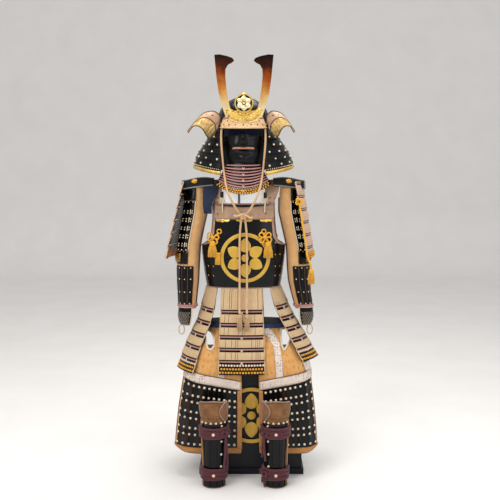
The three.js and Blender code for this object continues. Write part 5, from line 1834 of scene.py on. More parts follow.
def line_on(point: Callable[[float, float], Vector], z: float, lift: float, outward: Vector, count: int,
            span: tuple[float, float] = (0.0, 1.0)) -> tuple[list[Vector], list[Vector]]:
    """A line across a surface with its normals, as row_of gives places.

    Args:
        point: Gives the surface at a share across and a height.
        z: Height in metres.
        lift: How far it stands out, in metres.
        outward: A direction that is roughly outwards.
        count: How many places.
        span: First and last share or angle across.

    Returns:
        The points of the line and their directions.
    """
    line, normals = [], []
    for k in range(count + 1):
        u = mix(span[0], span[1], k / count)
        normal = facing_of(point, min(0.998, max(0.002, u)), z, outward)
        line.append(point(u, z) + normal * lift)
        normals.append(normal)
    return line, normals


@dataclass
class Cuirass:
    """The cuirass with its throat guard, chest board, straps, crest, toggles and bows."""

    crest: tuple[float, float] = (0.007, 0.938)
    crest_radius: float = 0.107
    crest_band: float = 0.016
    leaves: int = 6
    throat_step: float = 0.0024
    throat_lines: tuple[tuple[float, float], ...] = ((0.12, 0.0046), (0.62, 0.0040))
    throat_knots: tuple[float, ...] = (1.222, 1.240, 1.264, 1.289, 1.314)
    throat_bead: float = 0.0092
    rivet: float = 0.007
    rivet_columns: tuple[float, ...] = (-0.150, -0.128, 0.136, 0.156)
    toggles: tuple[tuple[float, float, float], ...] = ((-0.090, -0.116, 1.206), (0.092, -0.116, 1.203))
    clouds: tuple[tuple[float, float, float], ...] = (
        (-0.088, 0.031, 0.013), (0.004, 0.034, 0.012), (0.098, 0.028, 0.013))
    loop_width: float = 0.34
    loop_lift: float = 0.009
    seams: tuple[float, ...] = (0.846, 0.887, 0.938, 0.989, 1.048)

    def build(self) -> None:
        """Dress every piece of the trunk."""
        self.throat()
        self.plates()
        self.board()
        self.fittings()
        self.crest_ring()
        self.straps()
        self.bows()

    def throat(self) -> None:
        """The throat guard's salmon lacing over black lames, and its beaded lowest lame."""
        dress("throat_guard", LACQUER, 30)
        lace, beads = Cloth("throat_lacing"), []
        for k, (low, high) in enumerate(zip(THROAT_EDGES, THROAT_EDGES[1:])):
            if k:
                for part, rise in self.throat_lines:
                    z = mix(low, high, part)
                    line, normals = line_on(throat_point, z + 0.002, self.throat_step * (1 - part) + 0.0006,
                                            FRONT, 40,
                                            (0.02, 0.98))
                    lace.strip(line, normals, rise * 1.25, 0.0026)
        lace.done(SALMON_LACE, "salmon_lacing")
        low = THROAT_EDGES[0]
        for z, lift, shift in ((low + 0.0050, 0.0026, 0.0), (low + 0.0150, 0.0018, 0.018)):
            beads += row_of(throat_point, z, lift, FRONT, 21, (0.01 + shift, 0.97 + shift))
        REPEAT.place("throat_beads", Shape.DOME, beads, self.throat_bead, GOLD_BEAD, "salmon_lacing")
        dots = row_of(throat_point, low + 0.0228, 0.0014, FRONT, 30, (0.02, 0.98))
        REPEAT.place("throat_edge_lace", Shape.KNOT, dots, 0.0045, IVORY_LACE, "salmon_lacing")
        knots = [(throat_point(0.5, z) + FRONT * 0.0036, FRONT, UP)
                 for z in self.throat_knots]
        REPEAT.place("throat_knots", Shape.CROSS, knots, 0.010, IVORY_LACE, "salmon_lacing")

    def plates(self) -> None:
        """The front and back plates, with the hoops' seams, and piping on their edges."""
        for name, rows, sign in (("front", CUIRASS_FRONT, 1), ("back", CUIRASS_BACK, -1)):
            def point(u: float, v: float, rows: list[Row] = rows, sign: int = sign) -> Vector:
                """The plate's surface."""
                return cuirass_shell(rows, sign, u, v)

            def hoop(u: float, v: float, rows: list[Row] = rows) -> float:
                """The hoops' rounding, with a groove at each seam.

                Args:
                    u: Share across, from 0 to 1.
                    v: Share along the other way, from 0 to 1.
                    rows: The table of the surface's sections.

                Returns:
                    The height.
                """
                z = mix(rows[0]["z"], rows[-1]["z"], v)
                near = min(abs(z - seam) for seam in self.seams)
                return 0.0004 + 0.0008 * min(1.0, near / 0.004)

            shell = Cloth(f"cuirass_shell_{name}").grid(point, 72, 90, relief=hoop, thickness=0.002,
                                                        flip=sign < 0,
                                                         size=(0.5, 0.4))
            shell.done(LACQUER, "black_lacquer", [f"cuirass_{name}"], angle=60)
            piping = Cloth(f"cuirass_piping_{name}")
            hem = [point(u / 60, 0.0) for u in range(61)]
            piping.tube(hem, 0.0026, sides=8)
            for u in (0.0, 1.0):
                side = [point(u, mix(0.50, 1.0, v / 24)) for v in range(25)]
                piping.tube(side, 0.0042, sides=8)
            piping.tube([point(u / 40, 1.0) for u in range(41)], 0.0036, sides=8)
            piping.done(PINK_PIPING, "printed_leather")
        bands = Cloth("armhole_bands")
        for side, first, far in ((-1, 0.0, 0.052), (1, 1.0, 0.948)):
            def at(u: float, v: float, first: float = first, far: float = far) -> Vector:
                """The surface of the band at the armhole.

                Args:
                    u: Share across, from 0 to 1.
                    v: Share along the other way, from 0 to 1.
                    first: The share or index at the edge.
                    far: The share at the inner edge.

                Returns:
                    The point.
                """
                z = mix(0.992, 1.150, v)
                share = (z - CUIRASS_FRONT[0]["z"]) / (CUIRASS_FRONT[-1]["z"] - CUIRASS_FRONT[0]["z"])
                width = mix(first, far, u * (1.25 - 0.9 * v))
                point = cuirass_shell(CUIRASS_FRONT, 1, width, share)
                return point + Vector((0, -0.0016, 0)) + Vector((0.0012 * side, 0, 0))

            natural = (at(1, 0.5) - at(0, 0.5)).cross(at(0.5, 1) - at(0.5, 0))
            bands.grid(at, 8, 24, flip=natural.y > 0, thickness=0.0012, size=(0.03, 0.16),
                       relief=lambda u, v: 0.0006 * math.sin(math.pi * u))
        bands.done(PRINTED_LEATHER, "printed_leather")
        rivets = []
        for z in self.seams[:-1]:
            for x in self.rivet_columns:
                place = cuirass_point(x, z + 0.012, 0.001)
                rivets.append((place, (place - Vector((0, 0, place.z))).normalized(), UP))
        REPEAT.place("cuirass_rivets", Shape.DOME, rivets, self.rivet, GILT, "gilt")

    def board(self) -> None:
        """The chest board of printed leather, edged, with the toggles' cords and horn toggles."""
        left, right, low, dip, rise, off = -0.122, 0.128, 1.102, 1.151, 0.013, 0.0034

        def point(u: float, v: float) -> Vector:
            """The chest board's surface."""
            x = mix(left, right, u)
            return cuirass_point(x, mix(low, dip + rise * (x / right) ** 2, v), off)

        face = Cloth("chest_board_leather").grid(point, 60, 14, thickness=0.002, size=(0.25, 0.05),
                                                 relief=lambda u, v: 0.0012 * math.sin(math.pi * v) ** 0.5)
        face.done(PRINTED_LEATHER, "printed_leather", ["chest_board"], angle=60)
        edge = Cloth("chest_board_edge")
        for v in (0.02, 0.98):
            edge.tube([point(u / 50, v) for u in range(51)], 0.0024, sides=8)
        for u in (0.004, 0.996):
            edge.tube([point(u, v / 12) for v in range(13)], 0.0024, sides=8)
        edge.done(PINK_PIPING, "printed_leather")
        cords = Cloth("toggle_cords")
        for x, lean in ((-0.090, 0.010), (0.092, -0.008)):
            for spread, foot in ((-0.010, 1.166), (0.0, 1.128), (0.010, 1.168)):
                line = [Vector((x, -0.112, 1.208)), Vector((x + spread * 0.6, -0.117, 1.190)),
                        cuirass_point(x + spread + lean * 0.3, foot, 0.008)]
                cords.tube(route(line, 5), 0.0028, sides=8)
        cords.done(CREAM_CORD, "tan_cord")
        toggles = Cloth("horn_toggles")
        for x, y, z in self.toggles:
            for turn in (-1, 1):
                line = [Vector((x - turn * 0.004, y - 0.004, z + 0.012)), Vector((x, y - 0.007, z)),
                        Vector((x + turn * 0.004, y - 0.004, z - 0.012))]
                toggles.tube(route(line, 4), lambda t: 0.0066 * math.sin(math.pi * (0.12 + 0.76 * t)),
                             sides=8)
        toggles.done(HORN_BLACK, "black_lacquer")

    def fittings(self) -> None:
        """Gilt cloud fittings under the chest board, with scrolled lower edges."""
        plates = Cloth("board_fittings")
        for middle, half, drop in self.clouds:
            def point(u: float, v: float, middle: float = middle, half: float = half,
                      drop: float = drop) -> Vector:
                """The surface of a cloud fitting.

                Args:
                    u: Share across, from 0 to 1.
                    v: Share along the other way, from 0 to 1.
                    middle: Place of its middle.
                    half: Half of its width.
                    drop: How far it hangs down.

                Returns:
                    The point.
                """
                share = 2 * u - 1
                lobes = 0.72 + 0.28 * abs(math.cos(1.5 * math.pi * share))
                low = 1.1015 - drop * lobes * (1 - 0.35 * share * share)
                return cuirass_point(middle + half * share, mix(low, 1.1018, v), 0.0026)

            plates.grid(point, 26, 4, relief=lambda u, v: 0.0012 * math.sin(math.pi * u) + 0.0006,
                        thickness=0.0012)
        plates.done(GILT, "gilt")

    def crest_ring(self) -> None:
        """A plain ring round a rosette of broad leaves, in gold lacquer on the chest."""
        cx, cz = self.crest
        ring = Cloth("crest_ring").grid(
            lambda u, v: cuirass_point(
                cx + (self.crest_radius - self.crest_band * v) * math.cos(2 * math.pi * u),
                cz + (self.crest_radius - self.crest_band * v) * math.sin(2 * math.pi * u), 0.0012),
            96, 4, closed=True, relief=lambda u, v: 0.0009 * math.sin(math.pi * v) + 0.0002, flip=False,
            size=(0.6, 0.016))
        ring.done(CREST_GOLD, "gilt")
        leaf = Cloth("crest_leaves")
        for k in range(self.leaves):
            turn = 2 * math.pi * k / self.leaves + math.pi / 2
            broad_leaf(leaf, lambda x, z: cuirass_point(x, z, 0.0014), (cx, cz), turn, 0.024, 0.084, 0.025)
        disc = Cloth("crest_heart").grid(
            lambda u, v: cuirass_point(cx + 0.0155 * (1 - 0.99 * v) * math.cos(2 * math.pi * u),
                                       cz + 0.0155 * (1 - 0.99 * v) * math.sin(2 * math.pi * u), 0.0014),
            28, 4, closed=True, relief=lambda u, v: 0.0014 * math.sin(math.pi / 2 * v))
        leaf.done(CREST_GOLD, "gilt")
        disc.done(CREST_GOLD, "gilt")

    def straps(self) -> None:
        """The shoulder straps' leather with edges, and the form's cotton and a thin grey tube down its
        front.
        """
        for name in SIDES:
            dress(f"shoulder_strap_{name}", PRINTED_LEATHER, 50)
        # The form's white cotton glows with painted light against the throat guard's shade.
        dress("stand_chest_form", FORM_WHITE, 60)
        form = table("z y", (1.100, -0.0850), (1.170, -0.0852), (1.220, -0.0635), (1.250, -0.0350),
                     (1.2626, -0.0070))
        # A thin grey tube runs down the front of the white form.
        form_tube = Cloth("form_post").tube(
            [Vector((-0.0185, between(form, "z", z)["y"] - 0.0012, z))
             for z in (1.130, 1.150, 1.170, 1.196, 1.220, 1.250)],
            0.0048, sides=10)
        form_tube.done(GREY_TUBE, "stand_wood")

    def bows(self) -> None:
        """Gold cord bows on the chest: a ring, loops, a plait down to a tassel."""
        for name, spot in (
            ("left", {"ring": (-0.102, 1.050), "knot": (-0.128, 1.024), "lean": -0.5,
                      "tassel": (-0.131, 1.010),
                      "loops": ((-0.024, 0.014), (0.024, 0.002), (0.012, -0.026), (-0.026, -0.008))}),
            ("right", {"ring": (0.086, 1.050), "knot": (0.091, 1.026), "lean": 0.4, "tassel": (0.105, 1.008),
                       "loops": ((-0.022, 0.016), (0.024, 0.014), (0.026, -0.016), (-0.020, -0.020))}),
        ):
            bow = Cloth(f"chest_bow_{name}")
            rx, rz = spot["ring"]
            hoop = [cuirass_point(rx + 0.009 * math.cos(a), rz + 0.009 * math.sin(a), 0.006)
                    for a in (math.radians(d) for d in range(0, 361, 24))]
            bow.tube(hoop, 0.0028, sides=6)
            kx, kz = spot["knot"]
            bow.tube([cuirass_point(mix(rx, kx, t), mix(rz - 0.006, kz, t), 0.008) for t in (0, 0.5, 1)],
                     0.0042, sides=8)
            for dx, dz in spot["loops"]:
                loop = []
                for n in range(13):
                    t = n / 12
                    along, across = math.sin(math.pi * t), self.loop_width * math.sin(2 * math.pi * t)
                    loop.append(cuirass_point(kx + dx * along - dz * across, kz + dz * along + dx * across,
                                              self.loop_lift))
                bow.tube(loop, 0.0034, sides=6)
            bow.tube([cuirass_point(kx - 0.007, kz + 0.003, 0.013), cuirass_point(kx, kz, 0.0155),
                      cuirass_point(kx + 0.007, kz - 0.003, 0.013)], 0.0062, sides=8)
            tx, tz = spot["tassel"]
            top = cuirass_point(tx, tz, 0.013)
            bow.tube([cuirass_point(kx, kz, 0.010), top], 0.0042, sides=8)
            tassel(bow, top, 0.0145, 0.020, 0.050, 34, 11)
            bow.done(GOLD_CORD, "gold_cord", [f"chest_tassel_{name}"])
        strip = Cloth("bow_end_left")
        for k in range(5):
            x = -0.118 + 0.0045 * k
            strip.tube([cuirass_point(x, z, 0.006 + 0.002 * (k % 2)) for z in (0.958, 0.934, 0.908)], 0.0028,
                       sides=5)
        strip.tube([cuirass_point(x, 0.956, 0.0085) for x in (-0.122, -0.109, -0.096)], 0.0042, sides=8)
        strip.done(GOLD_CORD, "gold_cord")


def broad_leaf(cloth: Cloth, place: Callable[[float, float], Vector], middle: tuple[float, float],
               turn: float,
               near: float, far: float, half: float) -> None:
    """Add one broad pointed leaf of a rosette, lying on a surface.

    Args:
        cloth: The piece that it becomes part of.
        place: Puts x and z on the surface.
        middle: The rosette's middle.
        turn: The leaf's direction, in radians.
        near: Distance of its foot from the middle.
        far: Distance of its point from the middle.
        half: Half of its width.
    """
    ahead, side = (math.cos(turn), math.sin(turn)), (-math.sin(turn), math.cos(turn))

    def at(u: float, v: float) -> Vector:
        """The leaf's surface.

        Args:
            u: Share across, from 0 to 1.
            v: Share along the other way, from 0 to 1.

        Returns:
            The point.
        """
        wide = half * math.sin(math.pi * v ** 0.8) ** 0.7 * (2 * u - 1)
        along = mix(near, far, v)
        return place(middle[0] + ahead[0] * along + side[0] * wide,
                     middle[1] + ahead[1] * along + side[1] * wide)

    def rise(u: float, v: float) -> float:
        """The leaf's rounding."""
        vein = 1 - 0.9 * math.exp(-(((u - 0.5) / 0.05) ** 2)) if v < 0.85 else 1.0
        ends = math.sin(math.pi * min(0.97, max(0.03, v)))
        return 0.0002 + 0.0012 * vein * math.sin(math.pi * u) ** 0.4 * ends

    natural = (at(0.6, 0.5) - at(0.4, 0.5)).cross(at(0.5, 0.6) - at(0.5, 0.4))
    cloth.grid(at, 14, 14, relief=rise, flip=natural.y > 0, size=(half * 2, far - near))


@dataclass
class Skirts:
    """The six laced skirt panels that hang from the cuirass."""

    step: float = 0.003
    cord: float = 0.0088
    dark: tuple[float, float] = (0.0012, 0.0046)
    salmon: tuple[float, float] = (0.0052, 0.0105)
    band: float = 0.0185
    beads: tuple[tuple[float, str], ...] = ((0.0385, "cream"), (0.0235, "gold"), (0.0090, "gold"))
    bead: float = 0.0100

    def build(self) -> None:
        """Lace every panel."""
        for panel in PANELS:
            dress(panel.name, LACQUER, 30)
            self.lace(panel)
            self.lines(panel)
            self.edge(panel)

    def outward(self, panel: Panel) -> Vector:
        """The way that a panel looks."""
        turn = math.radians(panel.facing)
        return Vector((math.cos(turn), math.sin(turn), 0))

    def lift(self, panel: Panel, k: int, z: float) -> float:
        """How far lame k of a panel stands out at a height."""
        low, high = panel.edges[k], panel.edges[k + 1]
        return self.step * min(1.0, max(0.0, (high - z) / (high - low)))

    def lace(self, panel: Panel) -> None:
        """The upright lacing of each lame.

        Args:
            panel: The skirt panel.
        """
        out, lace = self.outward(panel), Cloth(f"{panel.name}_lacing")
        last = len(panel.edges) - 2
        for k in range(1, last + 1):
            low = panel.edges[k] + 0.0006
            high = panel.edges[k + 1] - (0.0010 if k == last else self.band)
            cords = round(panel.width(low) / self.cord)
            laced(lace, panel.point, (0.012, 0.988), low, high,
                  (self.lift(panel, k, low), self.lift(panel, k, high)), cords, out, 0.0026)
        lace.done(TAN_LACE, "tan_lacing")

    def lines(self, panel: Panel) -> None:
        """The dark and salmon lines across each lame, its middle knots and the lowest lame's beads.

        Args:
            panel: The skirt panel.
        """
        out = self.outward(panel)
        for name, part, finish, depth in (("dark", self.dark, DARK_LINE, 0.0016),
                                          ("salmon", self.salmon, SALMON_LACE, 0.0026)):
            rows = Cloth(f"{panel.name}_{name}_lines")
            for k in range(len(panel.edges) - 2):
                z = panel.edges[k + 1] - (part[0] + part[1]) / 2
                line, normals = line_on(panel.point, z, self.lift(panel, k, z) + 0.0004, out, 14,
                                        (0.008, 0.992))
                rows.strip(line, normals, part[1] - part[0], depth)
            rows.done(finish, "salmon_lacing")
        knots = []
        for k in range(len(panel.edges) - 2):
            z = panel.edges[k + 1] - 0.0135
            for u in (0.5,) if panel.name != "skirt_back" else (0.2, 0.5, 0.8):
                normal = facing_of(panel.point, u, z, out)
                knots.append((panel.point(u, z) + normal * (self.lift(panel, k, z) + 0.0022), normal, UP))
        REPEAT.place(f"{panel.name}_knots", Shape.CROSS, knots, 0.0115, IVORY_LACE, "salmon_lacing")
        low = panel.edges[0]
        count = round(panel.width(low) / (self.bead + 0.0022))
        for colour, finish in (("cream", IVORY_LACE), ("gold", GOLD_BEAD)):
            places = []
            for rise, kind in self.beads:
                if kind == colour:
                    shift = 0.5 / count if rise == self.beads[1][0] else 0.0
                    places += row_of(panel.point, low + rise, self.lift(panel, 0, low + rise) + 0.0004, out,
                                     count - (shift > 0), (0.008 + shift, 0.992 - shift))
            REPEAT.place(f"{panel.name}_{colour}_beads", Shape.DOME, places, self.bead, finish,
                         "salmon_lacing")

    def edge(self, panel: Panel) -> None:
        """The pale edge lacing down both sides.

        Args:
            panel: The skirt panel.
        """
        out, edge = self.outward(panel), Cloth(f"{panel.name}_edge_lace")
        for u in (0.004, 0.996):
            for k in range(len(panel.edges) - 1):
                heights = [mix(panel.edges[k] + 0.0008, panel.edges[k + 1] - 0.0014, t / 3)
                           for t in range(4)]
                edge.tube([panel.point(u, z) + out * (self.lift(panel, k, z) + 0.0006) for z in heights],
                          0.0024, sides=6)
        edge.done(TAN_LACE, "tan_lacing")


@dataclass
class ShoulderGuards:
    """The laced shoulder guards: their outer and inner faces, toggles and the right one's gold cord."""

    step: float = 0.0032
    iron: float = 0.0026
    cord: float = 0.0062
    band: float = 0.0125

    def build(self) -> None:
        """Lace both guards."""
        for name, side in SIDES.items():
            dress(f"shoulder_guard_{name}", LACQUER, 30)
            self.outer(name, side)
            self.inner(name, side)
            self.rims(name, side)
        self.toggles()
        self.gold_cord()

    def lift(self, k: int, z: float) -> float:
        """How far lame k stands out at a height."""
        low, high = GUARD_EDGES[k], GUARD_EDGES[k + 1]
        return self.step * min(1.0, max(0.0, (high - z) / (high - low)))

    def outer(self, name: str, side: int) -> None:
        """The outer face: pale lacing with salmon lines, and beads on the lowest lame.

        Args:
            name: "left" or "right".
            side: -1 on the left and 1 on the right.
        """
        out = Vector((side, 0, 0))

        def point(u: float, z: float) -> Vector:
            """The guard's outer surface."""
            return guard_point(name, u, z)

        lace, salmon, beads = Cloth(f"guard_{name}_lacing"), Cloth(f"guard_{name}_lines"), []
        for k in range(6):
            low = GUARD_EDGES[k] + (0.0265 if k == 0 else 0.0006)
            high = GUARD_EDGES[k + 1] - self.band
            laced(lace, point, (0.012, 0.988), low, high, (self.lift(k, low), self.lift(k, high)), 24, out,
                  0.0026)
            z = GUARD_EDGES[k + 1] - 0.0052
            line, normals = line_on(point, z, self.lift(k, z) + 0.0004, out, 14, (0.01, 0.99))
            salmon.strip(line, normals, 0.0052, 0.0026)
        for rise in (0.0056, 0.0138, 0.0215):
            beads += row_of(point, GUARD_EDGES[0] + rise, self.lift(0, GUARD_EDGES[0] + rise) + 0.0008, out,
                            24,
                            (0.012, 0.988))
        lace.done(PINK_LACE, "tan_lacing")
        salmon.done(SALMON_LACE, "salmon_lacing")
        REPEAT.place(f"guard_{name}_beads", Shape.BEAD, beads, 0.0078, GOLD_BEAD, "salmon_lacing")

    def inner(self, name: str, side: int) -> None:
        """The inner face: plain dark lames with rows of small stitches, its lowest lame laced in orange.

        Args:
            name: "left" or "right".
            side: -1 on the left and 1 on the right.
        """
        inward = Vector((-side, 0, 0))

        def point(u: float, z: float) -> Vector:
            """The guard's inner surface."""
            return guard_point(name, u, z) - Vector((side, 0, 0)) * self.iron

        lining = Cloth(f"guard_{name}_lining").grid(
            lambda u, v: point(mix(0.004, 0.996, u), mix(GUARD_EDGES[0] + 0.001, GUARD_EDGES[-1] - 0.002, v))
            + inward * 0.0006, 24, 36, flip=side < 0, size=(0.22, 0.32),
            relief=lambda u, v: 0.0010 * abs(math.sin(math.pi * 6 * v)))
        lining.done(GUARD_LINING, "navy_cloth")
        low = GUARD_EDGES[0]
        foot = Cloth(f"guard_{name}_inner_lacing")
        laced(foot, point, (0.02, 0.98), low + 0.003, low + 0.034, (0.0016, 0.0016), 14, inward, 0.0016)
        foot.done(ORANGE_LACE, "salmon_lacing")
        stitches = []
        for z in GUARD_EDGES[1:-1]:
            stitches += row_of(point, z + 0.004, 0.0024, inward, 18, (0.05, 0.95))
        REPEAT.place(f"guard_{name}_stitches", Shape.KNOT, stitches, 0.0052, IVORY_LACE, "salmon_lacing")

    def rims(self, name: str, side: int) -> None:
        """The cream and orange edge lacing down both sides and the gilt top edge.

        Args:
            name: "left" or "right".
            side: -1 on the left and 1 on the right.
        """
        edge, out = Cloth(f"guard_{name}_edge_lace"), Vector((side, 0, 0))
        marks = []
        for u in (0.0, 1.0):
            for k in range(6):
                heights = [mix(GUARD_EDGES[k] + 0.0008, GUARD_EDGES[k + 1] - 0.0014, t / 3)
                           for t in range(4)]
                edge.tube([guard_point(name, u, z) + out * (self.lift(k, z) - 0.0004) for z in heights],
                          0.0030, sides=8)
            for k in range(46):
                z = mix(GUARD_EDGES[0] + 0.004, GUARD_EDGES[-1] - 0.006, k / 45)
                marks.append((guard_point(name, u, z) + Vector((0, -0.0026 if u < 0.5 else 0.0026, 0)),
                              FRONT if u < 0.5 else -FRONT, UP))
        edge.done(CREAM_CORD, "salmon_lacing")
        REPEAT.place(f"guard_{name}_edge_stitches", Shape.KNOT, marks, 0.0044, ORANGE_LACE, "salmon_lacing")
        top = Cloth(f"guard_{name}_top")
        top.tube([guard_point(name, u / 24, GUARD_EDGES[-1] - 0.0005) + out * 0.0004 for u in range(25)],
                 0.0028, sides=8)
        top.done(GILT, "gilt")

    def toggles(self) -> None:
        """Gold toggles with short cords that tie the guards to the shoulder straps."""
        pieces = Cloth("guard_toggles")
        for x, y, z, lean in ((-0.2065, -0.104, 1.262, 1), (0.192, -0.096, 1.262, -1)):
            ring = [Vector((x + 0.0085 * math.cos(a), y - 0.001, z + 0.0070 * math.sin(a)))
                    for a in (math.radians(d) for d in range(0, 361, 30))]
            pieces.tube(ring, 0.0022, sides=6)
            pieces.tube([Vector((x - 0.011, y - 0.006, z - 0.004 * lean)), Vector((x, y - 0.008, z)),
                         Vector((x + 0.011, y - 0.006, z + 0.004 * lean))], 0.0036, sides=8)
        pieces.done(GOLD_CORD, "gold_cord")

    def gold_cord(self) -> None:
        """The right guard's gold cord along its front edge, with a knot above and a tassel below."""
        cord = Cloth("guard_gold_cord")
        points = [guard_point("right", 0.0, z) + Vector((0.002, -0.0085, 0))
                  for z in (1.176, 1.13, 1.08, 1.03, 0.985, 0.945)]
        points += [Vector((0.283, -0.122, 0.915)), Vector((0.288, -0.122, 0.890))]
        cord.tube(route(points, 5), 0.0042, sides=8)
        knot = points[0]
        for turn in range(4):
            a = math.radians(90 * turn + 35)
            loop = [knot + Vector((0.015 * math.cos(a) * math.sin(math.pi * t)
                                   - 0.006 * math.sin(a) * math.sin(2 * math.pi * t),
                                   -0.004, 0.015 * math.sin(a) * math.sin(math.pi * t)
                                   + 0.006 * math.cos(a) * math.sin(2 * math.pi * t)))
                    for t in (k / 10 for k in range(11))]
            cord.tube(loop, 0.0034, sides=6)
        tassel(cord, points[-1], 0.012, 0.018, 0.046, 26, 17)
        cord.done(GOLD_CORD, "gold_cord")


@dataclass
class Arms:
    """The armoured sleeves: cloth, upper-arm lames, elbow, forearm splints and hand guards."""

    seat: float = 0.0031
    lames: tuple[tuple[float, float], ...] = (
        (0.964, 0.989), (0.990, 1.024), (1.026, 1.059), (1.060, 1.094), (1.096, 1.129), (1.130, 1.176))
    splints: tuple[float, float] = (0.728, 0.898)
    hands: dict[str, tuple[float, float]] = field(
        default_factory=lambda: {"left": (-0.243, -0.046), "right": (0.262, -0.040)})

    def build(self) -> None:
        """Dress both arms."""
        for name, side in SIDES.items():
            self.cloth(name)
            dress(f"arm_plates_{name}", LACQUER, 30)
            self.upper(name)
            self.elbow(name)
            self.forearm(name)
            self.hand(name, side)

    def cloth(self, name: str) -> None:
        """The cloth sleeve with its creases, a sheet sewn to a tube.

        Args:
            name: "left" or "right".
        """
        low, high = SLEEVE_ROWS[name][0]["z"], SLEEVE_ROWS[name][-1]["z"]

        def crease(u: float, v: float) -> float:
            """The sleeve's creases.

            Args:
                u: Share across, from 0 to 1.
                v: Share along the other way, from 0 to 1.

            Returns:
                The height.
            """
            turn = 2 * math.pi * u
            wave = noise.noise(Vector((1.6 * math.cos(turn), 1.6 * math.sin(turn), 9 * v)))
            fine = noise.noise(Vector((4 * math.cos(turn) + 7, 4 * math.sin(turn), 30 * v)))
            return 0.0022 * wave + 0.0007 * fine

        sleeve = Cloth(f"sleeve_cloth_{name}").grid(
            lambda u, v: sleeve_point(name, 360 * u, mix(low, high, v)), 64, 90, relief=crease,
                                                    thickness=0.0016,
            closed=True, flip=name == "left", size=(0.29, 0.548))
        made = sleeve.done(SLEEVE_CLOTH, "sleeve_cloth", [f"sleeve_{name}"])

    def at(self, name: str, span: tuple[float, float]) -> Callable[[float, float], Vector]:
        """The sleeve's surface by a share between two angles and a height."""
        return lambda u, z: sleeve_point(name, mix(span[0], span[1], u), z, self.seat)

    def upper(self, name: str) -> None:
        """Cream stitches and cords between the upper-arm lames, and their piping.

        Args:
            name: "left" or "right".
        """
        point = self.at(name, (-90, 60))
        dashes, edge = [], Cloth(f"arm_edge_{name}")
        for k, (low, high) in enumerate(self.lames):
            lift = 0.0036
            for z in (low + 0.004, high - 0.004):
                dashes += self.arc_places(point, z, lift, 7)
            if k:
                for u in (0.12, 0.5, 0.88):
                    normal = self.round_out(point, u, low)
                    edge.tube([point(u, low + d) + normal * 0.0052 for d in (0.010, 0.0, -0.010)], 0.0020,
                              sides=6)
        for u in (0.0, 1.0):
            heights = [mix(0.964, 1.176, t / 16) for t in range(17)]
            edge.tube([point(u, z) + self.round_out(point, u, z) * 0.0016 for z in heights], 0.0024, sides=6)
        edge.done(CREAM_CORD, "salmon_lacing")
        top = Cloth(f"arm_top_lame_{name}").grid(
            lambda u, v: point(u, mix(1.179, 1.230, v)), 20, 6, thickness=0.0016, flip=name == "left",
                                                 size=(0.12, 0.05),
            relief=lambda u, v: 0.0046 - 0.0024 * v)
        top.done(LACQUER, "black_lacquer")
        REPEAT.place(f"arm_stitches_{name}", Shape.KNOT, dashes, 0.0062, IVORY_LACE, "salmon_lacing")

    def round_out(self, point: Callable[[float, float], Vector], u: float, z: float) -> Vector:
        """The outward normal of a sleeve's surface, level.

        Args:
            point: Gives the surface at a share across and a height.
            u: Share across, from 0 to 1.
            z: Height in metres.

        Returns:
            The direction outwards.
        """
        along = point(u + 0.01, z) - point(u - 0.01, z)
        normal = Vector((along.y, -along.x, 0)).normalized()
        centre = point(0.5, z) - point(u, z)
        probe = point(u + 0.5, z) + point(u - 0.5, z)
        return normal if normal.dot(point(u, z) - probe / 2) > 0 or centre.length == 0 else -normal

    def arc_places(self, point: Callable[[float, float], Vector], z: float, lift: float,
                   count: int) -> list[Placement]:
        """Places round a part of the sleeve.

        Args:
            point: Gives the surface at a share across and a height.
            z: Height in metres.
            lift: How far it stands out, in metres.
            count: How many places.

        Returns:
            The places with their directions.
        """
        found = []
        for k in range(count):
            u = (k + 0.5) / count
            normal = self.round_out(point, u, z)
            found.append((point(u, z) + normal * lift, normal, UP))
        return found

    def elbow(self, name: str) -> None:
        """The gilt elbow plate with its rows of studs.

        Args:
            name: "left" or "right".
        """
        point = self.at(name, (-96, 70))
        plate = Cloth(f"elbow_plate_{name}")
        plate.grid(lambda u, v: point(mix(0.26, 0.74, u), mix(0.916, 0.952, v)), 18, 10, thickness=0.0012,
                   relief=lambda u, v: 0.0064 + 0.003 * math.sin(math.pi * u) * math.sin(math.pi * v),
                   flip=name == "left", size=(0.08, 0.044))
        plate.done(AGED_GILT, "gilt")
        studs = []
        for z in (0.9065, 0.9615):
            studs += self.arc_places(point, z, 0.0048, 9)
        REPEAT.place(f"elbow_studs_{name}", Shape.DOME, studs, 0.0068, AGED_GILT, "gilt")

    def forearm(self, name: str) -> None:
        """The forearm splints' raised ribs, cream edge dashes and the tie at the wrist.

        Args:
            name: "left" or "right".
        """
        dress(f"forearm_splints_{name}", LACQUER, 30)
        point = self.at(name, (-120, 60))
        ribs, marks = Cloth(f"splint_edges_{name}"), []
        for k in range(7):
            u = k / 6
            heights = [mix(self.splints[0] + 0.006, self.splints[1] - 0.006, t / 10) for t in range(11)]
            ribs.tube([point(u, z) + self.round_out(point, u, z) * 0.0014 for z in heights], 0.0013, sides=5)
        for z in (self.splints[0] + 0.008, 0.786, 0.842, self.splints[1] - 0.008):
            marks += self.arc_places(point, z, 0.0028, 6)
        ribs.done(BROWN_EDGE, "black_lacquer")
        REPEAT.place(f"splint_stitches_{name}", Shape.KNOT, marks, 0.0058, IVORY_LACE, "salmon_lacing")
        tie = Cloth(f"wrist_tie_{name}")
        for z in (0.7225, 0.7285):
            ring = [sleeve_point(name, a, z, 0.0062) for a in range(-120, 241, 12)]
            tie.tube(ring, 0.0030, sides=8)
        tie.done(SALMON_LACE, "salmon_lacing")
        seam = Cloth(f"sleeve_seam_{name}")
        for angle in (176, 196):
            heights = [mix(0.735, 1.19, t / 22) for t in range(23)]
            seam.tube([sleeve_point(name, angle, z, 0.0022) for z in heights], 0.0016, sides=5)
        seam.done(BROWN_EDGE, "sleeve_cloth")

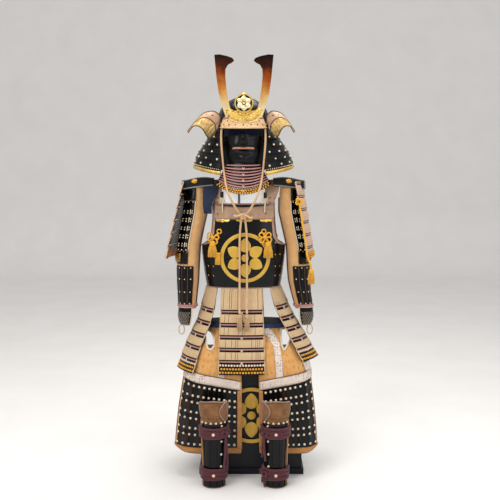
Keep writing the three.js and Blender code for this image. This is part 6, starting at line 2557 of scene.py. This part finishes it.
    def hand(self, name: str, side: int) -> None:
        """The hand guard's cream piping, finger loop and mail.

        Args:
            name: "left" or "right".
            side: -1 on the left and 1 on the right.
        """
        dress(f"hand_guard_{name}", LACQUER, 40)
        rows = table("z half out", (0.640, 0.022, 0.004), (0.655, 0.032, 0.004), (0.680, 0.038, 0.002),
                     (0.705, 0.037, 0.0), (0.722, 0.0363, 0.0))
        cx, cy = self.hands[name]

        def point(u: float, z: float, off: float = 0.0064) -> Vector:
            """The hand guard's surface.

            Args:
                u: Share across, from 0 to 1.
                z: Height in metres.
                off: How far out from the surface, in metres.

            Returns:
                The point.
            """
            row = between(rows, "z", z)
            depth = between(table("z depth", (0.640, 0.024), (0.655, 0.032), (0.680, 0.038),
                                  (0.722, 0.0363)), "z", z)["depth"]
            angle = mix(-120, 60, u)
            section_row = {"x": cx + side * row["out"], "y": cy, "z": z, "half": row["half"], "front": depth,
                           "back": depth}
            return section(section_row, angle if side > 0 else 180 - angle, off)

        edge = Cloth(f"hand_piping_{name}")
        for u in (0.0, 1.0):
            edge.tube([point(u, mix(0.641, 0.721, t / 12), 0.0050) for t in range(13)], 0.0026, sides=8)
        for z in (0.6405, 0.7200):
            edge.tube([point(t / 16, z, 0.0050) for t in range(17)], 0.0026, sides=8)
        edge.done(CREAM_CORD, "salmon_lacing")
        loops = Cloth(f"finger_loops_{name}")
        tip = point(0.52, 0.641, 0.002)
        ring = [tip + Vector((0.012 * math.cos(a), 0.0, -0.022 + 0.022 * math.sin(a)))
                for a in (math.radians(d) for d in range(90, 451, 24))]
        loops.tube(ring, 0.0022, sides=6)
        loops.done(TAN_CORD, "tan_cord")
        mail = []
        for n in range(7):
            for k in range(5):
                u, z = 0.10 + 0.075 * k + (0.037 if n % 2 else 0), 0.646 + 0.0082 * n
                centre = Vector((cx, cy, z))
                normal = (point(u, z) - centre)
                normal.z = 0
                mail.append((point(u, z, 0.0058), normal.normalized(), UP))
        REPEAT.place(f"hand_mail_{name}", Shape.CROSS, mail, 0.0088, MAIL_GREY, "black_lacquer")


def inside(polygon: Sequence[tuple[float, float]], x: float, z: float) -> bool:
    """Tell if a place lies in a polygon.

    Args:
        polygon: The opening's corners.
        x: Place across in metres.
        z: Height in metres.

    Returns:
        True when the place is inside.
    """
    found = False
    for (ax, az), (bx, bz) in zip(polygon, [*polygon[1:], polygon[0]]):
        if (az > z) != (bz > z) and x < (bx - ax) * (z - az) / (bz - az) + ax:
            found = not found
    return found


@dataclass
class ThighGuards:
    """The thigh guards: twisted belt, cloths with their bands, plates and knots."""

    low: float = 0.110
    high: float = 0.6324
    corner: float = 0.0144
    thick: float = 0.0022
    openings: dict[str, tuple[tuple[float, float], ...]] = field(default_factory=lambda: {
        "left": ((-0.158, 0.622), (-0.136, 0.612), (-0.122, 0.588), (-0.124, 0.566),
                 (-0.136, 0.552), (-0.150, 0.556), (-0.160, 0.580), (-0.166, 0.606)),
        "right": ((0.160, 0.626), (0.190, 0.628), (0.212, 0.612), (0.204, 0.592),
                  (0.184, 0.566), (0.172, 0.550), (0.162, 0.570), (0.158, 0.600)),
    })
    columns: dict[str, int] = field(default_factory=lambda: {"left": 11, "right": 10})
    uprights: dict[str, list] = field(default_factory=lambda: {
        "left": [(((-0.094, 0.418), (-0.092, 0.50), (-0.082, 0.585)), 0.013),
                 (((-0.236, 0.432), (-0.222, 0.50), (-0.200, 0.56)), 0.012)],
        "right": [(((0.154, 0.420), (0.150, 0.50), (0.140, 0.575), (0.112, 0.612), (0.088, 0.630)), 0.015),
                  (((0.277, 0.432), (0.270, 0.475), (0.262, 0.500)), 0.012)],
    })

    def build(self) -> None:
        """Make the belt and both guards."""
        self.belt()
        for name in SIDES:
            self.cloth(name)
            self.plates(name)
            self.bands(name)
            self.knots(name)
            self.tear(name)

    def belt(self) -> None:
        """The blue belt: three strands twisted round the waist."""
        belt = Cloth("belt_twist")
        turns, steps = 26, 208
        for strand in range(3):
            line = []
            for k in range(steps + 1):
                turn = 2 * math.pi * k / steps
                phase = turn * turns / 1.0 + 2 * math.pi * strand / 3
                across, rise = 0.0040 * math.cos(phase), 0.0052 * math.sin(phase)
                half, deep = WAIST["half"] + 0.0062 + across, (WAIST["front"]
                                                               if math.sin(turn) < 0 else WAIST["back"])
                line.append(Vector((WAIST["x"] + half * math.cos(turn),
                                    (deep + 0.0062 + across) * math.sin(turn),
                                    0.642 + rise)))
            belt.tube(line, 0.0048, sides=6)
        belt.done(BLUE_BELT, "blue_belt", ["thigh_belt"])

    def lowest(self, u: float) -> float:
        """The cloth's lower edge at a share across, its outer corner rounded off."""
        return self.low + self.corner * max(0.0, (u - 0.8) / 0.2) ** 2

    def cloth(self, name: str) -> None:
        """The cloth with folds under the belt, and the tear in it.

        Args:
            name: "left" or "right".
        """
        side, hole = SIDES[name], self.openings[name]

        def at(u: float, v: float) -> Vector:
            """The thigh cloth's surface."""
            return thigh_point(name, u, mix(self.lowest(u), self.high, v))

        def fold(u: float, v: float) -> float:
            """The cloth's soft folds.

            Args:
                u: Share across, from 0 to 1.
                v: Share along the other way, from 0 to 1.

            Returns:
                The height.
            """
            gather = max(0.0, (v - 0.72) / 0.28)
            soft = noise.noise(Vector((5 * u, 4 * v, 3.0 + side)))
            rise = min(1.0, max(0.0, (v - 0.62) * 8))
            return 0.0016 * gather * math.sin(46 * u + 3 * soft) + 0.0012 * soft * rise

        sheet = Cloth(f"thigh_cloth_fine_{name}").grid(
            at, 96, 120, relief=fold, flip=(at(0.6, 0.3) - at(0.4, 0.3)).cross(UP).y > 0, size=(0.34, 0.52))
        made = sheet.done(THIGH_CLOTH, "thigh_cloth", [f"thigh_cloth_{name}"])
        shape = bmesh.new()
        shape.from_mesh(made.data)
        gone = [f for f in shape.faces if inside(hole, f.calc_center_median().x, f.calc_center_median().z)]
        bmesh.ops.delete(shape, geom=gone, context="FACES")
        bmesh.ops.solidify(shape, geom=list(shape.faces), thickness=self.thick)
        shape.to_mesh(made.data)
        shape.free()

    def plate_top(self, u: float) -> float:
        """The height where the plates end and the white band starts."""
        return mix(THIGH_BAND["inner"], THIGH_BAND["outer"], (u - 0.035) / 0.915)

    def spread(self, name: str, u: float) -> float:
        """How far the plates' faces stand off the cloth at a share across."""
        return 0.0034 + PLATE_SPREAD * max(0.0, u) ** THIGHS[name]["power"]

    def plates(self, name: str) -> None:
        """The lacquered plates, some of them worn to red-brown.

        Args:
            name: "left" or "right".
        """
        dress(f"thigh_plates_{name}", LACQUER, 20)
        count, worn = self.columns[name], Cloth(f"worn_plates_{name}")
        columns = (7, 9) if name == "left" else (4,)
        for column in columns:
            for row in range(4):
                first, far = (column + 0.12) / count, (column + 0.80) / count

                def at(u: float, v: float, first: float = first, far: float = far, row: int = row) -> Vector:
                    """The surface under a row of plates.

                    Args:
                        u: Share across, from 0 to 1.
                        v: Share along the other way, from 0 to 1.
                        first: The share or index at the edge.
                        far: The share at the inner edge.
                        row: The row of plates.

                    Returns:
                        The point.
                    """
                    share = 0.035 + 0.915 * mix(first, far, u)
                    up = (row + mix(0.10, 0.86, v)) / 4
                    z = mix(PLATE_LOW, self.plate_top(share), up)
                    return thigh_point(name, share, z, self.spread(name, share) + 0.0036)

                natural = (at(1, 0.5) - at(0, 0.5)).cross(at(0.5, 1) - at(0.5, 0))
                worn.grid(at, 4, 4, relief=lambda u,
                          v: 0.0007 * math.sin(math.pi * u) * math.sin(math.pi * v) + 0.0001,
                          flip=natural.y > 0, size=(0.02, 0.05))
        worn.done(RUSSET, "black_lacquer")

    def strip(self, cloth: Cloth, name: str, corners: Callable[[float, float], tuple[float, float]],
              out: float,
              steps: tuple[int, int], size: tuple[float, float]) -> None:
        """Add a flat band that lies on a guard.

        Args:
            cloth: The piece that it becomes part of.
            name: The side.
            corners: Gives the share across and the height at a place of the band.
            out: Distance off the cloth.
            steps: Faces across and up.
            size: Its width and height.
        """
        def at(u: float, v: float) -> Vector:
            """The strip's surface."""
            share, z = corners(u, v)
            return thigh_point(name, share, z, out + PLATE_SPREAD * max(0.0, share) ** THIGHS[name]["power"])

        natural = (at(1, 0.5) - at(0, 0.5)).cross(at(0.5, 1) - at(0.5, 0))
        cloth.grid(at, *steps, flip=natural.y > 0, thickness=0.0012, size=size,
                   relief=lambda u, v: 0.0004 * math.sin(math.pi * v))

    def bands(self, name: str) -> None:
        """The white printed bands and the tan edge bands.

        Args:
            name: "left" or "right".
        """
        white, tan = Cloth(f"white_bands_{name}"), Cloth(f"tan_bands_{name}")
        self.strip(white, name, lambda u,
                   v: (mix(0.02, 0.99, u), self.plate_top(mix(0.02, 0.99, u)) + mix(0.001, 0.038, v)),
                   0.0040, (40, 4), (0.27, 0.037))
        for line, half in self.uprights[name]:
            self.strip(white, name, lambda u, v, line=line, half=half: self.upright(name, line, half, u, v),
                       0.0030,
                       (4, 26), (2 * half, 0.15))
        self.strip(tan, name, lambda u,
                   v: (mix(0.004, 0.994, u), mix(self.lowest(mix(0.004, 0.994, u)) + 0.001, 0.136, v)),
                   0.0030, (40, 4), (0.27, 0.026))
        self.strip(tan, name, lambda u, v: (mix(0.003, 0.072, u), mix(0.136, self.plate_top(0.03), v)),
                   0.0078, (5, 40),
                   (0.02, 0.25))
        self.strip(tan, name, lambda u, v: (mix(0.003, 0.014, u), mix(0.42, 0.60, v)), 0.0046, (2, 20),
                   (0.01, 0.18))
        white.done(WHITE_BAND, "thigh_cloth")
        tan.done(EDGE_CLOTH, "thigh_cloth")
        rim = Cloth(f"thigh_rim_{name}")
        foot = [thigh_point(name, k / 40, self.lowest(k / 40), 0.0012) for k in range(1, 41)]
        side = [thigh_point(name, 0.999, z, 0.0012) for z in (0.13, 0.2, 0.3, 0.4, 0.45, 0.5)]
        rim.tube([*foot, *side], 0.0022, sides=6)
        seam = [thigh_point(name, mix(0.02, 0.98, k / 30), self.plate_top(mix(0.02, 0.98, k / 30)) + 0.040,
                            0.0046)
                for k in range(31)]
        rim.tube(seam, 0.0016, sides=5)
        rim.done(BROWN_EDGE, "thigh_cloth")

    def upright(self, name: str, line: Sequence[tuple[float, float]], half: float, u: float,
                v: float) -> tuple[float, float]:
        """The share across and the height at a place of an upright white band.

        Args:
            name: The side.
            line: The band's middle line, as x and z from below.
            half: Half of its width.
            u: Share across the band.
            v: Share up the band.

        Returns:
            The share across the guard and the height.
        """
        place = v * (len(line) - 1)
        k = min(len(line) - 2, int(place))
        (ax, az), (bx, bz) = line[k], line[k + 1]
        run = math.hypot(bx - ax, bz - az)
        x = mix(ax, bx, place - k) + half * (2 * u - 1) * (bz - az) / run
        z = mix(az, bz, place - k) - half * (2 * u - 1) * (bx - ax) / run
        row = between(THIGHS[name]["rows"], "z", z)
        return min(0.99, max(0.01, (SIDES[name] * x - row["inner"]) / (row["outer"] - row["inner"]))), z

    def knots(self, name: str) -> None:
        """The rows of white knots between the plates, in pairs.

        Args:
            name: "left" or "right".
        """
        count, places = self.columns[name], []
        for row in range(5):
            for pair in (-1, 1):
                for column in range(1, count + 1):
                    share = 0.035 + 0.915 * min(0.985, max(0.012, (column - 0.06) / count))
                    up = min(0.985, max(0.015, (row + pair * 0.20) / 4))
                    if (row == 0 and pair < 0) or (row == 4 and pair > 0):
                        continue
                    z = mix(PLATE_LOW, self.plate_top(share), up)
                    here = thigh_point(name, share, z, self.spread(name, share) + 0.0042)
                    ahead = thigh_point(name, share + 0.01, z, 0) - thigh_point(name, share - 0.01, z, 0)
                    normal = Vector((ahead.y, -ahead.x, 0)).normalized() * SIDES[name]
                    places.append((here, normal, UP))
        REPEAT.place(f"thigh_knots_{name}", Shape.KNOT, places, 0.0112, IVORY_LACE, "salmon_lacing")

    def tear(self, name: str) -> None:
        """The cream binding round the opening in the cloth.

        Args:
            name: "left" or "right".
        """
        ring = [*self.openings[name], self.openings[name][0]]
        guard, side = THIGHS[name], SIDES[name]
        line = []
        for (ax, az), (bx, bz) in zip(ring, ring[1:]):
            for t in range(6):
                x, z = mix(ax, bx, t / 6), mix(az, bz, t / 6)
                row = between(guard["rows"], "z", z)
                line.append(thigh_point(name, (side * x - row["inner"]) / (row["outer"] - row["inner"]), z,
                                        0.0016))
        line.append(line[0])
        binding = Cloth(f"opening_edge_{name}").tube(line, 0.0042, sides=8)
        binding.done(IVORY_LACE, "thigh_cloth")


@dataclass
class ShinGuards:
    """The shin guards with knee cloths, ties and bows."""

    upper: tuple[float, float] = (0.209, 0.255)
    lower: tuple[float, float] = (0.034, 0.081)
    bows: tuple[tuple[str, str, float, float, float], ...] = (
        ("left", "upper", 52, 0.024, 0.150), ("right", "upper", -52, 0.024, 0.110),
                                                              ("right", "lower", -62, 0.027, 0.048))

    def build(self) -> None:
        """Dress both shins."""
        for name in SIDES:
            dress(f"shin_guard_{name}", LACQUER, 30)
            self.trim(name)
            self.knee(name)
            for place, span in (("upper", self.upper), ("lower", self.lower)):
                self.tie(name, place, span)

    def trim(self, name: str) -> None:
        """Knots on the splints, the upper edge's stitches and the leather piping.

        Args:
            name: "left" or "right".
        """
        places = []
        inner = -90 + (40 if name == "left" else -40)
        for z in (0.090, 0.142, 0.197, 0.262):
            places.append((shin_point(name, inner, z, 0.0022), self.out(inner), UP))
        for k in range(6):
            angle = -90 + 24 * (k - 2.5)
            places.append((shin_point(name, angle, 0.276, 0.0022), self.out(angle), UP))
        REPEAT.place(f"shin_knots_{name}", Shape.KNOT, places, 0.0105, IVORY_LACE, "salmon_lacing")
        edge = Cloth(f"shin_edges_{name}")
        for side in (-1, 1):
            edge.tube([shin_point(name, -90 + side * 149.6, z, 0.0008)
                       for z in (0.001, 0.06, 0.15, 0.23, 0.283)], 0.0030, sides=8)
        for z in (0.0022, 0.2826):
            edge.tube([shin_point(name, a, z, 0.0006) for a in range(-239, 61, 10)], 0.0021, sides=6)
        edge.done(BROWN_EDGE, "black_lacquer")
        backing = Cloth(f"shin_backing_{name}")
        turn = -176 if name == "left" else -4
        backing.tube([shin_point(name, turn, z, 0.0010) for z in (0.004, 0.06, 0.15, 0.23, 0.280)], 0.0036,
                     sides=8)
        backing.done(EDGE_CLOTH, "knee_cloth")
        grooves = Cloth(f"shin_ribs_{name}")
        for k in (-5, -3, -1, 1, 3, 5):
            angle = -90 + 150 * k / 8
            grooves.tube([shin_point(name, angle, z, 0.0012) for z in (0.006, 0.06, 0.15, 0.23, 0.278)],
                         0.0016, sides=6)
        grooves.done(LACQUER, "black_lacquer")

    def out(self, angle: float) -> Vector:
        """The level direction at an angle."""
        return Vector((math.cos(math.radians(angle)), math.sin(math.radians(angle)), 0))

    def top_wave(self, share: float) -> float:
        """How much the knee cloth's upper edge rises or falls at a share across."""
        return 0.003 * math.cos(5 * share) - 0.016 * abs(share) ** 7

    def knee(self, name: str) -> None:
        """The quilted knee cloth with small hexagons, its piping and the lobe beside it.

        Args:
            name: "left" or "right".
        """
        def at(u: float, v: float) -> Vector:
            """The knee cloth's surface.

            Args:
                u: Share across, from 0 to 1.
                v: Share along the other way, from 0 to 1.

            Returns:
                The point.
            """
            z = mix(KNEE_FINE[0]["z"] + 0.002, KNEE_FINE[-1]["z"] - 0.001, v)
            row = eased(KNEE_FINE, "z", z)
            z += self.top_wave(2 * u - 1) * v * v
            angle = -90 + row["span"] * (2 * u - 1)
            out = -0.004 * max(0.0, (0.287 - z) / 0.025)
            return section({**row, "x": SHINS[name], "y": SHIN_Y, "z": z}, angle, out)

        def quilt(u: float, v: float) -> float:
            """The quilting's rounding."""
            puff = abs(math.sin(math.pi * (11 * u + 8 * v))) * abs(math.sin(math.pi * (11 * u - 8 * v)))
            return 0.0004 + 0.0026 * puff * min(1.0, min(u, 1 - u) * 12, min(v, 1 - v) * 12)

        cloth = Cloth(f"knee_quilt_{name}").grid(at, 72, 56, relief=quilt, thickness=0.0045,
                                                 size=(0.15, 0.106))
        made = cloth.done(KNEE_CLOTH, "knee_cloth", [f"knee_cloth_{name}"])
        piping = Cloth(f"knee_piping_{name}")
        for u in (0.004, 0.996):
            piping.tube([at(u, v / 12) for v in range(3, 13)], 0.0032, sides=8)
        piping.tube([at(k / 24, 0.996) for k in range(25)], 0.0032, sides=8)
        piping.done(PINK_PIPING, "knee_cloth")
        self.lobe(name, at)
        row = Cloth(f"knee_stitch_{name}")
        for v in (0.30, 0.96):
            row.tube([at(k / 24, v) + self.out(-90 + 70 * (k / 12 - 1)) * 0.0022 for k in range(25)], 0.0010,
                     sides=5)
        row.done(BROWN_EDGE, "knee_cloth")

    def lobe(self, name: str, at: Callable[[float, float], Vector]) -> None:
        """The piped lobe that folds over the knee cloth's inner side.

        Args:
            name: The side.
            at: Gives the knee cloth's surface at a share across and a share up.
        """
        side = -SIDES[name]

        def fold(u: float, v: float) -> Vector:
            """The lobe's folds.

            Args:
                u: Share across, from 0 to 1.
                v: Share along the other way, from 0 to 1.

            Returns:
                The height.
            """
            middle = 0.5 + side * (0.36 - 0.10 * math.sin(math.pi * v ** 1.3))
            half = 0.12 * math.sin(math.pi * min(1.0, 0.06 + 0.94 * v) ** 0.8) + 0.006
            share = min(0.998, max(0.002, middle + half * (2 * u - 1)))
            return at(share, mix(0.18, 1.02, v)) + self.out(-90
                                                            + 84 * (2 * share - 1)) * 0.0052 + UP * 0.004 * v

        flap = Cloth(f"knee_lobe_{name}").grid(fold, 14, 24, thickness=0.002, size=(0.03, 0.09),
                                               relief=lambda u, v: 0.0016 * math.sin(math.pi * u))
        flap.done(KNEE_CLOTH, "knee_cloth")
        edge = [fold(0.0, k / 20) for k in range(21)] + [fold(1.0, 1 - k / 20) for k in range(1, 21)]
        Cloth(f"knee_lobe_piping_{name}").tube(edge, 0.0028, sides=8).done(PINK_PIPING, "knee_cloth")

    def tie(self, name: str, place: str, span: tuple[float, float]) -> None:
        """A maroon braided tie with its stud, and its bow where it has one.

        Args:
            name: "left" or "right".
            place: "upper" or "lower".
            span: First and last share or angle across.
        """
        braid = Cloth(f"{place}_braid_{name}")

        def at(u: float, v: float) -> Vector:
            """The tie's surface."""
            z = mix(span[0], span[1], v)
            return shin_point(name, mix(-239, 59, u), z, 0.0058)

        braid.grid(at, 84, 4, thickness=0.0030, size=(0.29, 0.046))
        for strand in range(6):
            line = []
            for k in range(73):
                share = k / 72
                wave = noise.noise(Vector((7 * share, 3.1 * strand, span[0] * 40)))
                free = min(1.0, 3 * min(share, 1 - share))
                z = mix(span[0] + 0.004, span[1] - 0.004, strand / 5) + 0.0042 * wave * free
                line.append(shin_point(name, mix(-239, 59, share), z, 0.0078 + 0.0016 * (strand % 2)))
            braid.tube(line, 0.0050, sides=6)
        for kind_name, kind, turn, size, tail in self.bows:
            if kind_name == name and kind == place:
                self.bow(braid, name, sum(span) / 2, -90 + turn, size, tail)
        braid.done(MAROON_BRAID, "maroon_tie", [f"shin_tie_{place}_{name}"])
        middle = sum(span) / 2
        stud = [(shin_point(name, -90, middle, 0.0142), FRONT, UP)]
        REPEAT.place(f"{place}_stud_{name}", Shape.KNOT, stud, 0.0135, IVORY_LACE, "maroon_tie")

    def bow(self, cloth: Cloth, name: str, z: float, angle: float, size: float, tail: float) -> None:
        """Add a tie's bow: two loops, a knot and two tails.

        Args:
            cloth: The piece that it becomes part of.
            name: The side.
            z: The bow's height.
            angle: Where it sits round the shin.
            size: Length of its loops.
            tail: Length of its tails.
        """
        middle, out = shin_point(name, angle, z, 0.011), self.out(angle)
        across = UP.cross(out)
        for turn in (-1, 1):
            loop = []
            for k in range(11):
                t = k / 10
                loop.append(middle + across * (turn * size * math.sin(math.pi * t)) + out * 0.003
                            + UP * (size * 0.42 * math.sin(2 * math.pi * t) + 0.003 * math.sin(math.pi * t)))
            cloth.tube(loop, 0.0040, sides=6, flat=0.6)
            foot = middle + across * (turn * size * 0.45) - UP * (tail + 0.006 * turn) + out * 0.002
            cloth.tube(route([middle + out * 0.001, middle.lerp(foot, 0.5) + out * 0.004, foot], 4), 0.0042,
                       sides=6, flat=0.6)
        cloth.tube([middle - across * 0.006 + out * 0.004, middle + out * 0.007,
                    middle + across * 0.006 + out * 0.004],
                   0.0065, sides=8)


@dataclass
class BoxAndStand:
    """The armour box with its crest and fittings, the stand, the belt board and the shoulder cloths."""

    front: float = -0.140
    middle: tuple[float, float] = (0.034, 0.260)
    radius: float = 0.122
    band: float = 0.016
    wing_rows: tuple[tuple[float, float], ...] = ((0.128, 1.2692), (0.160, 1.2692), (0.200, 1.2664),
                                                  (0.260, 1.2616))

    def build(self) -> None:
        """Dress the box and the stand, and make the shoulder cloths."""
        dress("armour_box_body", BOX_LACQUER, 30)
        dress("armour_box_lid", BOX_LACQUER, 30)
        dress("stand_frame", STAND_WOOD, 40)
        dress("stand_head_block", STAND_WOOD, 40)
        self.crest()
        self.wings()
        self.shoulder()

    def crest(self) -> None:
        """The same plain ring and rosette as on the chest, larger, on the box's front."""
        cx, cz = self.middle
        y = self.front - 0.0006

        def place(x: float, z: float) -> Vector:
            """A place on the box's front."""
            return Vector((x, y, z))

        ring = Cloth("box_crest_ring").grid(
            lambda u, v: place(cx + (self.radius - self.band * v) * math.cos(2 * math.pi * u),
                               cz + (self.radius - self.band * v) * math.sin(2 * math.pi * u)),
            96, 4, closed=True, relief=lambda u, v: 0.0008 * math.sin(math.pi * v) + 0.0002,
                                            size=(0.7, 0.016))
        ring.done(CREST_GOLD, "gilt")
        leaves = Cloth("box_crest_leaves")
        for k in range(6):
            broad_leaf(leaves, place, (cx, cz), 2 * math.pi * k / 6 + math.pi / 2, 0.028, 0.098, 0.029)
        leaves.done(CREST_GOLD, "gilt")
        heart = Cloth("box_crest_heart").grid(
            lambda u, v: place(cx + 0.018 * (1 - 0.99 * v) * math.cos(2 * math.pi * u),
                               cz + 0.018 * (1 - 0.99 * v) * math.sin(2 * math.pi * u)),
            28, 4, closed=True, relief=lambda u, v: 0.0014 * math.sin(math.pi / 2 * v))
        heart.done(CREST_GOLD, "gilt")

    def wings(self) -> None:
        """The stiff dark shoulder wings with their grey piping."""
        rows = table("x z", *self.wing_rows)
        for name, side in SIDES.items():
            def at(u: float, v: float, side: int = side) -> Vector:
                """The shoulder wing's surface.

                Args:
                    u: Share across, from 0 to 1.
                    v: Share along the other way, from 0 to 1.
                    side: -1 on the left and 1 on the right.

                Returns:
                    The point.
                """
                x = mix(0.128, 0.262, v)
                hang = max(0.0, 0.34 - u) / 0.34
                y = mix(-0.052, 0.034, max(0.0, (u - 0.30) / 0.70)) - 0.004 * hang
                arch = 0.006 * math.sin(math.pi * min(1.0, v * 1.1)) * (1 - hang)
                return Vector((side * x, y, between(rows, "x", x)["z"] + arch
                               - 0.034 * hang ** 1.4 * (0.75 + 0.25 * v)))

            natural = (at(1, 0.5) - at(0, 0.5)).cross(at(0.5, 1) - at(0.5, 0))
            wing = Cloth(f"wing_cloth_{name}").grid(
                at, 16, 24, flip=natural.z < 0, thickness=0.003, size=(0.076, 0.134),
                relief=lambda u, v: 0.0004 + 0.0006 * abs(math.sin(math.pi * 5 * v)))
            made = wing.done(DARK_CLOTH, "navy_cloth", [f"shoulder_wing_{name}"])
            piping = Cloth(f"wing_piping_{name}")
            line = [at(0.0, t / 12) for t in range(13)] + [at(t / 8, 1.0) for t in range(1, 9)] + \
                [at(1.0, 1 - t / 12) for t in range(1, 13)]
            piping.tube(line, 0.0034, sides=8)
            piping.done(GREY_PIPING, "navy_cloth")

    def shoulder(self) -> None:
        """The navy cloth that shows beside the left shoulder strap."""
        rows = table("z y left right", (1.124, -0.103, -0.168, -0.134), (1.172, -0.107, -0.172, -0.131),
                     (1.214, -0.0834, -0.172, -0.108), (1.252, -0.046, -0.170, -0.110))

        def at(u: float, v: float) -> Vector:
            """The shoulder cloth's surface."""
            row = eased(rows, "z", mix(1.124, 1.252, v))
            return Vector((mix(row["left"], row["right"], u), row["y"] - 0.0012 + 0.010 * (1 - u), row["z"]))

        cloth = Cloth("navy_shoulder").grid(
            at, 24, 40, thickness=0.002, size=(0.05, 0.15),
            relief=lambda u, v: 0.0014 * noise.noise(Vector((4 * u, 9 * v, 2.0))) + 0.0006)
        made = cloth.done(NAVY_CLOTH, "navy_cloth", ["shoulder_cloth"])


ASSEMBLIES = (HelmetCords, Helmet, Cuirass, Skirts, ShoulderGuards, Arms, ThighGuards, ShinGuards,
              BoxAndStand)


def main() -> None:
    """Build the studio, the cords and each sub-assembly of the armour."""
    logging.basicConfig(level=logging.INFO, format="%(name)s %(message)s")
    studio = Studio()
    studio.camera()
    for assembly in ASSEMBLIES:
        log.info("%s", assembly.__name__)
        assembly().build()
    studio.floor()
    studio.light()


if __name__ == "__main__":
    main()
